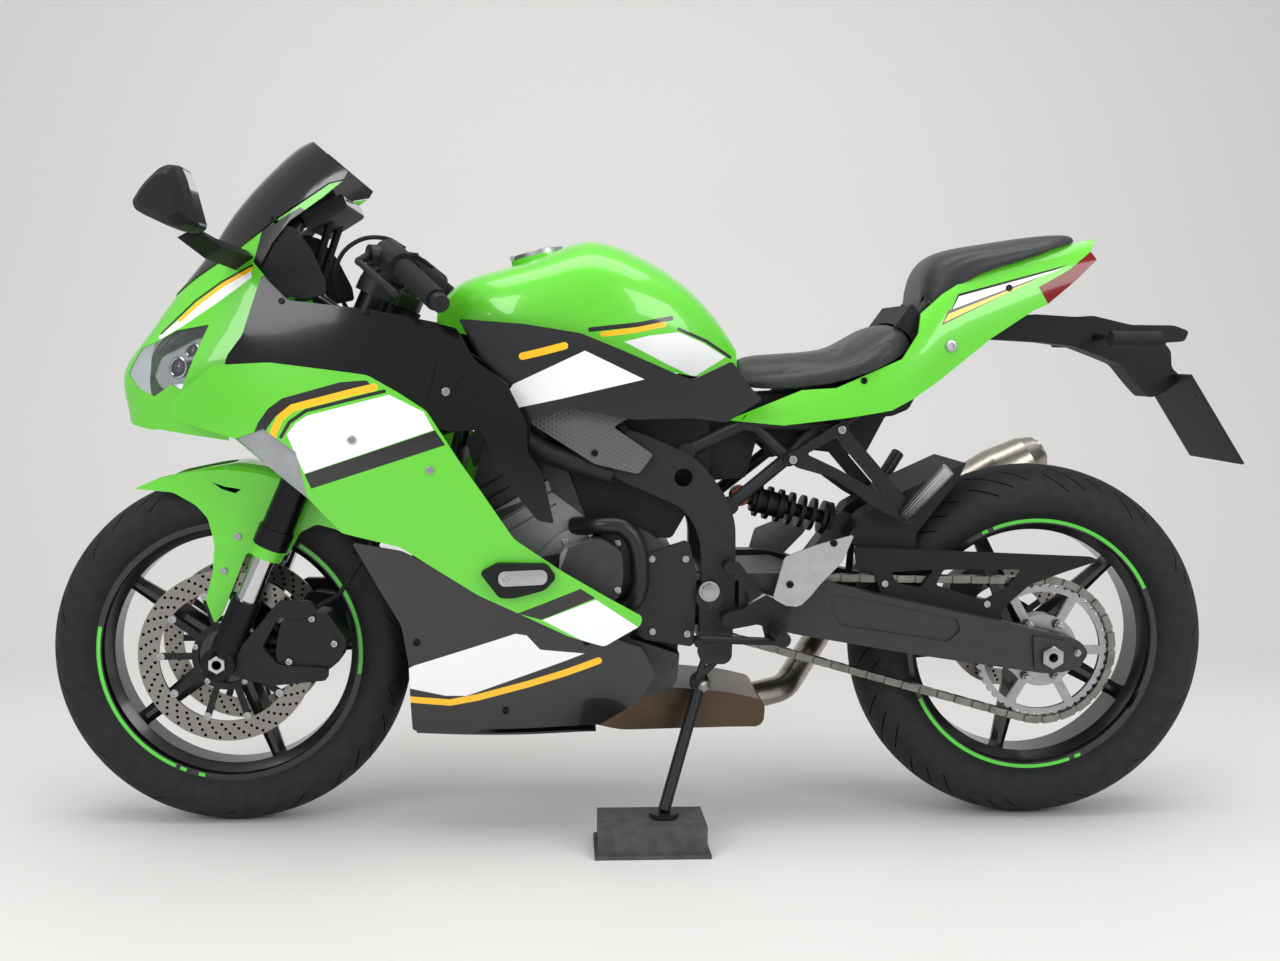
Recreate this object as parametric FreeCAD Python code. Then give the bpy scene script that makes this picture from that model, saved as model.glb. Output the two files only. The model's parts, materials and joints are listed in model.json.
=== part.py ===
"""Sport bike with a full fairing, parked leaning on its side stand, with a small chequer-plate block
under the stand's foot. The bike is built upright with its front axle above the origin, X towards
the rear, Y towards the rider's right and Z up, and is then leaned to its left and set on its wheels."""

import FreeCAD
import Part
import math
import os
from FreeCAD import Rotation, Vector

# Driving sizes of the whole bike, mm and degrees
WHEELBASE = 1380.0
RAKE = 23.5
TRAIL = 97.0
LEAN = 4.5
FAIRING_HALF_WIDTH = 222.0
MIRROR_HALF_SPAN = 382.0
BAR_HALF_SPAN = 345.0
PANEL_WALL = 4.0
OVERRUN = 60.0
SEAT_GAP = 0.3

# Wheels
FRONT_TYRE_RADIUS = 300.0
FRONT_TYRE_WIDTH = 120.0
FRONT_RIM_WIDTH = 89.0
REAR_TYRE_RADIUS = 312.0
REAR_TYRE_WIDTH = 160.0
REAR_RIM_WIDTH = 114.0
BEAD_RADIUS = 218.0
FLANGE_HEIGHT = 11.0
FLANGE_WIDTH = 6.0
RIM_WALL = 5.0
DROP_DEPTH = 14.0
HUB_RADIUS = 31.0
SPOKE_COUNT = 5
SPOKE_ROOT = 40.0
SPOKE_TIP = 24.0
SPOKE_DEPTH = 26.0
AXLE_RADIUS = 11.0
AXLE_BORE_RADIUS = 7.0
STEM_BORE_RADIUS = 8.0
STEM_BORE_DEPTH = 40.0
PLATE_BOLT_RADIUS = 3.0
PLATE_BOLT_SPAN = 140.0
WHEEL_GAP = 5.3

# Brakes and final drive
FRONT_DISC_RADIUS = 145.0
FRONT_DISC_BAND = 34.0
FRONT_DISC_OFFSET = 68.0
REAR_DISC_RADIUS = 110.0
REAR_DISC_BAND = 30.0
REAR_DISC_OFFSET = 88.0
DISC_WALL = 4.5
DISC_ARMS = 10
DISC_ARM_WIDTH = 11.0
CHAIN_PITCH = 15.875
REAR_TEETH = 48
FRONT_TEETH = 14
CHAIN_LINE = 95.0
CHAIN_PLATE_HEIGHT = 12.0
CHAIN_INNER_WIDTH = 10.0
CHAIN_OUTER_WIDTH = 17.0
SPROCKET_WALL = 6.0
TOOTH_GAP = 1.2

# Front fork
FORK_HALF_SPAN = 104.0
FORK_OUTER_RADIUS = 26.0
FORK_INNER_RADIUS = 18.5
FORK_LOWER_LENGTH = 112.0
FORK_STROKE_LENGTH = 98.0
FORK_TOP_LENGTH = 690.0
STEM_RADIUS = 15.0
HEAD_TUBE_RADIUS = 34.0
CLAMP_WALL = 28.0
BAR_RADIUS = 11.0
GRIP_RADIUS = 16.5

# Frame, engine and stand
SWINGARM_PIVOT_RADIUS = 12.0
FRAME_HALF_WIDTH = 132.0
PIVOT_PLATE_WALL = 24.0
FRAME_TUBE_RADIUS = 19.0
SUBFRAME_TUBE_RADIUS = 11.0
ENGINE_HALF_WIDTH = 150.0
SWINGARM_WALL = 30.0
SWINGARM_GAP = 5.0
STAND_TUBE_RADIUS = 10.0
BLOCK_LENGTH = 172.0
BLOCK_DEPTH = 112.0
BLOCK_HEIGHT = 50.0
BLOCK_FLANGE = 6.0


def side(share_point):
    """A point of the side view, given in shares of the wheelbase, in mm."""
    return WHEELBASE * share_point[0], WHEELBASE * share_point[1]


def mirrored(shape):
    return shape.mirror(Vector(0, 0, 0), Vector(0, 1, 0))


def both_sides(shapes):
    return list(shapes) + [mirrored(shape) for shape in shapes]


def solids(shapes):
    """Every solid of some shapes, as one compound."""
    found = []
    for shape in shapes:
        found.extend(shape.Solids)
    return Part.makeCompound(found)


def joined(shapes):
    """Shapes fused into one, with the seams between coplanar faces taken out where that is sound."""
    if len(shapes) == 1:
        return shapes[0]
    body = shapes[0].fuse(list(shapes[1:]))
    cleaned = body.removeSplitter()
    return cleaned if cleaned.isValid() else body


def rounded_wire(points, radius):
    """A closed wire through 3-D points, with each corner rounded by an arc of about the given radius."""
    if radius <= 0:
        return Part.makePolygon(list(points) + [points[0]])
    edges = []
    ends = []
    count = len(points)
    for i, corner in enumerate(points):
        before = points[i - 1]
        after = points[(i + 1) % count]
        back = before.sub(corner)
        ahead = after.sub(corner)
        reach = min(radius, 0.4 * back.Length, 0.4 * ahead.Length)
        back.normalize()
        ahead.normalize()
        start = corner + back * reach
        end = corner + ahead * reach
        middle = (start + end) * 0.25 + corner * 0.5
        ends.append((start, middle, end))
    for i, (start, middle, end) in enumerate(ends):
        bent = (middle - (start + end) * 0.5).Length > 0.02
        if bent:
            edges.append(Part.Arc(start, middle, end).toShape())
        else:
            edges.append(Part.makeLine(start, end))
        following = ends[(i + 1) % count][0]
        if (following - end).Length > 1e-6:
            edges.append(Part.makeLine(end, following))
    return Part.Wire(edges)


def prism(outline_shares, y_from, y_to, corner=0.0):
    """A side-view outline pushed across the bike, from one lateral place to another."""
    points = [Vector(side(point)[0], y_from, side(point)[1]) for point in outline_shares]
    return Part.Face(rounded_wire(points, corner)).extrude(Vector(0, y_to - y_from, 0))


def cylinder_between(start, end, radius):
    line = end - start
    return Part.makeCylinder(radius, line.Length, start, line)


def pipe(points, radius, bend):
    """A round tube along straight runs that are joined by tangent arcs."""
    edges = []
    previous = points[0]
    for i in range(1, len(points) - 1):
        corner = points[i]
        back = (points[i - 1] - corner)
        ahead = (points[i + 1] - corner)
        turn = math.pi - back.getAngle(ahead)
        reach = min(bend * math.tan(turn / 2), 0.45 * back.Length, 0.45 * ahead.Length)
        back.normalize()
        ahead.normalize()
        start = corner + back * reach
        end = corner + ahead * reach
        arc_radius = reach / math.tan(turn / 2)
        inward = (back + ahead).normalize()
        centre = corner + inward * (arc_radius / math.cos(turn / 2))
        middle = centre - inward * arc_radius
        if (start - previous).Length > 1e-6:
            edges.append(Part.makeLine(previous, start))
        edges.append(Part.Arc(start, middle, end).toShape())
        previous = end
    edges.append(Part.makeLine(previous, points[-1]))
    path = Part.Wire(edges)
    ring = Part.Wire(Part.makeCircle(radius, points[0], points[1] - points[0]))
    return path.makePipeShell([ring], True, False)


def ring_y(centre, radii, y_from, y_to):
    """A flat ring or disc on an axis across the bike. radii are the inner and outer radius."""
    inner, outer = radii
    start = Vector(centre.x, y_from, centre.z)
    body = Part.makeCylinder(outer, y_to - y_from, start, Vector(0, 1, 0))
    if inner > 0:
        body = body.cut(Part.makeCylinder(inner, y_to - y_from, start, Vector(0, 1, 0)))
    return body


def turned(profile, centre):
    """A closed profile of (radius, lateral place) pairs, turned about an axis across the bike."""
    points = [Vector(centre.x + radius, lateral, centre.z) for radius, lateral in profile]
    face = Part.Face(Part.makePolygon(points + [points[0]]))
    return face.revolve(Vector(centre.x, 0, centre.z), Vector(0, 1, 0), 360)


def turned_about_y(shape, centre, angle):
    copy = shape.copy()
    copy.rotate(centre, Vector(0, 1, 0), angle)
    return copy


def smooth_loop(points):
    """A closed smooth curve through points, with a straight base from the last to the first."""
    curve = Part.BSplineCurve()
    curve.interpolate(points)
    return Part.Wire([curve.toShape(), Part.makeLine(points[-1], points[0])])


def arch(x, half_width, top, bottom, crown=0.16, waist=1.0):
    """A cross-section: a smooth arch from the lower left over the top to the lower right."""
    height = top - bottom
    low = half_width * waist
    shape = (
        (-low, 0.0), (-half_width, 0.45), (-half_width * 0.86, 0.8), (-half_width * 0.5, 1.0 - crown / 4),
        (0.0, 1.0), (half_width * 0.5, 1.0 - crown / 4), (half_width * 0.86, 0.8), (half_width, 0.45),
        (low, 0.0),
    )
    return smooth_loop([Vector(x, y, bottom + height * share) for y, share in shape])


AXLE_FRONT = Vector(0, 0, FRONT_TYRE_RADIUS)
AXLE_REAR = Vector(WHEELBASE, 0, REAR_TYRE_RADIUS)
STEERING_TURN = Rotation(Vector(0, 1, 0), RAKE)
STEERING_GROUND = Vector(-TRAIL, 0, 0)
RAKE_SIN = math.sin(math.radians(RAKE))
RAKE_COS = math.cos(math.radians(RAKE))
FORK_OFFSET = FRONT_TYRE_RADIUS * RAKE_SIN - TRAIL * RAKE_COS
AXLE_LEVEL = FRONT_TYRE_RADIUS * RAKE_COS + TRAIL * RAKE_SIN


def fork_point(x, y, level):
    """A point given square to the steering axis, as a point of the bike."""
    return STEERING_GROUND + STEERING_TURN.multVec(Vector(x, y, level))


def in_fork_frame(shape):
    placed = shape.copy()
    placed.Placement = FreeCAD.Placement(STEERING_GROUND, STEERING_TURN).multiply(placed.Placement)
    return placed


# Wheels


def tyre(centre, radius, width, rim_width):
    """A road tyre: beads on the rim, short sidewalls and a round crown of straight facets."""
    half = width / 2
    bead = rim_width / 2 - FLANGE_WIDTH
    crown_height_share = 0.62
    shoulder = radius - half * crown_height_share
    side_shares = (0.25, 0.66)
    rise = shoulder - BEAD_RADIUS - FLANGE_HEIGHT
    profile = [(BEAD_RADIUS, -bead), (BEAD_RADIUS + FLANGE_HEIGHT, -bead)]
    profile.append((BEAD_RADIUS + FLANGE_HEIGHT + rise * side_shares[0], -half * 0.97))
    crown_steps = 8
    for i in range(crown_steps + 1):
        angle = math.pi * i / crown_steps
        profile.append((shoulder + (radius - shoulder) * math.sin(angle), -half * math.cos(angle)))
    profile.append((BEAD_RADIUS + FLANGE_HEIGHT + rise * side_shares[0], half * 0.97))
    profile.append((BEAD_RADIUS + FLANGE_HEIGHT, bead))
    profile.append((BEAD_RADIUS, bead))
    return turned(profile, centre)


def rim(centre, width, first_angle, hub_half):
    """A cast wheel: a barrel with flanges and a dropped middle, a hub and straight spokes."""
    half = width / 2
    well = BEAD_RADIUS - DROP_DEPTH
    well_half = half * 0.45
    flange = BEAD_RADIUS + FLANGE_HEIGHT
    seat = half - FLANGE_WIDTH
    profile = [
        (flange, -half), (flange, -seat), (BEAD_RADIUS, -seat), (BEAD_RADIUS,
                                                                 -well_half * 1.4), (well, -well_half),
        (well, well_half), (BEAD_RADIUS, well_half * 1.4), (BEAD_RADIUS, seat), (flange, seat), (flange,
                                                                                                 half),
        (BEAD_RADIUS - RIM_WALL, half), (BEAD_RADIUS - RIM_WALL, well_half * 1.5),
        (well - RIM_WALL, well_half), (well - RIM_WALL, -well_half),
        (BEAD_RADIUS - RIM_WALL, -well_half * 1.5), (BEAD_RADIUS - RIM_WALL, -half),
    ]
    barrel = turned(profile, centre)
    hub = ring_y(centre, (AXLE_RADIUS, HUB_RADIUS), -hub_half, hub_half)
    pieces = [barrel, hub]
    for i in range(SPOKE_COUNT):
        pieces.append(turned_about_y(spoke(centre, well), centre, -(first_angle + i * 360.0 / SPOKE_COUNT)))
    return joined(pieces)


def spoke(centre, reach):
    """One spoke along +X: an eight-sided section that tapers from the hub to the barrel."""
    sections = []
    start = HUB_RADIUS * 0.8
    end = reach - RIM_WALL / 2
    for place, wide, deep in ((start, SPOKE_ROOT, SPOKE_DEPTH), (end, SPOKE_TIP, SPOKE_DEPTH * 0.8)):
        cut = 0.3
        ring = []
        for across, along in ((1, cut), (cut, 1), (-cut, 1), (-1, cut), (-1, -cut), (-cut, -1), (cut, -1),
                              (1, -cut)):
            ring.append(Vector(centre.x + place, along * deep / 2, centre.z + across * wide / 2))
        sections.append(Part.makePolygon(ring + [ring[0]]))
    return Part.makeLoft(sections, True, True)


def disc(centre, radius, band, lateral, hub_radius):
    """A brake disc: a braking band on a carrier of short arms and an inner ring."""
    low = lateral - DISC_WALL / 2
    high = lateral + DISC_WALL / 2
    inner = radius - band
    pieces = [
        ring_y(centre, (inner, radius), low, high),
        ring_y(centre, (hub_radius, hub_radius + DISC_ARM_WIDTH), low, high),
    ]
    for i in range(DISC_ARMS):
        arm = Part.makeBox(
            inner - hub_radius, DISC_WALL, DISC_ARM_WIDTH,
            Vector(centre.x + hub_radius + DISC_WALL, low, centre.z - DISC_ARM_WIDTH / 2),
        )
        pieces.append(turned_about_y(arm, centre, i * 360.0 / DISC_ARMS))
    return joined(pieces)


DISC_HUB_RADIUS = 46.0


def front_wheel_parts():
    first_spoke = 2.0
    seat_wall = 16.0
    face = FRONT_DISC_OFFSET - DISC_WALL / 2
    body = joined([
        rim(AXLE_FRONT, FRONT_RIM_WIDTH, first_spoke, face),
        ring_y(AXLE_FRONT, (AXLE_RADIUS, DISC_HUB_RADIUS + DISC_ARM_WIDTH), -face, -face + seat_wall),
        ring_y(AXLE_FRONT, (AXLE_RADIUS, DISC_HUB_RADIUS + DISC_ARM_WIDTH), face - seat_wall, face),
    ])
    discs = both_sides([disc(AXLE_FRONT, FRONT_DISC_RADIUS, FRONT_DISC_BAND, -FRONT_DISC_OFFSET,
                             DISC_HUB_RADIUS)])
    return {
        "front_tyre": tyre(AXLE_FRONT, FRONT_TYRE_RADIUS, FRONT_TYRE_WIDTH, FRONT_RIM_WIDTH),
        "front_rim": body,
        "front_discs": solids(discs),
    }


def rear_wheel_parts():
    first_spoke = 43.0
    seat_wall = 20.0
    disc_face = REAR_DISC_OFFSET - DISC_WALL / 2
    drive_face = CHAIN_LINE - SPROCKET_WALL / 2
    body = joined([
        rim(AXLE_REAR, REAR_RIM_WIDTH, first_spoke, disc_face),
        ring_y(AXLE_REAR, (AXLE_RADIUS, DISC_HUB_RADIUS + DISC_ARM_WIDTH), disc_face - seat_wall,
               disc_face),
        ring_y(AXLE_REAR, (AXLE_RADIUS, CUSH_RADIUS), -drive_face, -drive_face + seat_wall),
    ])
    return {
        "rear_tyre": tyre(AXLE_REAR, REAR_TYRE_RADIUS, REAR_TYRE_WIDTH, REAR_RIM_WIDTH),
        "rear_rim": body,
        "rear_sprocket": sprocket(),
        "rear_disc": disc(AXLE_REAR, REAR_DISC_RADIUS, REAR_DISC_BAND, REAR_DISC_OFFSET, DISC_HUB_RADIUS),
    }


# Final drive

PITCH_RADIUS = CHAIN_PITCH / (2 * math.sin(math.pi / REAR_TEETH))
DRIVE_PITCH_RADIUS = CHAIN_PITCH / (2 * math.sin(math.pi / FRONT_TEETH))
CUSH_RADIUS = 62.0
SPROCKET_TIP = PITCH_RADIUS - CHAIN_PLATE_HEIGHT / 2 - TOOTH_GAP
TOOTH_DEPTH = 5.0


def sprocket():
    """The driven sprocket: pointed teeth round the rim and round windows in the web."""
    points = []
    for i in range(REAR_TEETH):
        middle = 2 * math.pi * i / REAR_TEETH
        step = math.pi / REAR_TEETH
        for angle, radius in ((middle - step * 0.35, SPROCKET_TIP), (middle + step * 0.35, SPROCKET_TIP),
                              (middle + step, SPROCKET_TIP - TOOTH_DEPTH)):
            points.append(Vector(
                AXLE_REAR.x + radius * math.cos(angle), -CHAIN_LINE - SPROCKET_WALL / 2,
                AXLE_REAR.z + radius * math.sin(angle),
            ))
    plate = Part.Face(Part.makePolygon(points + [points[0]])).extrude(Vector(0, SPROCKET_WALL, 0))
    outer = SPROCKET_TIP - TOOTH_DEPTH * 2.5
    low = -CHAIN_LINE - SPROCKET_WALL
    cutters = [
        ring_y(AXLE_REAR, (0, AXLE_RADIUS * 2), low, low + 2 * SPROCKET_WALL),
        ring_y(AXLE_REAR, (CUSH_RADIUS, outer), low, low + 2 * SPROCKET_WALL),
    ]
    arms = []
    for i in range(SPROCKET_ARMS):
        arm = Part.makeBox(outer - CUSH_RADIUS + TOOTH_DEPTH, SPROCKET_WALL, SPROCKET_ARM_WIDTH,
                           Vector(AXLE_REAR.x + CUSH_RADIUS - TOOTH_DEPTH / 2,
                                  -CHAIN_LINE - SPROCKET_WALL / 2,
                                  AXLE_REAR.z - SPROCKET_ARM_WIDTH / 2))
        arms.append(turned_about_y(arm, AXLE_REAR, 360 * i / SPROCKET_ARMS))
    return joined([plate.cut(cutters)] + arms)


SPROCKET_ARMS = 6
SPROCKET_ARM_WIDTH = 15.0


PIVOT = Vector(WHEELBASE * 0.582, 0, WHEELBASE * 0.2986)
DRIVE_CENTRE = Vector(WHEELBASE * 0.529, 0, WHEELBASE * 0.2942)


def chain():
    """One loop of links round both sprockets: narrow inner and wide outer links in turn."""
    gap = AXLE_REAR - DRIVE_CENTRE
    span = math.hypot(gap.x, gap.z)
    tilt = math.atan2(gap.z, gap.x)
    lean_in = math.asin((PITCH_RADIUS - DRIVE_PITCH_RADIUS) / span)
    run = span * math.cos(lean_in)
    rear_wrap = math.pi + 2 * lean_in
    drive_wrap = math.pi - 2 * lean_in
    total = 2 * run + rear_wrap * PITCH_RADIUS + drive_wrap * DRIVE_PITCH_RADIUS
    count = 2 * round(total / CHAIN_PITCH / 2)
    step = total / count

    def place(travel):
        """The chain's centre line, from the top of the driving sprocket to the rear and back below."""
        top_turn = tilt + math.pi / 2 + lean_in
        travel = travel % total
        if travel < run:
            along = travel / run
            start = Vector(math.cos(top_turn), 0, math.sin(top_turn))
            first = DRIVE_CENTRE + start * DRIVE_PITCH_RADIUS
            last = AXLE_REAR + start * PITCH_RADIUS
            return first * (1 - along) + last * along
        travel -= run
        if travel < rear_wrap * PITCH_RADIUS:
            angle = top_turn - travel / PITCH_RADIUS
            return AXLE_REAR + Vector(math.cos(angle), 0, math.sin(angle)) * PITCH_RADIUS
        travel -= rear_wrap * PITCH_RADIUS
        low_turn = tilt - math.pi / 2 - lean_in
        start = Vector(math.cos(low_turn), 0, math.sin(low_turn))
        if travel < run:
            along = travel / run
            first = AXLE_REAR + start * PITCH_RADIUS
            last = DRIVE_CENTRE + start * DRIVE_PITCH_RADIUS
            return first * (1 - along) + last * along
        angle = low_turn - (travel - run) / DRIVE_PITCH_RADIUS
        return DRIVE_CENTRE + Vector(math.cos(angle), 0, math.sin(angle)) * DRIVE_PITCH_RADIUS

    half = CHAIN_PLATE_HEIGHT / 2
    links = []
    for i in range(count):
        start = place(i * step)
        end = place((i + 1) * step)
        along = (end - start).normalize()
        up = Vector(-along.z, 0, along.x)
        width = CHAIN_OUTER_WIDTH if i % 2 else CHAIN_INNER_WIDTH
        nose = half * 0.7 if i % 2 else -half * 0.7
        outline = []
        for centre, way in ((start, -1), (end, 1)):
            for lift in (half * way, -half * way):
                outline.append(centre + along * (way * nose) + up * lift)
        outline = [outline[0], outline[1], outline[2], outline[3]]
        low = Vector(0, -CHAIN_LINE - width / 2, 0)
        points = [point + low for point in outline]
        links.append(Part.Face(Part.makePolygon(points + [points[0]])).extrude(Vector(0, width, 0)))
    return Part.makeCompound(links)


# Fork and steering, square to the steering axis

LOWER_CLAMP_LEVEL = AXLE_LEVEL + FORK_TOP_LENGTH * 0.735
UPPER_CLAMP_LEVEL = AXLE_LEVEL + FORK_TOP_LENGTH * 0.945
HEAD_GAP = 0.5
FORK_LUG_RADIUS = 24.0


def fork_leg(y):
    x = -FORK_OFFSET
    up = Vector(0, 0, 1)
    outer_start = FORK_LOWER_LENGTH + FORK_STROKE_LENGTH
    lug = Part.makeCylinder(FORK_LUG_RADIUS, FORK_LOWER_LENGTH + FORK_OUTER_RADIUS,
                            Vector(x, y, AXLE_LEVEL - FORK_OUTER_RADIUS), up)
    boss = Part.makeCylinder(FORK_OUTER_RADIUS * 1.05, FORK_OUTER_RADIUS * 1.7,
                             Vector(x, y - FORK_OUTER_RADIUS * 0.85, AXLE_LEVEL), Vector(0, 1, 0))
    inner = Part.makeCylinder(FORK_INNER_RADIUS, FORK_STROKE_LENGTH + FORK_OUTER_RADIUS,
                              Vector(x, y, AXLE_LEVEL + FORK_LOWER_LENGTH - FORK_OUTER_RADIUS / 2), up)
    collar_height = FORK_OUTER_RADIUS * 1.2
    collar = Part.makeCylinder(FORK_OUTER_RADIUS * 1.12, collar_height,
                               Vector(x, y, AXLE_LEVEL + outer_start), up)
    outer = Part.makeCylinder(FORK_OUTER_RADIUS, FORK_TOP_LENGTH - outer_start,
                              Vector(x, y, AXLE_LEVEL + outer_start), up)
    cap = Part.makeCylinder(FORK_OUTER_RADIUS * 0.6, FORK_OUTER_RADIUS * 0.5,
                            Vector(x, y, AXLE_LEVEL + FORK_TOP_LENGTH), up)
    return joined([lug, boss, inner, collar, outer, cap])


def fork():
    """Two upside-down legs, joined by the wheel axle that passes through the hub."""
    axle = Part.makeCylinder(AXLE_RADIUS - SEAT_GAP, 2 * FORK_HALF_SPAN,
                             Vector(-FORK_OFFSET, -FORK_HALF_SPAN, AXLE_LEVEL),
                             Vector(0, 1, 0))
    legs = [fork_leg(-FORK_HALF_SPAN), fork_leg(FORK_HALF_SPAN)]
    bore = Part.makeCylinder(AXLE_BORE_RADIUS, 4 * FORK_HALF_SPAN,
                             Vector(-FORK_OFFSET, -2 * FORK_HALF_SPAN, AXLE_LEVEL),
                             Vector(0, 1, 0))
    return in_fork_frame(joined(legs + [axle]).cut(bore))


def clamp(level, wall):
    """One triple clamp: a waisted bridge between two bored eyes and the stem's boss."""
    eye = FORK_OUTER_RADIUS * 1.35
    waist = STEM_RADIUS * 1.9
    x = -FORK_OFFSET
    reach = FORK_HALF_SPAN
    points = [
        Vector(x - eye * 0.5, -reach, level), Vector(-waist * 0.6, 0, level), Vector(x - eye * 0.5, reach,
                                                                                     level),
        Vector(x + eye * 0.7, reach, level), Vector(waist, waist, level), Vector(waist, -waist, level),
        Vector(x + eye * 0.7, -reach, level),
    ]
    plate = Part.Face(rounded_wire(points, waist * 0.5)).extrude(Vector(0, 0, wall))
    pieces = [plate]
    for y in (-reach, reach):
        pieces.append(Part.makeCylinder(eye, wall, Vector(x, y, level)))
    body = joined(pieces)
    bores = []
    for y in (-reach, reach):
        bores.append(Part.makeCylinder(FORK_OUTER_RADIUS + SEAT_GAP, wall, Vector(x, y, level)))
    return body.cut(bores)


def triple_clamps():
    """The lower and upper clamps on the steering stem that runs through the head tube."""
    stem = Part.makeCylinder(STEM_RADIUS, UPPER_CLAMP_LEVEL - LOWER_CLAMP_LEVEL + CLAMP_WALL,
                             Vector(0, 0, LOWER_CLAMP_LEVEL))
    nut = Part.makeCylinder(STEM_RADIUS * 1.2, CLAMP_WALL * 0.5,
                            Vector(0, 0, UPPER_CLAMP_LEVEL + CLAMP_WALL * 0.8))
    lower = clamp(LOWER_CLAMP_LEVEL, CLAMP_WALL)
    upper = clamp(UPPER_CLAMP_LEVEL, CLAMP_WALL * 0.8)
    bore = Part.makeCylinder(STEM_BORE_RADIUS, STEM_BORE_DEPTH, Vector(0, 0, LOWER_CLAMP_LEVEL))
    return in_fork_frame(joined([lower, upper, stem, nut]).cut(bore))


GRIP_LENGTH = 125.0
BAR_SWEEP_SHARES = ((0.2152, 0.6920), (0.2761, 0.6413))
BAR_INNER_SPAN = 205.0
LEVER_RADIUS = 6.5
LEVER_REACH = 62.0


def handlebar(way):
    """One clip-on: a clamp round the fork tube, the bar, switch housing, grip, end weight and lever."""
    inner = Vector(side(BAR_SWEEP_SHARES[0])[0], way * BAR_INNER_SPAN, side(BAR_SWEEP_SHARES[0])[1])
    outer = Vector(side(BAR_SWEEP_SHARES[1])[0], way * BAR_HALF_SPAN, side(BAR_SWEEP_SHARES[1])[1])
    line = (outer - inner).normalize()
    root_level = UPPER_CLAMP_LEVEL + CLAMP_WALL * 0.8 + SEAT_GAP
    root = fork_point(-FORK_OFFSET, way * FORK_HALF_SPAN, root_level)
    eye = Part.makeCylinder(FORK_OUTER_RADIUS * 1.3, CLAMP_WALL,
                            Vector(-FORK_OFFSET, way * FORK_HALF_SPAN, root_level))
    bore = Part.makeCylinder(FORK_OUTER_RADIUS + SEAT_GAP, CLAMP_WALL * 2,
                             Vector(-FORK_OFFSET, way * FORK_HALF_SPAN, root_level - CLAMP_WALL / 2))
    start = fork_point(-FORK_OFFSET + FORK_OUTER_RADIUS, way * (FORK_HALF_SPAN + FORK_OUTER_RADIUS * 0.4),
                       root_level + CLAMP_WALL / 2)
    arm = cylinder_between(start, inner + line * BAR_RADIUS, BAR_RADIUS * 1.15)
    grip_start = outer - line * GRIP_LENGTH
    pieces = [
        in_fork_frame(eye),
        arm,
        cylinder_between(inner, grip_start + line * BAR_RADIUS, BAR_RADIUS),
        cylinder_between(inner - line * BAR_RADIUS, grip_start - line * SEAT_GAP, GRIP_RADIUS * 1.45),
        cylinder_between(grip_start - line * SEAT_GAP, outer, GRIP_RADIUS),
        cylinder_between(outer, outer + line * GRIP_RADIUS, GRIP_RADIUS * 0.8),
    ]
    ahead = line.cross(Vector(0, 0, way)).normalize()
    if ahead.x > 0:
        ahead = ahead * -1
    perch = inner + ahead * LEVER_REACH * 0.55
    pieces.append(cylinder_between(inner, perch, GRIP_RADIUS))
    tip = outer + ahead * LEVER_REACH * 0.9 - line * GRIP_RADIUS
    bend = inner + line * GRIP_LENGTH * 0.25 + ahead * LEVER_REACH
    pieces.append(cylinder_between(perch, bend, LEVER_RADIUS))
    pieces.append(cylinder_between(bend, tip, LEVER_RADIUS * 0.8))
    return joined(pieces).cut(in_fork_frame(bore))


def handlebars():
    bars = [handlebar(-1), handlebar(1)]
    inner = Vector(side(BAR_SWEEP_SHARES[0])[0], BAR_INNER_SPAN, side(BAR_SWEEP_SHARES[0])[1])
    place = inner + Vector(-LEVER_REACH * RESERVOIR_REACH_SHARE, GRIP_RADIUS, GRIP_RADIUS * 0.5)
    pot = Part.makeCylinder(RESERVOIR_RADIUS, RESERVOIR_HEIGHT, place)
    stalk = cylinder_between(inner, place + Vector(0, 0, GRIP_RADIUS * 0.5), LEVER_RADIUS)
    bars[1] = joined([bars[1], stalk, pot])
    return solids(bars)


RESERVOIR_RADIUS = 15.0
RESERVOIR_HEIGHT = 28.0
RESERVOIR_REACH_SHARE = 0.34
FENDER_GAP = 14.0
FENDER_WALL = 3.0
FENDER_CROWN = 11.0
FENDER_HALF_WIDTH = 79.0
FENDER_SKIRT_SHARE = 0.16
FENDER_SIDE_SHARES = (
    (-0.101, 0.422), (-0.070, 0.436), (-0.013, 0.448), (0.033, 0.454), (0.069, 0.464), (0.109, 0.435),
    (0.145, 0.368), (0.135, 0.374), (0.112, 0.380), (0.092, 0.370), (0.084, 0.354), (0.075, 0.341),
    (0.043, 0.341), (0.029, 0.346), (0.014, 0.309), (-0.002, 0.270), (-0.011, 0.259), (-0.021, 0.288),
    (-0.012, 0.320), (-0.009, 0.356), (-0.016, 0.387), (-0.030, 0.403), (-0.056, 0.418),
)
FENDER_VENT_SHARES = (
    (-0.012, 0.431), (0.005, 0.425), (0.024, 0.422), (0.017, 0.417), (0.001, 0.422),
)
FENDER_BAND_LEVEL = 78.0
FENDER_BAND_WALL = 18.0
FENDER_STEPS = 6


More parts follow.
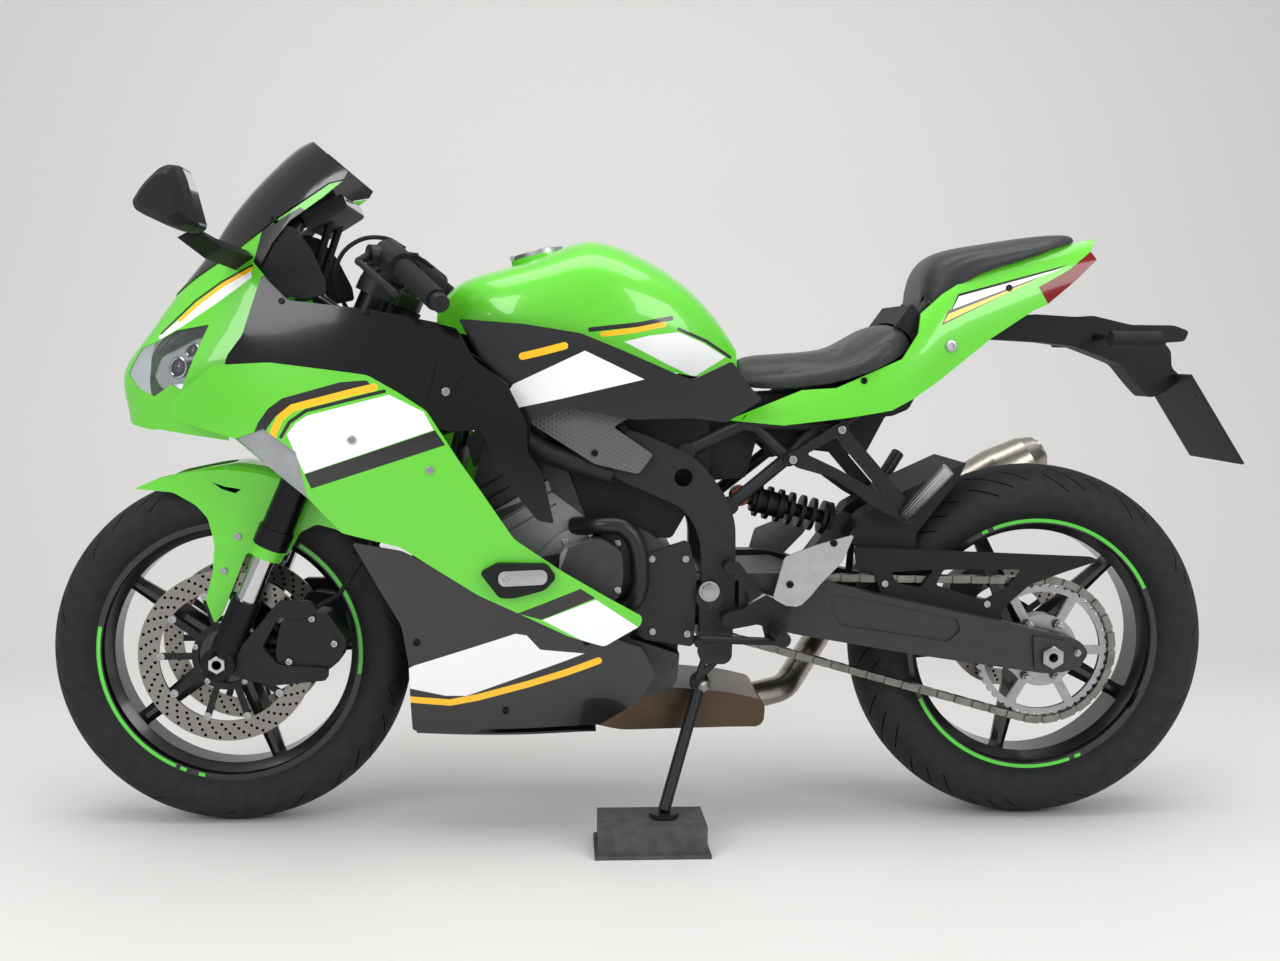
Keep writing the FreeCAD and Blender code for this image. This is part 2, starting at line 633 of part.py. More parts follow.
def front_fender():
    """A hugging guard: a turned channel over the tyre with side plates, banded to the fork's lower tubes."""
    inner = FRONT_TYRE_RADIUS + FENDER_GAP
    skirt = inner * FENDER_SKIRT_SHARE
    crown = []
    for i in range(FENDER_STEPS + 1):
        angle = math.pi * i / FENDER_STEPS
        crown.append((inner + FENDER_CROWN * math.sin(angle), -FENDER_HALF_WIDTH * math.cos(angle)))
    profile = [(skirt, -FENDER_HALF_WIDTH)] + crown + [(skirt, FENDER_HALF_WIDTH)]
    inside = [(radius - FENDER_WALL, lateral * (1 - FENDER_WALL / FENDER_HALF_WIDTH)) for radius,
              lateral in profile]
    inside[0] = (skirt, inside[0][1])
    inside[-1] = (skirt, inside[-1][1])
    shell = turned(profile + inside[::-1], AXLE_FRONT)
    guard = shell.common(prism(FENDER_SIDE_SHARES, -OVERRUN * 2, OVERRUN * 2, LEVER_RADIUS))
    guard = guard.cut(both_sides([prism(FENDER_VENT_SHARES, -OVERRUN * 2, -FENDER_HALF_WIDTH * 0.7)]))
    bands = []
    for way in (-1, 1):
        low = Vector(-FORK_OFFSET, way * FORK_HALF_SPAN, AXLE_LEVEL + FORK_LOWER_LENGTH + FENDER_BAND_LEVEL)
        bands.append(in_fork_frame(Part.makeCylinder(FORK_OUTER_RADIUS + SEAT_GAP, FENDER_BAND_WALL, low)))
    return joined([guard] + bands)


CALIPER_SHARES = (
    (0.068, 0.206), (0.065, 0.228), (0.070, 0.259), (0.080, 0.278), (0.093, 0.280), (0.128, 0.274),
    (0.149, 0.243), (0.142, 0.219), (0.128, 0.207), (0.109, 0.203),
)
CALIPER_HALF_WIDTH = 38.0
BRACKET_SHARES = (
    (0.009, 0.212), (0.015, 0.228), (0.031, 0.243), (0.051, 0.267), (0.070, 0.291), (0.105, 0.291),
    (0.117, 0.281), (0.106, 0.271), (0.070, 0.271), (0.050, 0.236), (0.069, 0.214), (0.127, 0.210),
    (0.126, 0.195), (0.064, 0.189), (0.030, 0.196), (-0.001, 0.208),
)
BRACKET_WALL = 14.0


def front_calipers():
    """A radial caliper behind each fork leg: its slotted body and the arched bracket to the leg."""
    outer = -FRONT_DISC_OFFSET - CALIPER_HALF_WIDTH
    inner = -FRONT_DISC_OFFSET + CALIPER_HALF_WIDTH * 0.42
    body = prism(CALIPER_SHARES, outer, inner, LEVER_RADIUS)
    slot = ring_y(AXLE_FRONT, (0, FRONT_DISC_RADIUS + WHEEL_GAP),
                  -FRONT_DISC_OFFSET - DISC_WALL / 2 - WHEEL_GAP,
                  -FRONT_DISC_OFFSET + DISC_WALL / 2 + WHEEL_GAP)
    spoke_room = ring_y(AXLE_FRONT, (0, FRONT_DISC_RADIUS - FRONT_DISC_BAND - WHEEL_GAP),
                        -FRONT_DISC_OFFSET, 0)
    rim_room = ring_y(AXLE_FRONT, (BEAD_RADIUS - DROP_DEPTH * 2, FRONT_TYRE_RADIUS),
                      -FRONT_DISC_OFFSET + WHEEL_GAP, 0)
    caliper = body.cut([slot, spoke_room, rim_room])
    bracket = prism(BRACKET_SHARES, outer - LEVER_RADIUS, outer - LEVER_RADIUS + BRACKET_WALL, LEVER_RADIUS)
    leg = cylinder_between(fork_point(-FORK_OFFSET, -FORK_HALF_SPAN, AXLE_LEVEL - OVERRUN),
                           fork_point(-FORK_OFFSET, -FORK_HALF_SPAN, AXLE_LEVEL + FORK_TOP_LENGTH),
                           FORK_LUG_RADIUS + SEAT_GAP)
    boss = ring_y(AXLE_FRONT, (0, FORK_OUTER_RADIUS * 1.05 + SEAT_GAP),
                  -FORK_HALF_SPAN - FORK_OUTER_RADIUS, -FORK_HALF_SPAN + FORK_OUTER_RADIUS)
    return solids(both_sides([joined([caliper, bracket]).cut([leg, boss, slot])]))


BRAKE_HOSE_RADIUS = 4.0
BRAKE_HOSE_BEND = 30.0
BRAKE_HOSE_SHARES = (
    (0.186, 0.377), (0.168, 0.341), (0.139, 0.296), (0.109, 0.280),
)
BRAKE_HOSE_PLACES = (84.0, 88.0, 92.0, 100.0)
HOSE_JOINT_PLACE = 48.0
HOSE_DROP = 60.0


def brake_hoses():
    """The two hoses from the joint under the lower clamp, down behind the fork legs to the calipers."""
    points = [
        fork_point(0, -HOSE_JOINT_PLACE, LOWER_CLAMP_LEVEL - SEAT_GAP),
        fork_point(STEM_RADIUS, -HOSE_JOINT_PLACE - BRAKE_HOSE_RADIUS, LOWER_CLAMP_LEVEL - HOSE_DROP),
    ]
    for point, place in zip(BRAKE_HOSE_SHARES, BRAKE_HOSE_PLACES):
        x, z = side(point)
        points.append(Vector(x, -place, z))
    line = pipe(points, BRAKE_HOSE_RADIUS, BRAKE_HOSE_BEND)
    return solids(both_sides([line]))


# Frame and swingarm

PIVOT_PLATE_SHARES = (
    (0.435, 0.464), (0.473, 0.439), (0.546, 0.407), (0.562, 0.388), (0.572, 0.364), (0.573, 0.322),
    (0.570, 0.217), (0.610, 0.216), (0.613, 0.333), (0.612, 0.386), (0.604, 0.413), (0.584, 0.443),
    (0.562, 0.466), (0.541, 0.476), (0.499, 0.494), (0.464, 0.503),
)
PLATE_HOLE_SHARE = (0.549, 0.442)
PLATE_HOLE_RADIUS = 15.0
UPPER_SPAR_SHARES = (
    (0.254, 0.588), (0.319, 0.552), (0.406, 0.510), (0.471, 0.484),
)
LOWER_SPAR_SHARES = (
    (0.245, 0.557), (0.319, 0.512), (0.384, 0.472), (0.464, 0.446),
)
SPAR_SPREAD = 130.0


def main_frame():
    """Head tube, two bent spars on each side, cast pivot plates and the cross tubes between them."""
    low = LOWER_CLAMP_LEVEL + CLAMP_WALL + HEAD_GAP
    high = UPPER_CLAMP_LEVEL - HEAD_GAP
    head = in_fork_frame(Part.makeCylinder(HEAD_TUBE_RADIUS, high - low, Vector(0, 0, low)))
    bore = in_fork_frame(Part.makeCylinder(STEM_RADIUS + HEAD_GAP, high - low, Vector(0, 0, low)))
    outer = -FRAME_HALF_WIDTH
    plate = prism(PIVOT_PLATE_SHARES, outer, outer + PIVOT_PLATE_WALL, FRAME_TUBE_RADIUS)
    hole_x, hole_z = side(PLATE_HOLE_SHARE)
    hole = ring_y(Vector(hole_x, 0, hole_z), (0, PLATE_HOLE_RADIUS), outer, outer + PIVOT_PLATE_WALL)
    boss = ring_y(PIVOT, (0, FRAME_TUBE_RADIUS * 1.2), outer - LEVER_RADIUS, outer + PIVOT_PLATE_WALL)
    pieces = [plate.cut(hole), boss]
    for shares, level in ((UPPER_SPAR_SHARES, high), (LOWER_SPAR_SHARES, low)):
        spots = [side(point) for point in shares]
        start = fork_point(HEAD_TUBE_RADIUS * 0.4, -HEAD_TUBE_RADIUS * 0.5,
                           (high + low) / 2 + (level - (high + low) / 2) * 0.5)
        middle = -outer - PIVOT_PLATE_WALL / 2
        spread = [-SPAR_SPREAD * 0.45, -SPAR_SPREAD, -SPAR_SPREAD, -middle]
        path = [start] + [Vector(x, y, z) for (x, z), y in zip(spots, spread)]
        pieces.append(pipe(path, FRAME_TUBE_RADIUS, WHEELBASE * 0.06))
    half = joined(pieces)
    ties = []
    for shares in (PLATE_HOLE_SHARE, CROSS_TUBE_SHARE):
        x, z = side(shares)
        reach = -outer - PIVOT_PLATE_WALL / 2
        if shares == PLATE_HOLE_SHARE:
            x += PLATE_HOLE_RADIUS * 2.6
            z -= PLATE_HOLE_RADIUS * 1.2
        ties.append(cylinder_between(Vector(x, -reach, z), Vector(x, reach, z), FRAME_TUBE_RADIUS * 0.8))
    body = joined([half, mirrored(half), head] + ties)
    shaft = ring_y(PIVOT, (0, SWINGARM_PIVOT_RADIUS), outer - OVERRUN, -outer + OVERRUN)
    return body.cut([bore, shaft])


CROSS_TUBE_SHARE = (0.591, 0.225)
SUBFRAME_TUBES_SHARES = (
    (0.554, 0.471, 0.630, 0.507), (0.630, 0.507, 0.742, 0.501), (0.742, 0.501, 0.899, 0.616),
    (0.607, 0.406, 0.678, 0.464), (0.678, 0.464, 0.742, 0.500), (0.678, 0.464, 0.855, 0.656),
    (0.630, 0.507, 0.678, 0.464),
)
SUBFRAME_HALF_WIDTH = 100.0
SUBFRAME_TAIL_HALF_WIDTH = 62.0


def subframe_lateral(x):
    """The rear frame's half width, which narrows from the pivot plates to the tail."""
    start = WHEELBASE * 0.62
    end = WHEELBASE * 0.86
    share = min(max((x - start) / (end - start), 0.0), 1.0)
    return SUBFRAME_HALF_WIDTH * (1 - share) + SUBFRAME_TAIL_HALF_WIDTH * share


def subframe():
    """The tail's triangulated tubes on both sides, their cast nodes and the cross tubes that join them."""
    half = []
    spots = {}
    for x1, z1, x2, z2 in SUBFRAME_TUBES_SHARES:
        start_x, start_z = side((x1, z1))
        end_x, end_z = side((x2, z2))
        start = Vector(start_x, -subframe_lateral(start_x), start_z)
        end = Vector(end_x, -subframe_lateral(end_x), end_z)
        half.append(cylinder_between(start, end, SUBFRAME_TUBE_RADIUS))
        spots[(x1, z1)] = start
        spots[(x2, z2)] = end
    for spot in spots.values():
        half.append(ring_y(spot, (0, SUBFRAME_TUBE_RADIUS * 1.3), spot.y - SUBFRAME_TUBE_RADIUS,
                           spot.y + SUBFRAME_TUBE_RADIUS))
    sides = joined(half)
    ties = []
    for x_share, z_share in SUBFRAME_TIES_SHARES:
        x, z = side((x_share, z_share))
        y = subframe_lateral(x)
        ties.append(cylinder_between(Vector(x, -y, z), Vector(x, y, z), SUBFRAME_TUBE_RADIUS * 0.85))
    return joined([sides, mirrored(sides)] + ties)


SUBFRAME_TIES_SHARES = (
    (0.630, 0.507), (0.742, 0.501), (0.899, 0.616), (0.855, 0.656),
)
SWINGARM_SHARES = (
    (0.617, 0.328), (0.678, 0.328), (0.732, 0.313), (0.932, 0.270), (0.999, 0.254), (1.036, 0.245),
    (1.048, 0.229), (1.036, 0.212), (1.001, 0.203), (0.828, 0.229), (0.679, 0.255), (0.617, 0.272),
)
SWINGARM_INNER = CHAIN_LINE + CHAIN_OUTER_WIDTH / 2 + SWINGARM_GAP
BEAM_SHARES = (
    (0.582, 0.275), (0.679, 0.255), (0.725, 0.262), (0.733, 0.304), (0.678, 0.325), (0.582, 0.322),
)
BRACE_SHARES = (
    (0.656, 0.267), (0.725, 0.264), (0.730, 0.299), (0.663, 0.301),
)
BEAM_HALF_WIDTH = 78.0
SHOCK_LUG_SHARES = (
    (0.696, 0.312), (0.730, 0.299), (0.779, 0.371), (0.772, 0.388), (0.751, 0.391), (0.738, 0.370),
)
PIVOT_EYE_RADIUS = 32.0
PIVOT_BUSH_RADIUS = 18.0
REAR_CALIPER_SHARES = (
    (0.914, 0.255), (0.920, 0.291), (0.951, 0.316), (0.970, 0.303), (0.955, 0.270), (0.939, 0.246),
)
REAR_CALIPER_HALF_WIDTH = 24.0
ARM_POCKET_SHARES = (
    (0.731, 0.303), (0.761, 0.299), (0.882, 0.273), (0.888, 0.258), (0.873, 0.244), (0.742, 0.264),
    (0.727, 0.283),
)
ARM_POCKET_DEPTH = 4.0
AXLE_BLOCK_SHARES = (
    (0.976, 0.252), (1.017, 0.245), (1.041, 0.222), (1.036, 0.212), (1.012, 0.206), (0.980, 0.211),
)
AXLE_BLOCK_WALL = 5.0


def swingarm():
    """Two tapered arms outside the chain and the tyre, a beam, the shock's lug and the rear caliper."""
    arm = prism(SWINGARM_SHARES, -SWINGARM_INNER - SWINGARM_WALL, -SWINGARM_INNER, FRAME_TUBE_RADIUS)
    beam = prism(BEAM_SHARES, -BEAM_HALF_WIDTH, BEAM_HALF_WIDTH, LEVER_RADIUS)
    eye = ring_y(PIVOT, (0, PIVOT_EYE_RADIUS), -BEAM_HALF_WIDTH, BEAM_HALF_WIDTH)
    bush_end = FRAME_HALF_WIDTH - PIVOT_PLATE_WALL - SEAT_GAP
    bush = ring_y(PIVOT, (0, PIVOT_BUSH_RADIUS), -bush_end, bush_end)
    brace = prism(BRACE_SHARES, -SWINGARM_INNER, SWINGARM_INNER, LEVER_RADIUS)
    lug = prism(SHOCK_LUG_SHARES, -SHOCK_RADIUS, SHOCK_RADIUS, LEVER_RADIUS)
    eye_x, eye_z = side(SHOCK_ENDS_SHARES[1])
    lug_gap = ring_y(Vector(eye_x, 0, eye_z), (0, SHOCK_RADIUS * 1.4), -SHOCK_RADIUS * 0.55,
                     SHOCK_RADIUS * 0.55)
    outer = -SWINGARM_INNER - SWINGARM_WALL
    arm = arm.cut(prism(ARM_POCKET_SHARES, outer - OVERRUN, outer + ARM_POCKET_DEPTH, LEVER_RADIUS))
    block = prism(AXLE_BLOCK_SHARES, outer - AXLE_BLOCK_WALL, outer, LEVER_RADIUS)
    axle = ring_y(AXLE_REAR, (0, AXLE_RADIUS - SEAT_GAP), outer, -outer)
    spacer_end = CHAIN_LINE + SPROCKET_WALL / 2 + SEAT_GAP * 2
    spacers = both_sides([ring_y(AXLE_REAR, (0, AXLE_RADIUS * 1.6), -SWINGARM_INNER, -spacer_end)])
    caliper = prism(REAR_CALIPER_SHARES, REAR_DISC_OFFSET - REAR_CALIPER_HALF_WIDTH,
                    SWINGARM_INNER + SEAT_GAP, LEVER_RADIUS)
    slot = ring_y(AXLE_REAR, (0, REAR_DISC_RADIUS + WHEEL_GAP),
                  REAR_DISC_OFFSET - DISC_WALL / 2 - WHEEL_GAP,
                  REAR_DISC_OFFSET + DISC_WALL / 2 + WHEEL_GAP)
    pivot_shaft = ring_y(PIVOT, (0, SWINGARM_PIVOT_RADIUS - SEAT_GAP), -FRAME_HALF_WIDTH - LEVER_RADIUS,
                         FRAME_HALF_WIDTH + LEVER_RADIUS)
    arm = joined([arm, block])
    body = joined([arm, mirrored(arm), beam, eye, bush, brace, lug.cut(lug_gap), caliper.cut(slot),
                   axle] + spacers)
    bore = ring_y(AXLE_REAR, (0, AXLE_BORE_RADIUS), outer - OVERRUN, -outer + OVERRUN)
    return joined([body, pivot_shaft]).cut(bore)


SHOCK_ENDS_SHARES = (
    (0.629, 0.410), (0.759, 0.377),
)
SHOCK_RADIUS = 24.0
SPRING_RADIUS = 29.0
SPRING_WIRE = 6.0
SPRING_COILS = 6


def rear_shock():
    """The damper between the frame and the swingarm: eyes, body, rod and stacked spring coils."""
    start_x, start_z = side(SHOCK_ENDS_SHARES[0])
    end_x, end_z = side(SHOCK_ENDS_SHARES[1])
    start = Vector(start_x, 0, start_z)
    end = Vector(end_x, 0, end_z)
    line = end - start
    along = (end - start).normalize()
    pieces = [cylinder_between(start, end, SPRING_RADIUS * 0.4)]
    pieces.append(cylinder_between(start + line * 0.12, start + line * 0.45, SPRING_RADIUS * 0.75))
    for share in (0.16, 0.86):
        pieces.append(cylinder_between(start + line * share, start + line * share + along * SPRING_WIRE,
                                       SPRING_RADIUS))
    for i in range(SPRING_COILS):
        spot = start + line * (0.26 + 0.54 * i / (SPRING_COILS - 1))
        pieces.append(cylinder_between(spot, spot + along * SPRING_WIRE * 1.2, SPRING_RADIUS))
    for eye in (start, end):
        pieces.append(ring_y(eye, (0, SPRING_RADIUS * 0.6), -SHOCK_RADIUS * 0.5, SHOCK_RADIUS * 0.5))
    return joined(pieces)


GUARD_FLANGE_SHARE = 0.351
CHAIN_GUARD_SHARES = (
    (0.758, 0.357), (1.054, 0.345), (1.064, 0.340), (1.018, 0.325), (0.978, 0.310), (0.949, 0.284),
    (0.937, 0.257), (0.918, 0.267), (0.846, 0.283), (0.796, 0.293), (0.785, 0.325), (0.764, 0.330),
)
GUARD_WINDOWS_SHARES = (
    (
    (0.805, 0.326), (0.858, 0.329), (0.843, 0.307), (0.813, 0.312),
),
    (
    (0.870, 0.329), (0.967, 0.329), (0.950, 0.307), (0.920, 0.291), (0.861, 0.310),
),
)
GUARD_WALL = 3.0
HUGGER_GAP = 9.0
HUGGER_SHARES = (
    (0.754, 0.367), (0.772, 0.395), (0.825, 0.425), (0.898, 0.459), (0.888, 0.436), (0.839, 0.372),
    (0.838, 0.343), (0.767, 0.351),
)
HUGGER_INNER_SHARES = (
    (0.739, 0.341), (0.758, 0.367), (0.775, 0.392), (0.826, 0.422), (0.897, 0.457), (0.942, 0.435),
    (0.888, 0.341),
)
SHOCK_SLOT_SHARES = (
    (0.739, 0.333), (0.739, 0.420), (0.791, 0.420), (0.791, 0.333),
)
HUGGER_SLOT_HALF_WIDTH = 36.0
HUGGER_TAB_SHARE = (0.774, 0.351)
HUGGER_STAY_SHARES = (
    (0.790, 0.352), (0.790, 0.293),
)


def hugger_tab():
    """The guard's tab, which holds the chain guard's flange."""
    half = REAR_TYRE_WIDTH / 2 + HUGGER_GAP + GUARD_WALL
    tab_x = side(HUGGER_TAB_SHARE)[0]
    return Part.makeBox(LEVER_RADIUS * 5, SWINGARM_INNER - half + GUARD_WALL, GUARD_WALL,
                        Vector(tab_x, -SWINGARM_INNER, GUARD_FLANGE_SHARE * WHEELBASE - GUARD_WALL))


def hugger():
    """The rear wheel's guard: a bent channel ahead of the tyre, with a slot for the shock and two stays."""
    half = REAR_TYRE_WIDTH / 2 + HUGGER_GAP + GUARD_WALL
    body = prism(HUGGER_SHARES, -half, half, GUARD_WALL)
    body = body.cut([
        prism(HUGGER_INNER_SHARES, -half + GUARD_WALL, half - GUARD_WALL),
        prism(SHOCK_SLOT_SHARES, -HUGGER_SLOT_HALF_WIDTH, HUGGER_SLOT_HALF_WIDTH),
    ])
    high_x, high_z = side(HUGGER_STAY_SHARES[0])
    low_x, low_z = side(HUGGER_STAY_SHARES[1])
    stay = cylinder_between(Vector(high_x, half - GUARD_WALL / 2, high_z),
                            Vector(low_x, SWINGARM_INNER + LEVER_RADIUS, low_z),
                            LEVER_RADIUS)
    return joined([body, hugger_tab(), stay]).cut(mirrored(prism(SWINGARM_SHARES, -OVERRUN * 4, 0,
                                                                 FRAME_TUBE_RADIUS)))


# Engine, radiator and exhaust

CRANKCASE_SHARES = (
    (0.346, 0.239), (0.377, 0.207), (0.435, 0.183), (0.507, 0.174), (0.545, 0.186), (0.549, 0.239),
    (0.548, 0.341), (0.507, 0.377), (0.464, 0.391), (0.406, 0.377), (0.362, 0.333), (0.343, 0.275),
)
CYLINDER_SHARES = (
    (0.362, 0.333), (0.435, 0.388), (0.406, 0.464), (0.377, 0.500), (0.312, 0.480), (0.300, 0.432),
    (0.319, 0.391),
)
HEAD_COVER_SHARES = (
    (0.301, 0.449), (0.313, 0.480), (0.378, 0.500), (0.367, 0.523), (0.323, 0.516), (0.291, 0.484),
)
STATOR_SHARES = (
    (0.404, 0.359), (0.450, 0.374), (0.476, 0.357), (0.478, 0.326), (0.472, 0.300), (0.433, 0.299),
    (0.401, 0.319),
)
CLUTCH_SHARES = (
    (0.406, 0.341), (0.435, 0.362), (0.507, 0.362), (0.536, 0.319), (0.533, 0.246), (0.500, 0.210),
    (0.435, 0.207), (0.403, 0.246),
)
DRIVE_COVER_SHARES = (
    (0.496, 0.346), (0.557, 0.366), (0.567, 0.326), (0.565, 0.236), (0.500, 0.246), (0.488, 0.290),
)
CYLINDER_HALF_WIDTH = 106.0
STATOR_WIDTH = 42.0
CLUTCH_WIDTH = 44.0
DRIVE_COVER_WALL = 14.0
FIN_COUNT = 5
HOSE_RADIUS = 15.0
HOSE_SHARES = (
    (0.420, 0.381), (0.451, 0.386), (0.475, 0.386), (0.490, 0.373), (0.497, 0.352), (0.499, 0.319),
    (0.494, 0.296), (0.477, 0.284),
)


def engine():
    """Crankcase, inclined cylinders and head with cooling fins, generator, clutch and chain covers."""
    case = prism(CRANKCASE_SHARES, -ENGINE_HALF_WIDTH * 0.78, ENGINE_HALF_WIDTH * 0.78, FRAME_TUBE_RADIUS)
    cylinders = prism(CYLINDER_SHARES, -CYLINDER_HALF_WIDTH, CYLINDER_HALF_WIDTH, LEVER_RADIUS)
    cover = prism(HEAD_COVER_SHARES, -CYLINDER_HALF_WIDTH * 0.92, CYLINDER_HALF_WIDTH * 0.92, LEVER_RADIUS)
    stator = prism(STATOR_SHARES, -ENGINE_HALF_WIDTH - STATOR_WIDTH * 0.4, -ENGINE_HALF_WIDTH * 0.7,
                   LEVER_RADIUS * 2)
    clutch = prism(CLUTCH_SHARES, ENGINE_HALF_WIDTH * 0.7, ENGINE_HALF_WIDTH + CLUTCH_WIDTH * 0.5,
                   FRAME_TUBE_RADIUS)
    cap_x, cap_z = side(CLUTCH_CENTRE_SHARE)
    cap = ring_y(Vector(cap_x, 0, cap_z), (0, CLUTCH_CAP_RADIUS), ENGINE_HALF_WIDTH,
                 ENGINE_HALF_WIDTH + CLUTCH_WIDTH * 0.65)
    filter_x, filter_z = side(OIL_FILTER_SHARE)
    oil_filter = Part.makeCylinder(OIL_FILTER_RADIUS, OIL_FILTER_RADIUS * 2.6,
                                   Vector(filter_x, 0, filter_z), Vector(-1, 0, 0))
    pocket = prism(DRIVE_POCKET_SHARES, -OVERRUN * 4, -CHAIN_LINE + CHAIN_OUTER_WIDTH / 2 + SWINGARM_GAP, 0)
    body = joined([case, cylinders, cover, stator, clutch, cap, oil_filter]).cut(pocket)
    grooves = []
    low_x, low_z = side(CYLINDER_SHARES[0])
    high_x, high_z = side(CYLINDER_SHARES[4])
    for i in range(FIN_COUNT):
        share = 0.3 + 0.1 * i
        spot = Vector(low_x + (high_x - low_x) * share, 0, low_z + (high_z - low_z) * share)
        groove = Part.makeBox(WHEELBASE * 0.12, ENGINE_HALF_WIDTH * 3, LEVER_RADIUS * 0.6,
                              Vector(-WHEELBASE * 0.06, -ENGINE_HALF_WIDTH * 1.5, 0))
        groove.rotate(Vector(0, 0, 0), Vector(0, 1, 0), -CYLINDER_TILT)
        groove.translate(spot)
        core = prism(CYLINDER_SHARES, -CYLINDER_HALF_WIDTH + LEVER_RADIUS,
                     CYLINDER_HALF_WIDTH - LEVER_RADIUS, 0.0)
        grooves.append(groove.cut(core))
    return body.cut(grooves)


def drive_cover():
    """The cover over the driving sprocket, outside the chain."""
    inner = -CHAIN_LINE - CHAIN_OUTER_WIDTH / 2 - SWINGARM_GAP
    return prism(DRIVE_COVER_SHARES, inner - DRIVE_COVER_WALL, inner, FRAME_TUBE_RADIUS * 0.6)


DRIVE_POCKET_SHARES = (
    (0.488, 0.246), (0.594, 0.210), (0.594, 0.348), (0.496, 0.348),
)
CLUTCH_CENTRE_SHARE = (0.475, 0.286)
CLUTCH_CAP_RADIUS = 62.0
OIL_FILTER_SHARE = (0.362, 0.239)
OIL_FILTER_RADIUS = 33.0
CYLINDER_TILT = 30.0
RADIATOR_SHARES = (
    (0.230, 0.304), (0.246, 0.299), (0.284, 0.464), (0.268, 0.470),
)
RADIATOR_HALF_WIDTH = 140.0
RADIATOR_TUBE_COUNT = 9


def radiator():
    """The cooler ahead of the engine, with its two side tanks and raised flat tubes."""
    core = prism(RADIATOR_SHARES, -RADIATOR_HALF_WIDTH, RADIATOR_HALF_WIDTH, 0.0)
    tanks = both_sides([prism(RADIATOR_SHARES, -RADIATOR_HALF_WIDTH - FRAME_TUBE_RADIUS,
                              -RADIATOR_HALF_WIDTH, 0.0)])
    low_x, low_z = side(RADIATOR_SHARES[0])
    high_x, high_z = side(RADIATOR_SHARES[3])
    rows = []
    for i in range(RADIATOR_TUBE_COUNT):
        share = (i + 0.5) / RADIATOR_TUBE_COUNT
        rows.append(Part.makeBox(
            LEVER_RADIUS, RADIATOR_HALF_WIDTH * 2, LEVER_RADIUS * 1.4,
            Vector(low_x + (high_x - low_x) * share - LEVER_RADIUS * 0.4, -RADIATOR_HALF_WIDTH,
                   low_z + (high_z - low_z) * share),
        ))
    stays = []
    for way in (-1, 1):
        y = RADIATOR_HALF_WIDTH * RADIATOR_STAY_SHARE * way
        low = side(RADIATOR_STAY_SHARES[0])
        high = side(RADIATOR_STAY_SHARES[1])
        stays.append(cylinder_between(Vector(low[0], y, low[1]), Vector(high[0], y, high[1]), LEVER_RADIUS))
    return joined([core] + tanks + rows + stays)


RADIATOR_STAY_SHARES = (
    (0.276, 0.464), (0.289, 0.523),
)
RADIATOR_STAY_SHARE = 0.72


def hose():
    """The coolant hose that runs down beside the generator cover."""
    y = -ENGINE_HALF_WIDTH * 0.94
    points = [Vector(side(point)[0], y, side(point)[1]) for point in HOSE_SHARES]
    points[0].y = -CYLINDER_HALF_WIDTH
    points[-1].y = -ENGINE_HALF_WIDTH * 0.78
    return pipe(points, HOSE_RADIUS, WHEELBASE * 0.03)


HEADER_SHARES = (
    (0.316, 0.410), (0.284, 0.380), (0.271, 0.319), (0.284, 0.225), (0.333, 0.171), (0.432, 0.155),
)
HEADER_RADIUS = 15.0
HEADER_PLACES_SHARES = (-0.75, -0.25, 0.25, 0.75)
COLLECTOR_SHARES = (
    (0.424, 0.138), (0.478, 0.125), (0.616, 0.128), (0.656, 0.128), (0.658, 0.161), (0.613, 0.172),
    (0.514, 0.181), (0.424, 0.174),
)
COLLECTOR_HALF_WIDTH = 82.0


def exhaust_headers():
    """Four header pipes from the head, down and under the engine, into the collector box."""
    pieces = [prism(COLLECTOR_SHARES, -COLLECTOR_HALF_WIDTH, COLLECTOR_HALF_WIDTH, FRAME_TUBE_RADIUS)]
    for place in HEADER_PLACES_SHARES:
        points = []
        for i, point in enumerate(HEADER_SHARES):
            x, z = side(point)
            inward = 1.0 - 0.3 * i / (len(HEADER_SHARES) - 1)
            points.append(Vector(x, place * CYLINDER_HALF_WIDTH * 0.9 * inward * 0.85, z))
        pieces.append(pipe(points, HEADER_RADIUS, WHEELBASE * 0.05))
    return joined(pieces)


SILENCER_ENDS_SHARES = (
    (0.855, 0.341), (1.059, 0.458),
)
SILENCER_PLACE = 172.0
SILENCER_RADIUS = 52.0
LINK_PIPE_SHARES = (
    (0.638, 0.143), (0.699, 0.149), (0.736, 0.181), (0.765, 0.212), (0.812, 0.290), (0.862, 0.345),
)
LINK_PIPE_PLACES_SHARES = (0.12, 0.35, 0.75, 1.0, 1.0, 1.0)
LINK_PIPE_RADIUS = 24.0


def silencer():
    """The short can on the right: a tapered body with an end cone and the pipe that leads to it."""
    start_x, start_z = side(SILENCER_ENDS_SHARES[0])
    end_x, end_z = side(SILENCER_ENDS_SHARES[1])
    start = Vector(start_x, SILENCER_PLACE, start_z)
    end = Vector(end_x, SILENCER_PLACE, end_z)
    line = end - start
    length = line.Length
    sections = ((0.0, 0.5), (0.12, 0.92), (0.72, 1.0), (0.92, 0.82), (1.0, 0.6))
    body = None
    for (first, first_size), (second, second_size) in zip(sections, sections[1:]):
        cone = Part.makeCone(SILENCER_RADIUS * first_size, SILENCER_RADIUS * second_size,
                             length * (second - first),
                             start + line * first, line)
        body = cone if body is None else body.fuse(cone)
    outlet = cylinder_between(start + line * 0.9, end + line * 0.02, SILENCER_RADIUS * 0.42)
    points = [Vector(side(point)[0], 0, side(point)[1]) for point in LINK_PIPE_SHARES]
    for point, share in zip(points, LINK_PIPE_PLACES_SHARES):
        point.y = SILENCER_PLACE * share
    link = pipe(points, LINK_PIPE_RADIUS, WHEELBASE * 0.05)
    return joined([body, outlet, link])


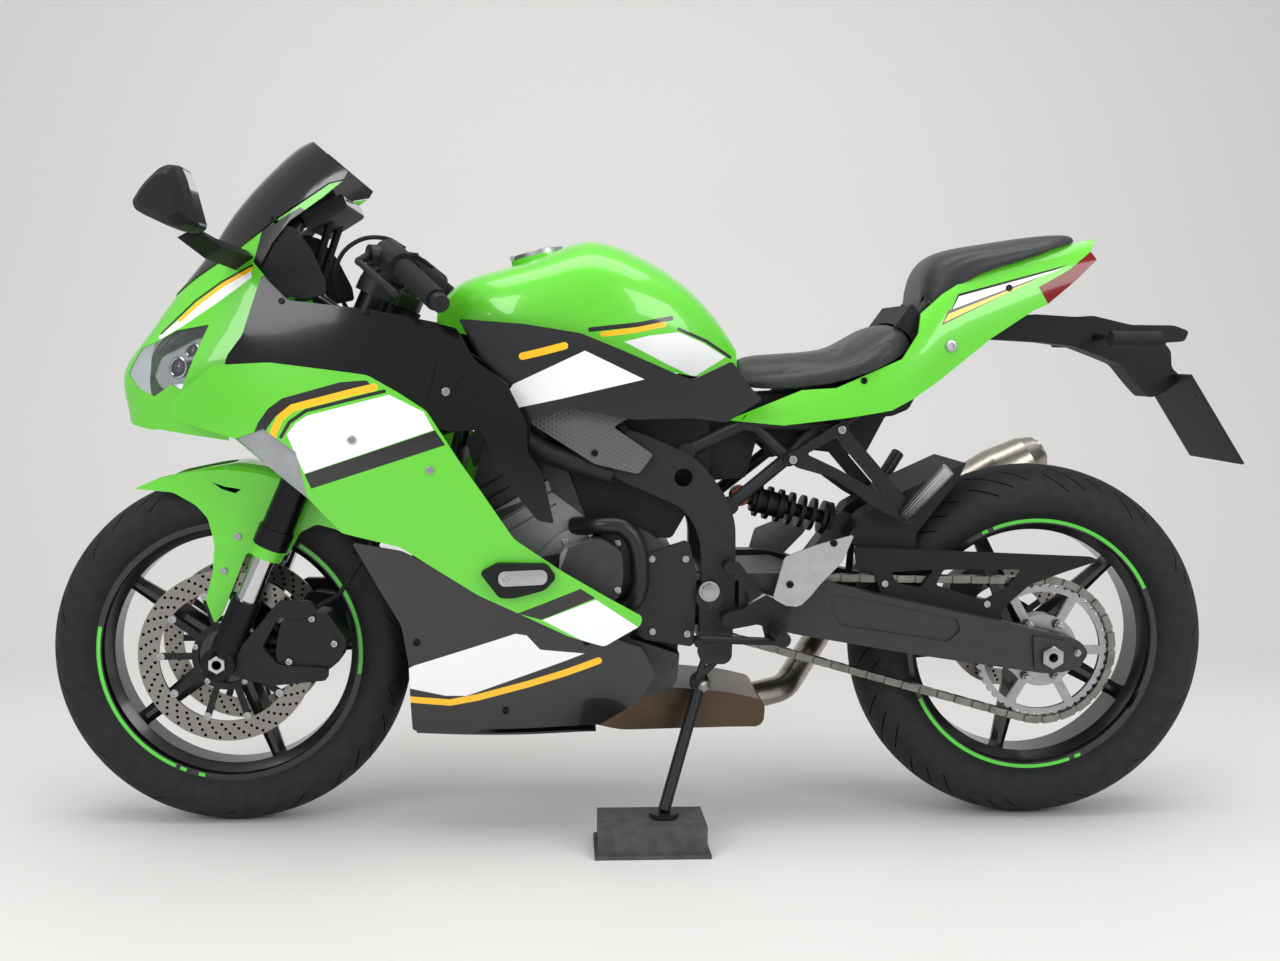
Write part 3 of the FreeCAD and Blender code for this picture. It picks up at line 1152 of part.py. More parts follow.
AIR_BOX_SHARES = (
    (0.325, 0.551), (0.362, 0.584), (0.435, 0.570), (0.507, 0.562), (0.580, 0.540), (0.584, 0.435),
    (0.559, 0.403), (0.538, 0.366), (0.500, 0.366), (0.464, 0.391), (0.435, 0.388), (0.406, 0.464),
    (0.373, 0.500), (0.335, 0.529),
)
AIR_BOX_HALF_WIDTH = 96.0


def air_box():
    """The dark intake box between the spars, over the cylinders and under the tank."""
    return prism(AIR_BOX_SHARES, -AIR_BOX_HALF_WIDTH, AIR_BOX_HALF_WIDTH, LEVER_RADIUS)


TRAY_FRONT_SHARES = (
    (0.580, 0.535), (0.681, 0.542), (0.746, 0.552), (0.754, 0.507), (0.754, 0.467), (0.681, 0.475),
    (0.655, 0.484), (0.641, 0.481), (0.630, 0.438), (0.588, 0.434), (0.584, 0.471),
)
TRAY_SHARES = (
    (0.725, 0.548), (0.746, 0.552), (0.786, 0.570), (0.803, 0.580), (0.803, 0.622), (0.824, 0.651),
    (0.833, 0.638), (0.846, 0.643), (0.849, 0.616), (0.855, 0.565), (0.833, 0.522), (0.812, 0.513),
    (0.804, 0.513), (0.781, 0.468), (0.754, 0.465), (0.725, 0.471),
)
TRAY_FRONT_HALF_WIDTH = 68.0
TRAY_HALF_WIDTH = 48.0
SEAT_STEP_SHARES = (
    (0.800, 0.594), (0.803, 0.622), (0.824, 0.651), (0.833, 0.638), (0.846, 0.643), (0.849, 0.616),
    (0.833, 0.594),
)
SEAT_STEP_HALF_WIDTH = 96.0


def under_tray():
    """The dark tray and battery box under the seats, with the step between them."""
    front = prism(TRAY_FRONT_SHARES, -TRAY_FRONT_HALF_WIDTH, TRAY_FRONT_HALF_WIDTH, LEVER_RADIUS)
    rear = prism(TRAY_SHARES, -TRAY_HALF_WIDTH, TRAY_HALF_WIDTH, LEVER_RADIUS)
    step = prism(SEAT_STEP_SHARES, -SEAT_STEP_HALF_WIDTH, SEAT_STEP_HALF_WIDTH, LEVER_RADIUS)
    return joined([front, rear, step]).cut(air_box())


# Bodywork

TANK_STATIONS_SHARES = (
    # place along, top, bottom, half width of the FAIRING_HALF_WIDTH
    (0.255, 0.638, 0.622, 0.24), (0.270, 0.661, 0.614, 0.34), (0.304, 0.680, 0.606, 0.53), (0.362, 0.697,
                                                                                            0.599, 0.64),
    (0.435, 0.722, 0.580, 0.67), (0.500, 0.704, 0.572, 0.62), (0.558, 0.667, 0.562, 0.50), (0.601, 0.620,
                                                                                            0.564, 0.36),
    (0.616, 0.596, 0.572, 0.30),
)
FILLER_PLACE_SHARE = 0.3768
FILLER_RADIUS = 42.0
FILLER_LIFT = 4.0
LID_WALL = 7.0
FILLER_TILT = 13.0


def filler_frame():
    """Where the filler sits: a point on the tank's top, with the tilt of the surface there."""
    x = WHEELBASE * FILLER_PLACE_SHARE
    return Vector(x, 0, WHEELBASE * FILLER_LEVEL_SHARE), Rotation(Vector(0, 1, 0), -FILLER_TILT)


FILLER_LEVEL_SHARE = 0.7022


def fuel_tank():
    """The tank: a smooth loft of arched sections, with the raised ring that the filler lid lies on."""
    sections = []
    for x, top, bottom, width in TANK_STATIONS_SHARES:
        sections.append(arch(WHEELBASE * x, FAIRING_HALF_WIDTH * width, WHEELBASE * top,
                             WHEELBASE * bottom))
    body = Part.makeLoft(sections, True, False)
    place, turn = filler_frame()
    seat = Part.makeCylinder(FILLER_RADIUS * 1.16, FILLER_RADIUS,
                             Vector(0, 0, -FILLER_RADIUS + FILLER_LIFT))
    seat.Placement = FreeCAD.Placement(place, turn)
    pocket = Part.makeCylinder(FILLER_RADIUS * 0.7, FILLER_RADIUS * 0.6,
                               Vector(0, 0, FILLER_LIFT - FILLER_RADIUS * 0.5))
    pocket.Placement = FreeCAD.Placement(place, turn)
    room = Part.makeCylinder(FILLER_RADIUS * 1.16, FILLER_RADIUS, Vector(0, 0, FILLER_LIFT))
    room.Placement = FreeCAD.Placement(place, turn)
    return joined([body.cut(room), seat]).cut(pocket)


def filler_lid():
    """The hinged filler lid, just above its ring, with a hinge barrel at the front and a lock boss."""
    place, turn = filler_frame()
    low = FILLER_LIFT + SEAT_GAP
    lid = Part.makeCylinder(FILLER_RADIUS, LID_WALL, Vector(0, 0, low))
    lock = Part.makeCylinder(FILLER_RADIUS * 0.3, LID_WALL * 0.5,
                             Vector(FILLER_RADIUS * 0.3, 0, low + LID_WALL))
    barrel = Part.makeCylinder(LID_WALL * 0.6, FILLER_RADIUS * 0.7,
                               Vector(-FILLER_RADIUS - LID_WALL * 0.4, -FILLER_RADIUS * 0.35,
                                      low + LID_WALL * 0.6),
                               Vector(0, 1, 0))
    body = joined([lid, lock, barrel])
    body.Placement = FreeCAD.Placement(place, turn)
    return body


SEAT_STATIONS_SHARES = (
    (0.606, 0.584, 0.548, 0.28), (0.630, 0.584, 0.545, 0.40), (0.681, 0.588, 0.545, 0.52), (0.746, 0.599,
                                                                                            0.557, 0.60),
    (0.786, 0.622, 0.572, 0.60), (0.810, 0.628, 0.584, 0.52), (0.825, 0.617, 0.597, 0.44),
)
PILLION_STATIONS_SHARES = (
    (0.839, 0.671, 0.642, 0.28), (0.858, 0.712, 0.650, 0.40), (0.891, 0.723, 0.674, 0.44), (0.935, 0.729,
                                                                                            0.693, 0.42),
    (0.993, 0.738, 0.712, 0.36), (1.033, 0.741, 0.723, 0.26),
)


def padded_loft(stations_shares):
    sections = []
    for x, top, bottom, width in stations_shares:
        sections.append(arch(WHEELBASE * x, FAIRING_HALF_WIDTH * width, WHEELBASE * top,
                             WHEELBASE * bottom))
    return Part.makeLoft(sections, True, False)


# The flanks of the fairing share one smooth half-width surface

FLANK_PLACES_SHARES = (-0.13, -0.07, 0.0, 0.07, 0.15, 0.26, 0.38, 0.48, 0.58)
FLANK_LEVELS_SHARES = (0.10, 0.18, 0.26, 0.35, 0.44, 0.52, 0.60, 0.68, 0.76)
FLANK_WIDTHS_SHARES = (
    (0.20, 0.25, 0.32, 0.40, 0.48, 0.54, 0.56, 0.54, 0.48),
    (0.26, 0.33, 0.44, 0.57, 0.70, 0.80, 0.83, 0.80, 0.72),
    (0.28, 0.38, 0.54, 0.70, 0.83, 0.92, 0.95, 0.91, 0.84),
    (0.28, 0.42, 0.62, 0.80, 0.91, 0.98, 1.00, 0.95, 0.88),
    (0.28, 0.46, 0.70, 0.88, 0.97, 1.00, 1.00, 0.95, 0.88),
    (0.28, 0.48, 0.74, 0.91, 0.98, 1.00, 0.98, 0.92, 0.84),
    (0.28, 0.48, 0.73, 0.88, 0.95, 0.97, 0.94, 0.86, 0.78),
    (0.26, 0.44, 0.66, 0.80, 0.88, 0.90, 0.85, 0.76, 0.68),
    (0.22, 0.36, 0.54, 0.68, 0.76, 0.78, 0.72, 0.62, 0.54),
)


def flank_face(inset):
    """The left flank as one smooth surface, moved in by the inset."""
    grid = []
    for j, place in enumerate(FLANK_PLACES_SHARES):
        column = []
        for i, level in enumerate(FLANK_LEVELS_SHARES):
            y = -FAIRING_HALF_WIDTH * FLANK_WIDTHS_SHARES[i][j] + inset
            column.append(Vector(WHEELBASE * place, y, WHEELBASE * level))
        grid.append(column)
    surface = Part.BSplineSurface()
    surface.interpolate(grid)
    return surface.toShape()


def flank_solid(inset):
    """The whole space between the two flanks."""
    half = flank_face(inset).extrude(Vector(0, FAIRING_HALF_WIDTH * 1.5, 0))
    left = Part.makeBox(WHEELBASE, FAIRING_HALF_WIDTH * 2, WHEELBASE,
                        Vector(-WHEELBASE / 4, -FAIRING_HALF_WIDTH * 2, 0))
    half = half.common(left)
    return half.fuse(mirrored(half))


def flank_panel(outline_shares, inset, wall, corner):
    """A panel of the left flank: the flank's surface given a wall and trimmed to a side outline."""
    slab = flank_face(inset).extrude(Vector(0, wall, 0))
    return slab.common(prism(outline_shares, -FAIRING_HALF_WIDTH * 1.2, 0, corner))


SIDE_COWL_SHARES = (
    (0.014, 0.570), (0.080, 0.574), (0.159, 0.565), (0.190, 0.561), (0.224, 0.542), (0.255, 0.522),
    (0.291, 0.466), (0.313, 0.435), (0.352, 0.378), (0.404, 0.342), (0.460, 0.308), (0.499, 0.286),
    (0.497, 0.275), (0.455, 0.251), (0.414, 0.264), (0.359, 0.291), (0.312, 0.313), (0.267, 0.341),
    (0.224, 0.368), (0.159, 0.383), (0.120, 0.424), (0.038, 0.488), (-0.010, 0.499), (-0.045, 0.509),
    (-0.043, 0.529),
)
CRASH_PAD_SHARES = (
    (0.314, 0.341), (0.333, 0.352), (0.389, 0.351), (0.400, 0.335), (0.387, 0.321), (0.353, 0.312),
    (0.336, 0.312),
)
CRASH_PAD_WALL = 30.0
LENS_SHARES = (
    (0.039, 0.488), (0.072, 0.500), (0.109, 0.475), (0.121, 0.422),
)
LENS_WALL = 16.0
DUCT_SHARES = (
    (0.070, 0.672), (0.100, 0.643), (0.149, 0.638), (0.191, 0.634), (0.239, 0.625), (0.288, 0.614),
    (0.307, 0.580), (0.346, 0.549), (0.366, 0.509), (0.367, 0.476), (0.383, 0.455), (0.390, 0.426),
    (0.397, 0.395), (0.378, 0.399), (0.346, 0.439), (0.315, 0.501), (0.279, 0.499), (0.246, 0.510),
    (0.220, 0.534), (0.186, 0.552), (0.157, 0.557), (0.080, 0.565), (0.025, 0.562), (0.029, 0.580),
    (0.048, 0.604),
)
DUCT_INSET = PANEL_WALL + SEAT_GAP
LOUVRE_SHARES = (
    (0.201, 0.582), (0.246, 0.580), (0.293, 0.569), (0.343, 0.552), (0.304, 0.530), (0.277, 0.538),
    (0.245, 0.540), (0.201, 0.562),
)
LOUVRE_COUNT = 3
LOWER_COWL_SHARES = (
    (0.168, 0.371), (0.194, 0.323), (0.222, 0.274), (0.229, 0.227), (0.229, 0.138), (0.298, 0.136),
    (0.315, 0.143), (0.452, 0.145), (0.500, 0.181), (0.517, 0.209), (0.499, 0.246), (0.435, 0.270),
    (0.362, 0.290), (0.312, 0.313), (0.267, 0.341), (0.224, 0.362),
)
LOWER_INSET = 12.0
BELLY_HEIGHT_SHARE = 0.129


def side_cowls():
    """The two large side panels, each with the recess round its crash pad and the vent's edge."""
    panel = flank_panel(SIDE_COWL_SHARES, 0, PANEL_WALL, LEVER_RADIUS)
    pad_room = prism(CRASH_PAD_SHARES, -FAIRING_HALF_WIDTH * 1.2, 0, LEVER_RADIUS)
    lens_room = prism(LENS_SHARES, -FAIRING_HALF_WIDTH * 1.2, 0, 0)
    return solids(both_sides([panel.cut([pad_room, lens_room])]))


def crash_pads():
    """The bump-stops in the side panels: a stem from the engine and a waisted block."""
    pad = flank_panel(CRASH_PAD_SHARES, -CRASH_PAD_WALL * 0.5, CRASH_PAD_WALL, LEVER_RADIUS)
    spot_x, spot_z = side(CRASH_STEM_SHARE)
    stem = ring_y(Vector(spot_x, 0, spot_z), (0, FRAME_TUBE_RADIUS * 0.7), -FAIRING_HALF_WIDTH * 0.95,
                  -CYLINDER_HALF_WIDTH)
    return solids(both_sides([joined([pad, stem])]))


CRASH_STEM_SHARE = (0.359, 0.332)


def indicators():
    """The lenses in the front vents."""
    lens = flank_panel(LENS_SHARES, LEVER_RADIUS * 0.4, LENS_WALL, 0)
    return solids(both_sides([lens]))


def upper_ducts():
    """The dark panels above the side cowls, with louvres ahead of the rider's knee."""
    panel = flank_panel(DUCT_SHARES, DUCT_INSET, PANEL_WALL, LEVER_RADIUS)
    ribs = []
    for i in range(LOUVRE_COUNT):
        step = i / LOUVRE_COUNT
        bar = []
        for u, w in ((step, 0.0), (step + 0.2, 0.0), (step + 0.2, 1.0), (step, 1.0)):
            top = [LOUVRE_SHARES[1][k] * (1 - u) + LOUVRE_SHARES[3][k] * u for k in (0, 1)]
            low = [LOUVRE_SHARES[6][k] * (1 - u) + LOUVRE_SHARES[4][k] * u for k in (0, 1)]
            bar.append((top[0] * (1 - w) + low[0] * w, top[1] * (1 - w) + low[1] * w))
        ribs.append(flank_panel(bar, DUCT_INSET - LEVER_RADIUS, LEVER_RADIUS * 1.4, 0))
    return solids(both_sides([joined([panel] + ribs)]))


def lower_cowl():
    """The belly: two flanks joined by a floor that is cut away at the rear."""
    panel = flank_panel(LOWER_COWL_SHARES, LOWER_INSET, PANEL_WALL, LEVER_RADIUS)
    level = WHEELBASE * BELLY_HEIGHT_SHARE
    front_x = side(LOWER_COWL_SHARES[4])[0]
    rear_x = side(LOWER_COWL_SHARES[7])[0]
    floor = flank_solid(LOWER_INSET).common(Part.makeBox(
        rear_x - front_x - LEVER_RADIUS * 2, 2 * FAIRING_HALF_WIDTH, PANEL_WALL,
        Vector(front_x + LEVER_RADIUS, -FAIRING_HALF_WIDTH, level + PANEL_WALL * 2)))
    return joined([panel, mirrored(panel), floor])


TANK_PANEL_SHARES = (
    (0.287, 0.625), (0.362, 0.620), (0.427, 0.610), (0.475, 0.591), (0.536, 0.565), (0.555, 0.558),
    (0.601, 0.580), (0.622, 0.551), (0.638, 0.536), (0.596, 0.509), (0.556, 0.514), (0.488, 0.512),
    (0.411, 0.525), (0.370, 0.509), (0.368, 0.476), (0.383, 0.455), (0.388, 0.428), (0.391, 0.406),
    (0.378, 0.406), (0.348, 0.443), (0.316, 0.505), (0.346, 0.551), (0.312, 0.580),
)
TANK_PANEL_PLACE_SHARE = 0.70
TANK_PANEL_SWELL_SHARE = 0.10
FRAME_COVER_SHARES = (
    (0.364, 0.509), (0.410, 0.525), (0.493, 0.519), (0.465, 0.502), (0.512, 0.470), (0.495, 0.447),
    (0.443, 0.459),
)
FRAME_COVER_WALL = 12.0


def bowed_slab(outline_shares, place, swell, wall, corner):
    """A panel beside the tank or frame: a slab that bows outwards between its front and its rear."""
    points = [side(point) for point in outline_shares]
    low_x = min(x for x, z in points) - OVERRUN
    high_x = max(x for x, z in points) + OVERRUN
    low_z = min(z for x, z in points) - OVERRUN
    high_z = max(z for x, z in points) + OVERRUN
    middle = (low_x + high_x) / 2
    arc = Part.Arc(Vector(low_x, -place, low_z), Vector(middle, -place - swell, low_z),
                   Vector(high_x, -place, low_z)).toShape()
    face = arc.extrude(Vector(0, 0, high_z - low_z))
    slab = face.extrude(Vector(0, wall, 0))
    return slab.common(prism(outline_shares, -place - swell - OVERRUN, 0, corner))


def tank_side_panels():
    place = FAIRING_HALF_WIDTH * TANK_PANEL_PLACE_SHARE
    panel = bowed_slab(TANK_PANEL_SHARES, place, FAIRING_HALF_WIDTH * TANK_PANEL_SWELL_SHARE, PANEL_WALL,
                       LEVER_RADIUS)
    x, z = side(TANK_PANEL_BOSS_SHARE)
    foot = -place - FAIRING_HALF_WIDTH * TANK_PANEL_SWELL_SHARE * 0.6
    boss = ring_y(Vector(x, 0, z), (0, LEVER_RADIUS * 1.6), foot, -SPAR_SPREAD)
    return solids(both_sides([joined([panel, boss])]))


TANK_PANEL_BOSS_SHARE = (0.359, 0.533)


def frame_covers():
    place = FRAME_HALF_WIDTH + SEAT_GAP + FRAME_COVER_WALL
    cover = bowed_slab(FRAME_COVER_SHARES, place, LEVER_RADIUS, FRAME_COVER_WALL, LEVER_RADIUS)
    return solids(both_sides([cover]))


# Nose: plan-view sections from the chin to the screen's top edge

NOSE_LEVELS_SHARES = (
    # level, tip, half width at the rear station
    (0.472, -0.098, 0.70), (0.500, -0.119, 0.76), (0.529, -0.123, 0.80), (0.559, -0.123, 0.82), (0.599,
                                                                                                 -0.097, 0.80), (0.643, -0.065, 0.74),
    (0.700, -0.019, 0.68), (0.742, 0.009, 0.66), (0.781, 0.042, 0.66), (0.813, 0.075, 0.64), (0.830, 0.100,
                                                                                              0.62),
)
NOSE_REAR_SHARE = 0.19
NOSE_WALL = 4.0
NOSE_BLUNTNESS = 0.40
UPPER_COWL_SHARES = (
    (-0.130, 0.562), (-0.101, 0.603), (-0.069, 0.646), (-0.020, 0.675), (0.024, 0.701), (0.078, 0.739),
    (0.139, 0.777), (0.154, 0.780), (0.132, 0.763), (0.091, 0.736), (0.070, 0.710), (0.055, 0.681),
    (0.089, 0.648), (0.042, 0.604), (0.026, 0.586), (0.020, 0.570), (-0.036, 0.538), (-0.029, 0.513),
    (0.017, 0.497), (0.017, 0.482), (-0.070, 0.493), (-0.080, 0.492), (-0.109, 0.497), (-0.122, 0.507),
    (-0.128, 0.533),
)
SCREEN_SHARES = (
    (-0.072, 0.643), (-0.020, 0.677), (0.024, 0.702), (0.078, 0.741), (0.138, 0.778), (0.156, 0.782),
    (0.161, 0.791), (0.101, 0.841), (0.065, 0.841), (-0.043, 0.710),
)
HEADLAMP_SHARES = (
    (-0.109, 0.558), (-0.093, 0.588), (-0.070, 0.596), (-0.045, 0.609), (-0.003, 0.616), (-0.013, 0.593),
    (-0.036, 0.540), (-0.049, 0.546), (-0.072, 0.532), (-0.093, 0.540),
)
HEADLAMP_INNER_SHARE = 0.16
LAMP_DEPTH = 40.0


def nose_loft(inset):
    """The nose and screen as one solid: rounded plan sections, moved in by the inset all round."""
    sections = []
    rear = WHEELBASE * NOSE_REAR_SHARE
    for level, tip, width in NOSE_LEVELS_SHARES:
        front = WHEELBASE * tip + inset * 1.3
        half = FAIRING_HALF_WIDTH * width - inset
        points = []
        for share in (-1.0, -0.7, -0.42, -0.2, 0.0, 0.2, 0.42, 0.7, 1.0):
            reach = abs(share)
            along = front + (rear - front) * reach ** (1 / NOSE_BLUNTNESS)
            points.append(Vector(along, half * share, WHEELBASE * level))
        sections.append(smooth_loop(points))
    return Part.makeLoft(sections, True, False)


def nose_half_width(x, z):
    """The nose's half width at a place of the side view, between its plan sections."""
    level = z / WHEELBASE
    rear = WHEELBASE * NOSE_REAR_SHARE
    for low, high in zip(NOSE_LEVELS_SHARES, NOSE_LEVELS_SHARES[1:]):
        if low[0] <= level <= high[0]:
            mix = (level - low[0]) / (high[0] - low[0])
            tip = WHEELBASE * (low[1] * (1 - mix) + high[1] * mix)
            half = FAIRING_HALF_WIDTH * (low[2] * (1 - mix) + high[2] * mix)
            return half * max((x - tip) / (rear - tip), 0.0) ** NOSE_BLUNTNESS
    return 0.0


def nose_shell(wall, lift):
    return nose_loft(-lift).cut(nose_loft(wall - lift))


def upper_cowl():
    """The nose fairing with its two lamp openings."""
    shell = nose_shell(NOSE_WALL, 0)
    cowl = shell.common(prism(UPPER_COWL_SHARES, -FAIRING_HALF_WIDTH, FAIRING_HALF_WIDTH, 0))
    inner = FAIRING_HALF_WIDTH * HEADLAMP_INNER_SHARE
    rooms = both_sides([prism(HEADLAMP_SHARES, -FAIRING_HALF_WIDTH, -inner, 0)])
    return cowl.cut(rooms)


def headlamps():
    """The lamps: blocks behind the nose's openings that follow its surface."""
    body = nose_loft(NOSE_WALL * 0.5).cut(nose_loft(LAMP_DEPTH))
    inner = FAIRING_HALF_WIDTH * HEADLAMP_INNER_SHARE
    lamp = body.common(prism(HEADLAMP_SHARES, -FAIRING_HALF_WIDTH, -inner, 0))
    return solids(both_sides([lamp]))


def windscreen():
    shell = nose_shell(NOSE_WALL * 0.8, NOSE_WALL * 0.5)
    return shell.common(prism(SCREEN_SHARES, -FAIRING_HALF_WIDTH, FAIRING_HALF_WIDTH, 0))


INNER_PANEL_SHARES = (
    (0.045, 0.684), (0.059, 0.707), (0.078, 0.733), (0.097, 0.728), (0.116, 0.704), (0.133, 0.668),
    (0.135, 0.652), (0.109, 0.646), (0.089, 0.649), (0.065, 0.670),
)
INNER_PANEL_WALL = 3.0


def inner_panels():
    """The dark panels inside the nose, one on each side of the dash."""
    shell = nose_loft(NOSE_WALL + SEAT_GAP).cut(nose_loft(NOSE_WALL + SEAT_GAP + INNER_PANEL_WALL))
    panel = shell.common(prism(INNER_PANEL_SHARES, -FAIRING_HALF_WIDTH, -FAIRING_HALF_WIDTH * 0.2,
                               LEVER_RADIUS))
    return solids(both_sides([panel]))


# Tail

TAIL_STATIONS_SHARES = (
    (0.580, 0.558, 0.478, 0.44), (0.652, 0.572, 0.478, 0.54), (0.732, 0.601, 0.486, 0.60), (0.797, 0.638,
                                                                                            0.500, 0.60),
    (0.855, 0.696, 0.529, 0.54), (0.913, 0.717, 0.572, 0.47), (0.978, 0.732, 0.616, 0.40), (1.043, 0.739,
                                                                                            0.659, 0.32),
    (1.080, 0.742, 0.688, 0.26),
)
TAIL_SHARES = (
    (0.603, 0.509), (0.690, 0.546), (0.730, 0.549), (0.808, 0.584), (0.828, 0.614), (0.833, 0.638),
    (0.860, 0.662), (0.870, 0.668), (0.914, 0.696), (1.032, 0.727), (1.062, 0.734), (1.051, 0.717),
    (1.019, 0.693), (0.980, 0.672), (0.993, 0.652), (0.973, 0.643), (0.921, 0.610), (0.857, 0.560),
    (0.823, 0.537), (0.796, 0.523), (0.744, 0.514), (0.668, 0.504),
)
TAIL_LIGHT_SHARES = (
    (1.051, 0.717), (1.019, 0.693), (0.980, 0.672), (0.993, 0.652), (1.028, 0.680), (1.058, 0.707),
)


def tail_loft(inset):
    sections = []
    for x, top, bottom, width in TAIL_STATIONS_SHARES:
        sections.append(arch(WHEELBASE * x, FAIRING_HALF_WIDTH * width - inset, WHEELBASE * top - inset,
                             WHEELBASE * bottom - OVERRUN))
    return Part.makeLoft(sections, True, False)


def tail_cowl():
    """The seat cowl's two sides, as a thin shell of the tail's loft."""
    shell = tail_loft(0).cut(tail_loft(PANEL_WALL))
    reach = FAIRING_HALF_WIDTH
    cowl = shell.common(prism(TAIL_SHARES, -reach, reach, 0))
    return cowl


def tail_light():
    """The lamp that closes the tail's end, between the two sides of the cowl."""
    return tail_loft(0).common(prism(TAIL_LIGHT_SHARES, -FAIRING_HALF_WIDTH, FAIRING_HALF_WIDTH, 0))


# Plate hanger, mirrors, dash and pegs

HANGER_SHARES = (
    (0.890, 0.607), (0.899, 0.625), (0.935, 0.620), (0.991, 0.641), (1.049, 0.638), (1.067, 0.640),
    (1.117, 0.629), (1.172, 0.629), (1.192, 0.622), (1.187, 0.609), (1.161, 0.607), (1.170, 0.597),
    (1.172, 0.576), (1.188, 0.562), (1.158, 0.541), (1.144, 0.538), (1.128, 0.554), (1.106, 0.579),
    (1.083, 0.588), (1.047, 0.601), (1.007, 0.606), (0.943, 0.609),
)
HANGER_HALF_WIDTH = 26.0
PLATE_ENDS_SHARES = (
    (1.172, 0.567), (1.245, 0.458),
)
PLATE_WALL = 4.0
PLATE_HALF_WIDTH = 92.0
REAR_LAMP_SHARE = (1.091, 0.610)
REAR_LAMP_LENGTH = 85.0
REAR_LAMP_PLACE = 124.0
REAR_LAMP_RADIUS = 13.5


def plate_bolts():
    """The two bolt holes of the number plate: their middles and the way that the bolts leave."""
    top_x, top_z = side(PLATE_ENDS_SHARES[0])
    low_x, low_z = side(PLATE_ENDS_SHARES[1])
    along = Vector(low_x - top_x, 0, low_z - top_z).normalize()
    out = Vector(-along.z, 0, along.x)
    middle = Vector(top_x, 0, top_z) + along * PLATE_BOLT_SPAN * 0.3 + out * PLATE_WALL * 0.5
    return [(middle + Vector(0, way * PLATE_BOLT_SPAN / 2, 0), out) for way in (-1, 1)]


def plate_hanger():
    """The hanger under the tail, its blank plate board and the two rear turn lamps on stalks."""
    arm = prism(HANGER_SHARES, -HANGER_HALF_WIDTH, HANGER_HALF_WIDTH, LEVER_RADIUS)
    top_x, top_z = side(PLATE_ENDS_SHARES[0])
    low_x, low_z = side(PLATE_ENDS_SHARES[1])
    along = Vector(low_x - top_x, 0, low_z - top_z).normalize()
    out = Vector(-along.z, 0, along.x)
    out = out * (-1 if out.x < 0 else 1)
    points = []
    for x, z in ((top_x, top_z), (low_x, low_z)):
        points.append(Vector(x, -PLATE_HALF_WIDTH, z))
    points += [points[1] + out * PLATE_WALL, points[0] + out * PLATE_WALL]
    plate = Part.Face(Part.makePolygon(points + [points[0]])).extrude(Vector(0, 2 * PLATE_HALF_WIDTH, 0))
    stalk_x, stalk_z = side(REAR_LAMP_SHARE)
    pieces = [arm, plate]
    for way in (-1, 1):
        stalk = cylinder_between(Vector(stalk_x - REAR_LAMP_LENGTH * 0.3, 0, stalk_z + LEVER_RADIUS),
                                 Vector(stalk_x - REAR_LAMP_LENGTH * 0.3, way * REAR_LAMP_PLACE,
                                        stalk_z), LEVER_RADIUS)
        lamp = cylinder_between(Vector(stalk_x - REAR_LAMP_LENGTH / 2, way * REAR_LAMP_PLACE, stalk_z),
                                Vector(stalk_x + REAR_LAMP_LENGTH / 2, way * REAR_LAMP_PLACE,
                                       stalk_z), REAR_LAMP_RADIUS)
        pieces += [stalk, lamp]
    holes = []
    for middle, out in plate_bolts():
        holes.append(cylinder_between(middle - out * PLATE_WALL, middle + out * PLATE_WALL,
                                      PLATE_BOLT_RADIUS))
    return joined(pieces).cut(holes)


DASH_SHARES = (
    (0.109, 0.725), (0.155, 0.754), (0.149, 0.770), (0.101, 0.746),
)
DASH_HALF_WIDTH = 86.0
DASH_STAY_SHARES = (
    (0.132, 0.749), (0.101, 0.656), (0.178, 0.603),
)
DASH_STAY_PLACES_SHARES = (0.5, 0.42, 0.24)


def instrument_panel():
    """The dash on the fairing's stay, which runs from the head tube and holds the nose by a cross tube."""
    dash = prism(DASH_SHARES, -DASH_HALF_WIDTH, DASH_HALF_WIDTH, LEVER_RADIUS)
    stays = []
    for way in (-1, 1):
        path = []
        for (x, z), place in zip([side(point) for point in DASH_STAY_SHARES], DASH_STAY_PLACES_SHARES):
            path.append(Vector(x, way * DASH_HALF_WIDTH * place, z))
        stays.append(pipe(path, LEVER_RADIUS, WHEELBASE * 0.02))
        seat_x, seat_z = side(COWL_SEAT_SHARE)
        reach = nose_half_width(seat_x, seat_z) - NOSE_WALL * 0.5
        stays.append(cylinder_between(path[1], Vector(seat_x, way * reach, seat_z), LEVER_RADIUS))
    return joined([dash] + stays)


COWL_SEAT_SHARE = (0.065, 0.652)


MIRROR_HEAD_SHARES = (
    (0.016, 0.776), (0.003, 0.772), (-0.016, 0.754), (-0.028, 0.735), (-0.025, 0.726), (0.003, 0.713),
    (0.020, 0.707), (0.034, 0.713), (0.029, 0.733), (0.022, 0.762),
)
MIRROR_INNER_SPAN = 236.0
MIRROR_SECTIONS_SHARES = ((0.0, 0.45), (0.1, 0.78), (0.3, 0.97), (0.6, 1.0), (0.85, 0.92), (1.0, 0.62))
STALK_HEAD_SHARES = (
    (-0.003, 0.706), (0.017, 0.717), (0.025, 0.710), (0.006, 0.699),
)
STALK_MIDDLE_SHARES = (
    (0.006, 0.697), (0.026, 0.709), (0.033, 0.699), (0.014, 0.687),
)
STALK_BASE_SHARES = (
    (0.017, 0.687), (0.042, 0.701), (0.052, 0.693), (0.028, 0.678),
)
STALK_PLACES = (262.0, 206.0, 74.0)


def cross_loop(points_shares, place):
    """A closed side-view outline at one lateral place."""
    ring = [Vector(side(point)[0], -place, side(point)[1]) for point in points_shares]
    return Part.makePolygon(ring + [ring[0]])


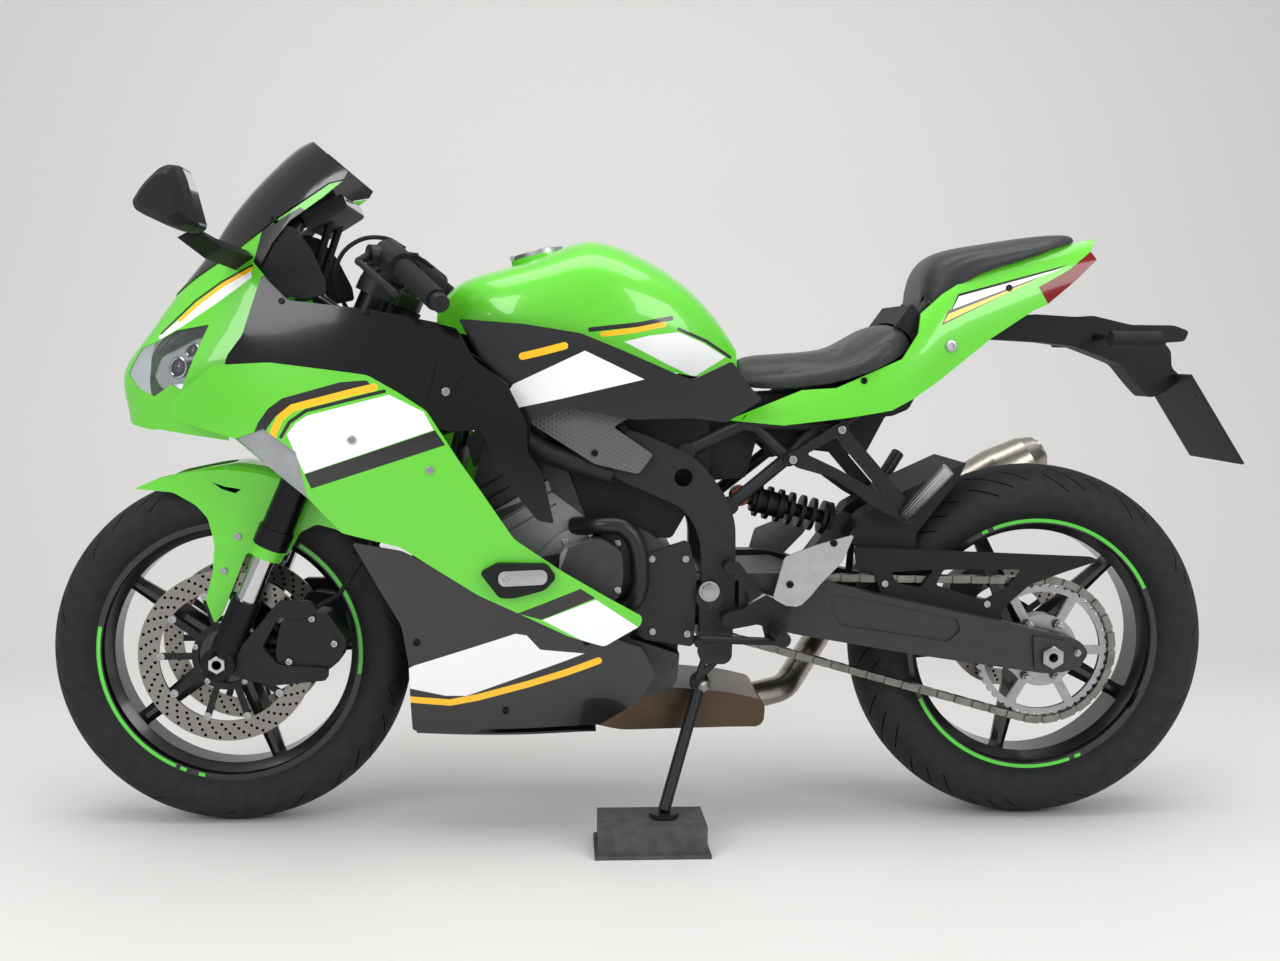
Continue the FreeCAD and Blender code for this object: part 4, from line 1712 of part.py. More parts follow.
def mirrors():
    """Each mirror: a rounded shell on a flat blade that stands on the nose fairing."""
    points = [side(point) for point in MIRROR_HEAD_SHARES]
    middle_x = sum(x for x, z in points) / len(points)
    middle_z = sum(z for x, z in points) / len(points)
    sections = []
    for share, size in MIRROR_SECTIONS_SHARES:
        place = MIRROR_INNER_SPAN * (1 - share) + MIRROR_HALF_SPAN * share
        ring = [Vector(middle_x + (x - middle_x) * size, -place, middle_z + (z - middle_z) * size) for x,
                z in points]
        sections.append(rounded_wire(ring, LEVER_RADIUS * 2 * size))
    head = Part.makeLoft(sections, True, True)
    outlines = (STALK_HEAD_SHARES, STALK_MIDDLE_SHARES, STALK_BASE_SHARES)
    stalk = Part.makeLoft([cross_loop(outline, place) for outline, place in zip(outlines, STALK_PLACES)],
                          True, True)
    return solids(both_sides([joined([head, stalk.cut(nose_loft(-SEAT_GAP))])]))


HANGER_PLATE_SHARES = (
    (0.597, 0.343), (0.613, 0.346), (0.642, 0.307), (0.671, 0.299), (0.686, 0.316), (0.674, 0.283),
    (0.671, 0.249), (0.649, 0.246), (0.642, 0.271), (0.604, 0.264), (0.594, 0.272), (0.599, 0.284),
    (0.625, 0.290), (0.626, 0.306),
)
HEEL_GUARD_SHARES = (
    (0.654, 0.302), (0.667, 0.351), (0.702, 0.365), (0.749, 0.378), (0.736, 0.346), (0.710, 0.319),
    (0.700, 0.306), (0.687, 0.293), (0.674, 0.291),
)
PEG_PLACE = 165.0
PEG_WALL = 10.0
GUARD_PLATE_WALL = 5.0
PEG_LENGTH = 82.0
PEG_RADIUS = 12.0
PEG_SHARES = ((0.658, 0.265), (0.817, 0.396))
PILLION_HANGER_SHARES = (
    (0.672, 0.470), (0.683, 0.474), (0.733, 0.507), (0.746, 0.500), (0.820, 0.416), (0.830, 0.384),
    (0.810, 0.391), (0.781, 0.406), (0.732, 0.441), (0.684, 0.454),
)
PILLION_WINDOW_SHARES = (
    (0.697, 0.470), (0.732, 0.490), (0.793, 0.420), (0.736, 0.452),
)
PILLION_PLACE = 112.0


def peg_hangers():
    """The rider's hangers with heel guards, pegs and pedals, and the pillion's hangers with raised pegs."""
    outer = -PEG_PLACE
    plate = prism(HANGER_PLATE_SHARES, outer, outer + PEG_WALL, LEVER_RADIUS)
    guard = prism(HEEL_GUARD_SHARES, outer - GUARD_PLATE_WALL, outer, LEVER_RADIUS)
    pieces = [plate, guard]
    for spot_share in HANGER_BOLT_SHARES:
        x, z = side(spot_share)
        pieces.append(ring_y(Vector(x, 0, z), (0, LEVER_RADIUS * 1.6), outer,
                             -FRAME_HALF_WIDTH + PIVOT_PLATE_WALL / 2))
    x, z = side(PEG_SHARES[0])
    pieces.append(cylinder_between(Vector(x, outer + PEG_WALL, z), Vector(x, outer - PEG_LENGTH, z),
                                   PEG_RADIUS))
    lever_start = Vector(x, outer - PEG_WALL, z - PEG_RADIUS * 1.6)
    lever_end = Vector(x - PEG_REACH, outer - PEG_WALL, z - PEG_RADIUS * 1.2)
    pieces.append(cylinder_between(Vector(x, outer + PEG_WALL, z - PEG_RADIUS * 1.6), lever_start,
                                   LEVER_RADIUS))
    pieces.append(cylinder_between(lever_start, lever_end, LEVER_RADIUS))
    pieces.append(cylinder_between(lever_end, lever_end - Vector(0, PEG_LENGTH * 0.4, 0), LEVER_RADIUS))
    rider = joined(pieces)
    hanger = prism(PILLION_HANGER_SHARES, -PILLION_PLACE - PEG_WALL, -PILLION_PLACE, LEVER_RADIUS)
    hanger = hanger.cut(prism(PILLION_WINDOW_SHARES, -PILLION_PLACE - PEG_WALL, -PILLION_PLACE,
                              LEVER_RADIUS))
    x, z = side(PEG_SHARES[1])
    spot = Vector(x, -PILLION_PLACE - PEG_WALL, z)
    peg = cylinder_between(spot, spot + Vector(PEG_LENGTH * 0.74, -PEG_LENGTH * 0.45, PEG_LENGTH),
                           PEG_RADIUS)
    feet = []
    for spot_share in PILLION_BOLT_SHARES:
        x, z = side(spot_share)
        feet.append(ring_y(Vector(x, 0, z), (0, LEVER_RADIUS * 1.6), -PILLION_PLACE,
                           -subframe_lateral(x) + SUBFRAME_TUBE_RADIUS * 0.5))
    pillion = joined([hanger, peg] + feet)
    return solids(both_sides([rider, pillion]))


HANGER_BOLT_SHARES = ((0.604, 0.338), (0.602, 0.275))
PILLION_BOLT_SHARES = ((0.678, 0.464), (0.739, 0.500))
PEG_REACH = 130.0


def chain_guard():
    """The plate beside the chain's upper run, with its flange over the chain and a stay to the arm."""
    outer = -SWINGARM_INNER - GUARD_WALL
    plate = prism(CHAIN_GUARD_SHARES, outer, outer + GUARD_WALL, LEVER_RADIUS)
    windows = [prism(outline, outer - GUARD_WALL, outer + 2 * GUARD_WALL,
                     LEVER_RADIUS) for outline in GUARD_WINDOWS_SHARES]
    plate = plate.cut(windows)
    start_x, start_z = side(CHAIN_GUARD_SHARES[0])
    end_x, end_z = side(CHAIN_GUARD_SHARES[1])
    points = [
        Vector(start_x + LEVER_RADIUS, outer, start_z - LEVER_RADIUS),
        Vector(end_x - LEVER_RADIUS, outer, end_z - LEVER_RADIUS),
    ]
    points += [points[1] + Vector(0, 0, GUARD_WALL), points[0] + Vector(0, 0, GUARD_WALL)]
    reach = CHAIN_OUTER_WIDTH + GUARD_WALL * 0.7
    flange = Part.Face(Part.makePolygon(points + [points[0]])).extrude(Vector(0, reach, 0))
    arm_room = prism(SWINGARM_SHARES, -OVERRUN * 4, 0, FRAME_TUBE_RADIUS)
    return joined([plate, flange]).cut([arm_room, hugger_tab()])


# Side stand and the block under its foot

STAND_PIVOT = Vector(WHEELBASE * 0.5739, -112.0, WHEELBASE * 0.190)
STAND_FOOT_PLACE = (WHEELBASE * 0.5261, -208.0)
STAND_AXIS_SHARES = (-0.44, -0.56, 0.70)
FOOT_RADIUS = 24.0
FOOT_WALL = 8.0
STAND_LUG_RADIUS = 17.0
STAND_BOLT_RADIUS = 6.0
STAND_LUG_WALL = 12.0
FOOT_RISE = 2.5


def leaned(shape):
    """A shape leaned to the left about the ground line, and lifted so that the rear tyre just stands."""
    copy = shape.copy()
    copy.rotate(Vector(0, 0, 0), Vector(1, 0, 0), LEAN)
    copy.translate(Vector(0, 0, LEAN_LIFT))
    return copy


CROWN_RADIUS = REAR_TYRE_WIDTH * 0.5
LEAN_LIFT = CROWN_RADIUS * (1 - math.cos(math.radians(LEAN)))
LEAN_SIN = math.sin(math.radians(LEAN))
LEAN_COS = math.cos(math.radians(LEAN))


def foot_height():
    """How high the sole lies in the upright bike's frame, so that it meets the block once leaned."""
    level = BLOCK_HEIGHT + SEAT_GAP - LEAN_LIFT
    return (level - STAND_FOOT_PLACE[1] * LEAN_SIN) / LEAN_COS


def side_stand():
    """The leg, from its eye on the pivot to a dished foot that lies level on the block."""
    foot = Vector(STAND_FOOT_PLACE[0], STAND_FOOT_PLACE[1], foot_height())
    up = Vector(0, LEAN_SIN, LEAN_COS)
    bevel = Part.makeCone(FOOT_RADIUS * 0.55, FOOT_RADIUS, FOOT_RISE, foot, up)
    sole = bevel.fuse(Part.makeCylinder(FOOT_RADIUS, FOOT_WALL - FOOT_RISE, foot + up * FOOT_RISE, up))
    axis = stand_axis()
    down = (foot - STAND_PIVOT).normalize()
    leg = cylinder_between(STAND_PIVOT + down * (STAND_LUG_RADIUS * 0.85),
                           foot + up * (FOOT_WALL * 0.6 + STAND_TUBE_RADIUS * 0.5), STAND_TUBE_RADIUS)
    low = STAND_PIVOT - axis * (STAND_LUG_WALL * 0.5)
    eye = Part.makeCylinder(STAND_LUG_RADIUS, STAND_LUG_WALL, low, axis)
    eye = eye.cut(Part.makeCylinder(STAND_BOLT_RADIUS + SEAT_GAP, STAND_LUG_WALL, low, axis))
    return joined([leg, eye, sole])


def stand_axis():
    return Vector(*STAND_AXIS_SHARES).normalize()


def stand_bracket():
    """The stand's mount on the frame: a lug beside the eye, the bolt and two arms to the pivot plate."""
    axis = stand_axis()
    near = STAND_PIVOT + axis * (STAND_LUG_WALL * 0.5 + SEAT_GAP)
    lug = cylinder_between(near, near + axis * STAND_LUG_WALL * 0.6, STAND_LUG_RADIUS * 0.8)
    low = STAND_PIVOT - axis * (STAND_LUG_WALL * 0.5 + SEAT_GAP)
    bolt = cylinder_between(low, near, STAND_BOLT_RADIUS)
    head = cylinder_between(low - axis * STAND_BOLT_RADIUS * 0.7, low, STAND_BOLT_RADIUS * 1.6)
    lug_middle = near + axis * STAND_LUG_WALL * 0.3
    arms = []
    for x, z in [side(spot) for spot in STAND_ROOT_SHARES]:
        root = Vector(x, -FRAME_HALF_WIDTH + PIVOT_PLATE_WALL * 0.6, z)
        arms.append(cylinder_between(lug_middle + axis * STAND_BOLT_RADIUS * 0.2, root, STAND_BOLT_RADIUS))
    return joined([lug, bolt, head] + arms)


STAND_ROOT_SHARES = (
    (0.580, 0.226), (0.600, 0.226),
)


def stand_block():
    """The block under the foot: a box on a base flange, with a small bolt at its left."""
    front = STAND_FOOT_PLACE[0] - BLOCK_LENGTH * 0.62
    near = STAND_FOOT_PLACE[1] - BLOCK_DEPTH * 0.53
    body = Part.makeBox(BLOCK_LENGTH, BLOCK_DEPTH, BLOCK_HEIGHT, Vector(front, near, 0))
    flange = Part.makeBox(BLOCK_LENGTH + 2 * BLOCK_FLANGE, BLOCK_DEPTH + 2 * BLOCK_FLANGE, BLOCK_FLANGE,
                          Vector(front - BLOCK_FLANGE, near - BLOCK_FLANGE, 0))
    bolt = Part.makeCylinder(BLOCK_FLANGE, BLOCK_FLANGE,
                             Vector(front - BLOCK_FLANGE, near + BLOCK_DEPTH / 2, BLOCK_HEIGHT * 0.4),
                             Vector(1, 0, 0))
    return joined([body, flange, bolt])


# Assembly

# Where one piece seats in another, the first is cut to the second's shape
SEATED_PAIRS = (
    ("engine", "main_frame"),
    ("engine_covers", "engine"),
    ("engine_covers", "main_frame"),
    ("exhaust_headers", "engine"),
    ("lower_cowl", "engine"),
    ("lower_cowl", "exhaust_headers"),
    ("silencer", "exhaust_headers"),
    ("subframe", "main_frame"),
    ("peg_hangers", "main_frame"),
    ("peg_hangers", "subframe"),
    ("rider_seat", "fuel_tank"),
    ("rider_seat", "subframe"),
    ("rider_seat", "tail_cowl"),
    ("pillion_seat", "subframe"),
    ("pillion_seat", "tail_cowl"),
    ("plate_hanger", "subframe"),
    ("rear_shock", "swingarm"),
    ("instrument_panel", "main_frame"),
    ("tail_cowl", "subframe"),
    ("windscreen", "upper_cowl"),
    ("crash_pads", "engine"),
    ("frame_covers", "main_frame"),
    ("radiator", "main_frame"),
    ("tank_side_panels", "main_frame"),
    ("instrument_panel", "upper_cowl"),
    ("instrument_panel", "inner_panels"),
    ("front_fender", "fork"),
    ("brake_hoses", "front_calipers"),
    ("brake_hoses", "front_fender"),
    ("air_box", "engine"),
    ("air_box", "main_frame"),
    ("air_box", "subframe"),
    ("air_box", "fuel_tank"),
    ("under_tray", "subframe"),
    ("under_tray", "main_frame"),
    ("under_tray", "rider_seat"),
    ("under_tray", "pillion_seat"),
    ("under_tray", "tail_cowl"),
    ("hugger", "swingarm"),
)
CRUMB_EDGE = 8.0


def seated(shape, other):
    """The shape less the other, without the crumbs that a grazing cut leaves."""
    kept = [solid for solid in shape.cut(other).Solids if solid.Volume > CRUMB_EDGE ** 3]
    return kept[0] if len(kept) == 1 else Part.makeCompound(kept)


def assemble():
    """Every node's shape in the parked pose, before the frame is set under the middle of the bike."""
    upright = {
        "main_frame": joined([main_frame(), stand_bracket()]),
        "subframe": subframe(),
        "swingarm": swingarm(),
        "rear_shock": rear_shock(),
        "engine": engine(),
        "engine_covers": solids([drive_cover(), seated(hose(), drive_cover())]),
        "air_box": air_box(),
        "under_tray": under_tray(),
        "inner_panels": inner_panels(),
        "radiator": radiator(),
        "exhaust_headers": exhaust_headers(),
        "silencer": silencer(),
        "fuel_tank": fuel_tank(),
        "rider_seat": padded_loft(SEAT_STATIONS_SHARES),
        "pillion_seat": padded_loft(PILLION_STATIONS_SHARES),
        "tail_cowl": tail_cowl(),
        "tail_light": tail_light(),
        "plate_hanger": plate_hanger(),
        "upper_cowl": upper_cowl(),
        "headlamps": headlamps(),
        "windscreen": windscreen(),
        "instrument_panel": instrument_panel(),
        "mirrors": mirrors(),
        "side_cowls": side_cowls(),
        "indicators": indicators(),
        "upper_ducts": upper_ducts(),
        "tank_side_panels": tank_side_panels(),
        "frame_covers": frame_covers(),
        "lower_cowl": lower_cowl(),
        "crash_pads": crash_pads(),
        "peg_hangers": peg_hangers(),
        "hugger": hugger(),
        "chain_guard": chain_guard(),
        "chain": chain(),
        "fork": fork(),
        "triple_clamps": triple_clamps(),
        "handlebars": handlebars(),
        "front_fender": front_fender(),
        "front_calipers": front_calipers(),
        "brake_hoses": brake_hoses(),
        "side_stand": side_stand(),
        "filler_lid": filler_lid(),
    }
    for cut_name, by_name in SEATED_PAIRS:
        upright[cut_name] = seated(upright[cut_name], upright[by_name])
    upright.update(front_wheel_parts())
    upright.update(rear_wheel_parts())
    nodes = {name: leaned(shape) for name, shape in upright.items()}
    nodes["stand_block"] = stand_block()
    return nodes


def leaned_point(point):
    return Vector(point.x, point.y * LEAN_COS - point.z * LEAN_SIN,
                  point.y * LEAN_SIN + point.z * LEAN_COS + LEAN_LIFT)


def leaned_axis(axis):
    return Vector(axis.x, axis.y * LEAN_COS - axis.z * LEAN_SIN, axis.y * LEAN_SIN + axis.z * LEAN_COS)


def main():
    os.makedirs("parts", exist_ok=True)
    nodes = assemble()
    box = FreeCAD.BoundBox()
    for shape in nodes.values():
        box.add(shape.optimalBoundingBox(False, False))
    origin = Vector(box.Center.x, box.Center.y, box.ZMin)
    for name, shape in nodes.items():
        shape.translate(origin * -1)
        shape.exportStep(os.path.join("parts", name + ".step"))
        print("node", name, len(shape.Solids), "solids", round(shape.Volume / 1000), "cm3", shape.isValid())
    place, turn = filler_frame()
    lid_hinge = place + turn.multVec(Vector(-FILLER_RADIUS - LID_WALL * 0.4, 0,
                                            FILLER_LIFT + SEAT_GAP + LID_WALL * 0.6))
    places = {
        "steering": (STEERING_GROUND, STEERING_TURN.multVec(Vector(0, 0, 1))),
        "front_wheel": (AXLE_FRONT, Vector(0, -1, 0)),
        "rear_wheel": (AXLE_REAR, Vector(0, -1, 0)),
        "side_stand": (STAND_PIVOT, stand_axis()),
        "filler_lid": (lid_hinge, Vector(0, -1, 0)),
        "stem_bore": (fork_point(0, 0, LOWER_CLAMP_LEVEL + STEM_BORE_DEPTH * 0.5),
                      STEERING_TURN.multVec(Vector(0, 0, -1))),
    }
    for number, (point, axis) in enumerate(plate_bolts()):
        places["plate_bolt_" + str(number)] = (point, axis)
    for name, (point, axis) in places.items():
        spot = leaned_point(point) - origin
        way = leaned_axis(axis)
        print("place", name, *(round(v / 1000, 6) for v in spot), *(round(v, 6) for v in way))
    print("box", round(box.XLength, 1), round(box.YLength, 1), round(box.ZLength, 1), "origin",
          *(round(v, 3) for v in origin))


main()
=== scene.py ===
# %% [markdown]
# # A sport bike on its side stand
# The machine leans on its side stand, whose foot rests on a small block. The rigid pieces come from
# the frame, where they already have their real shapes. This lesson gives them their finishes and
# adds what a workshop would fit last: treaded tyres, stitched seats, lenses, screws, cables and
# small trim.

# %% Imports and the frame
import json
import math

import bpy
from mathutils import Matrix, Vector


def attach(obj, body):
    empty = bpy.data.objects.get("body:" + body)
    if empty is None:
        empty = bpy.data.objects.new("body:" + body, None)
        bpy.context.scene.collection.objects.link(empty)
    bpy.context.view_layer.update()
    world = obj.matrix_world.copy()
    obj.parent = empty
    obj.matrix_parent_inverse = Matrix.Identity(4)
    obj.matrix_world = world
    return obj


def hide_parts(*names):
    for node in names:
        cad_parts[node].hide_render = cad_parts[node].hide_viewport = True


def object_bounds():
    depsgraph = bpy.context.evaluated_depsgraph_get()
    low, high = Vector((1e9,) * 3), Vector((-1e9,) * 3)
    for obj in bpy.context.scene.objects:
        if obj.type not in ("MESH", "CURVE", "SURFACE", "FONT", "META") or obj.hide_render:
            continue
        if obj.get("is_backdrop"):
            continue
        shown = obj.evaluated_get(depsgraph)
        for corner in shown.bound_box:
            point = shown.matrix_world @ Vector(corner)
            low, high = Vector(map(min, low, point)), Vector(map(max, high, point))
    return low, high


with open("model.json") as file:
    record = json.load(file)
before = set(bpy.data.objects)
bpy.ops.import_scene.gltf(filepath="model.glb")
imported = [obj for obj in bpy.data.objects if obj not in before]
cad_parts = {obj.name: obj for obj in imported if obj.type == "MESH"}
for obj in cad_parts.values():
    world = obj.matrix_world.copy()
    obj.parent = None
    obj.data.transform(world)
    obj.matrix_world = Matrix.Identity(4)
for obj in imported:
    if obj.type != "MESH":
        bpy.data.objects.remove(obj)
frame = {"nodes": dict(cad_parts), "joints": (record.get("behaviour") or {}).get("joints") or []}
cad_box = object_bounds()
nodes = frame["nodes"]

# %% [markdown]
# ## A frame of its own for the bike
# The bike leans a few degrees, so measuring on it in world directions is awkward. One could turn
# every piece by hand at the end, but then a forgotten one stands askew. A matrix that leans an
# upright bike onto its stand solves this: every place below is given in millimetres on the upright
# bike, x back from the front axle, y to the rider's right and z up from the ground. The lean and
# the origin are read from the front wheel's joint, so that they follow the frame.

# %% The upright bike and how it leans
MM = 0.001
AXLE_HEIGHT = 300
joints = {joint["name"]: joint for joint in frame["joints"]}
axle_line = Vector(joints["front_wheel_spin"]["axis"])
lean = math.atan2(-axle_line.z, -axle_line.y)
front_axle = Vector(joints["front_wheel_spin"]["pos_m"])
rear_axle = Vector(joints["rear_wheel_spin"]["pos_m"])
leaning = Matrix.Rotation(lean, 4, "X")
ground_point = front_axle - leaning @ Vector((0, 0, AXLE_HEIGHT * MM))
bike = Matrix.Translation(ground_point) @ leaning
upright_of = bike.inverted()
WHEELBASE = (rear_axle.x - front_axle.x) / MM
print("lean", round(math.degrees(lean), 2), "degrees, wheelbase", round(WHEELBASE), "mm")


def spot(x, y, z):
    """A place on the upright bike in millimetres, as metres on the upright bike."""
    return Vector((x, y, z)) * MM


# %% [markdown]
# ## Handling pieces
# Operators act on whatever is selected, and the loaded nodes arrive selected, so each step first
# clears the selection. A finished piece keeps its place in its mesh: the modelling transform is
# applied, the lean is added, and then the piece is told which body carries it and which finish it
# takes.

# %% Selecting, adding and settling a piece
def take(*pieces):
    """Leave edit mode, then select only these pieces, the first of them active."""
    active = bpy.context.view_layer.objects.active
    if active and active.mode != "OBJECT":
        bpy.ops.object.mode_set(mode="OBJECT")
    bpy.ops.object.select_all(action="DESELECT")
    for piece in pieces:
        piece.select_set(True)
    bpy.context.view_layer.objects.active = pieces[0]


def added(name, primitive, **settings):
    """A new primitive under its own name, alone in the selection."""
    bpy.ops.object.select_all(action="DESELECT")
    primitive(**settings)
    piece = bpy.context.object
    piece.name = name
    return piece


def applied(piece, kind, **settings):
    """Add a modifier with these settings and apply it at once."""
    take(piece)
    modifier = piece.modifiers.new(kind.lower(), kind)
    for name, value in settings.items():
        setattr(modifier, name, value)
    bpy.ops.object.modifier_apply(modifier=modifier.name)
    return piece


def edit_faces(piece, wanted):
    """Enter edit mode with just the faces selected whose centre and normal pass the test."""
    take(piece)
    mesh = piece.data
    for vertex in mesh.vertices:
        vertex.select = False
    for edge in mesh.edges:
        edge.select = False
    for face in mesh.polygons:
        face.select = wanted(face.center, face.normal)
    bpy.ops.object.mode_set(mode="EDIT")
    bpy.ops.mesh.select_mode(type="FACE")


def joined(pieces, name):
    """Several meshes made one piece."""
    take(*pieces)
    if len(pieces) > 1:
        bpy.ops.object.join()
    piece = bpy.context.object
    piece.name = name
    return piece


def copied(piece, move, name="copy"):
    """A copy with its own mesh, moved by a matrix."""
    twin = bpy.data.objects.new(name, piece.data.copy())
    bpy.context.collection.objects.link(twin)
    twin.data.transform(move @ piece.matrix_basis)
    return twin


def settled(piece, body, finish, leans=True, smooth=35):
    """Apply the place, lean the piece with the bike, smooth it, and name its body, finish and slot."""
    take(piece)
    bpy.ops.object.transform_apply(location=True, rotation=True, scale=True)
    if leans:
        piece.data.transform(bike)
    if smooth:
        bpy.ops.object.shade_smooth_by_angle(angle=math.radians(smooth))
    piece.data.materials.clear()
    piece.data.materials.append(finish)
    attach(piece, body)
    return piece


# %% [markdown]
# ## How a finish is written
# Every finish is a node tree around one Principled shader. Constant values go straight on the
# shader's own sockets. One function adds a node with its settings and links, and one turns a
# familiar hex colour into the linear values that a shader works in.

# %% Colours and one function for nodes
# The standard sRGB curve: a straight foot below the knee, and a power curve above it
SRGB_KNEE = 0.04045
SRGB_FOOT = 12.92
SRGB_OFFSET = 0.055
SRGB_POWER = 2.4


def colour(hex_value):
    """A familiar sRGB hex colour as linear values, fully opaque."""
    channels = []
    for start in (0, 2, 4):
        share = int(hex_value[start:start + 2], 16) / 255
        curved = ((share + SRGB_OFFSET) / (1 + SRGB_OFFSET)) ** SRGB_POWER
        channels.append(share / SRGB_FOOT if share <= SRGB_KNEE else curved)
    return (*channels, 1.0)


def node(tree, kind, inputs=(), **settings):
    """Add a node, give it its settings, and fill its inputs with values or links."""
    made = tree.nodes.new(kind)
    for name, value in settings.items():
        setattr(made, name, value)
    for name, value in dict(inputs).items():
        if isinstance(value, bpy.types.NodeSocket):
            tree.links.new(value, made.inputs[name])
        else:
            made.inputs[name].default_value = value
    return made


def finish(name, base, roughness, **shader):
    """A new material: its tree, its shader and a plain base colour."""
    material = bpy.data.materials.new(name)
    material.use_nodes = True
    tree = material.node_tree
    principled = tree.nodes["Principled BSDF"]
    principled.inputs["Base Color"].default_value = colour(base)
    principled.inputs["Roughness"].default_value = roughness
    for socket, value in shader.items():
        principled.inputs[socket.replace("_", " ")].default_value = value
    return material


def bike_place(tree):
    """The point being shaded, in millimetres on the upright bike."""
    coordinates = node(tree, "ShaderNodeTexCoord")
    inputs = {
        "Vector": coordinates.outputs["Object"],
        "Location": ground_point,
        "Rotation": (lean, 0, 0),
        "Scale": (MM, MM, MM),
    }
    return node(tree, "ShaderNodeMapping", inputs, vector_type="TEXTURE").outputs["Vector"]


def painted_over(material, mask, hex_value):
    """Lay a colour over a finish wherever the mask is 1."""
    tree = material.node_tree
    target = tree.nodes["Principled BSDF"].inputs["Base Color"]
    below = target.links[0].from_socket if target.is_linked else tuple(target.default_value)
    # On a colour Mix the two colours are sockets 6 and 7, and the result is output 2
    inputs = {0: mask, 6: below, 7: colour(hex_value)}
    mixed = node(tree, "ShaderNodeMix", inputs, data_type="RGBA", blend_type="MIX")
    tree.links.new(mixed.outputs[2], target)
    return material


# Handling and dust shade a surface in soft patches, many grains wide
PATCH_GRAINS = 18
PATCH_DETAIL = 4
PATCH_FROM, PATCH_TO = 0.35, 0.65
GRAIN_DETAIL = 3


def bumped(material, height, depth_mm):
    """Let a height pattern bend a material's light as a surface this deep would."""
    tree = material.node_tree
    inputs = {"Height": height, "Distance": depth_mm * MM}
    bump = node(tree, "ShaderNodeBump", inputs)
    tree.links.new(bump.outputs[0], tree.nodes["Principled BSDF"].inputs["Normal"])
    return material


def grain(material, size_mm, bump_mm, shift=0.0, shades="000000", stretch=(1, 1, 1)):
    """Give a material a surface grain of a real size: a bump, and a slight shift of its colour."""
    tree = material.node_tree
    place = bike_place(tree)
    stretched = node(tree, "ShaderNodeVectorMath", {0: place, 1: stretch}, operation="MULTIPLY")
    inputs = {"Vector": stretched.outputs[0], "Scale": 1 / size_mm, "Detail": GRAIN_DETAIL}
    noise = node(tree, "ShaderNodeTexNoise", inputs)
    bumped(material, noise.outputs[0], bump_mm)
    if shift:
        inputs = {"Vector": place, "Scale": 1 / (size_mm * PATCH_GRAINS), "Detail": PATCH_DETAIL}
        broad = node(tree, "ShaderNodeTexNoise", inputs)
        inputs = {"Value": broad.outputs[0], "From Min": PATCH_FROM, "From Max": PATCH_TO,
                  "To Max": shift}
        amount = node(tree, "ShaderNodeMapRange", inputs)
        painted_over(material, amount.outputs[0], shades)
    return material


# %% [markdown]
# ## Stripes that belong to the side view
# The stripes run across several panels and line up from the side, as decals laid over the whole
# flank do. They could be separate slivers of mesh, but then each edge would stand proud. Here they
# are masks worked out from the upright bike's x and z, so that the colour follows every curve, and
# both sides match. A mask starts as a depth in millimetres, above zero inside the shape. Depths are
# easy to combine: the smaller of two is inside both shapes, and the larger is inside either.

# %% Masks of regions and stripes in the side view
EDGE_SHARPNESS = 0.5  # millimetres over which a stripe's edge fades


def seen_from_side(tree):
    """The shaded point with its y taken out: its place in the bike's side view."""
    place = bike_place(tree)
    return node(tree, "ShaderNodeVectorMath", {0: place, 1: (1, 0, 1)}, operation="MULTIPLY").outputs[0]


def edged(tree, depth):
    """1 where the depth in millimetres is above zero, with a short fade."""
    inputs = {0: depth, 1: 1 / EDGE_SHARPNESS}
    return node(tree, "ShaderNodeMath", inputs, operation="MULTIPLY", use_clamp=True).outputs[0]


def gathered(tree, so_far, depth, how):
    """Two depths as one, by MINIMUM or MAXIMUM; the first of a row stands alone."""
    if so_far is None:
        return depth
    return node(tree, "ShaderNodeMath", {0: so_far, 1: depth}, operation=how).outputs[0]


def inside(tree, place, corners):
    """Depth inside a convex outline of (x, z) corners, in either order."""
    count = len(corners)
    middle_x = sum(x for x, z in corners) / count
    middle_z = sum(z for x, z in corners) / count
    depth = None
    for index, (x, z) in enumerate(corners):
        next_x, next_z = corners[(index + 1) % count]
        normal = Vector((z - next_z, 0, next_x - x)).normalized()
        if normal.dot(Vector((middle_x - x, 0, middle_z - z))) < 0:
            normal.negate()
        shifted = node(tree, "ShaderNodeVectorMath", {0: place, 1: (x, 0, z)}, operation="SUBTRACT")
        inputs = {0: shifted.outputs[0], 1: normal}
        edge = node(tree, "ShaderNodeVectorMath", inputs, operation="DOT_PRODUCT")
        depth = gathered(tree, depth, edge.outputs["Value"], "MINIMUM")
    return depth


def along(tree, place, points, width):
    """Depth inside a stripe of this width that follows (x, z) points, with round joints."""
    depth = None
    for start, end in zip(points, points[1:]):
        first = Vector((start[0], 0, start[1]))
        run = Vector((end[0], 0, end[1])) - first
        shifted = node(tree, "ShaderNodeVectorMath", {0: place, 1: first}, operation="SUBTRACT")
        inputs = {0: shifted.outputs[0], 1: run / run.length_squared}
        share = node(tree, "ShaderNodeVectorMath", inputs, operation="DOT_PRODUCT")
        held = node(tree, "ShaderNodeClamp", {0: share.outputs["Value"]})
        foot = node(tree, "ShaderNodeVectorMath", {0: run, "Scale": held.outputs[0]}, operation="SCALE")
        inputs = {0: shifted.outputs[0], 1: foot.outputs[0]}
        away = node(tree, "ShaderNodeVectorMath", inputs, operation="DISTANCE")
        inputs = {0: width / 2, 1: away.outputs["Value"]}
        edge = node(tree, "ShaderNodeMath", inputs, operation="SUBTRACT")
        depth = gathered(tree, depth, edge.outputs[0], "MAXIMUM")
    return depth


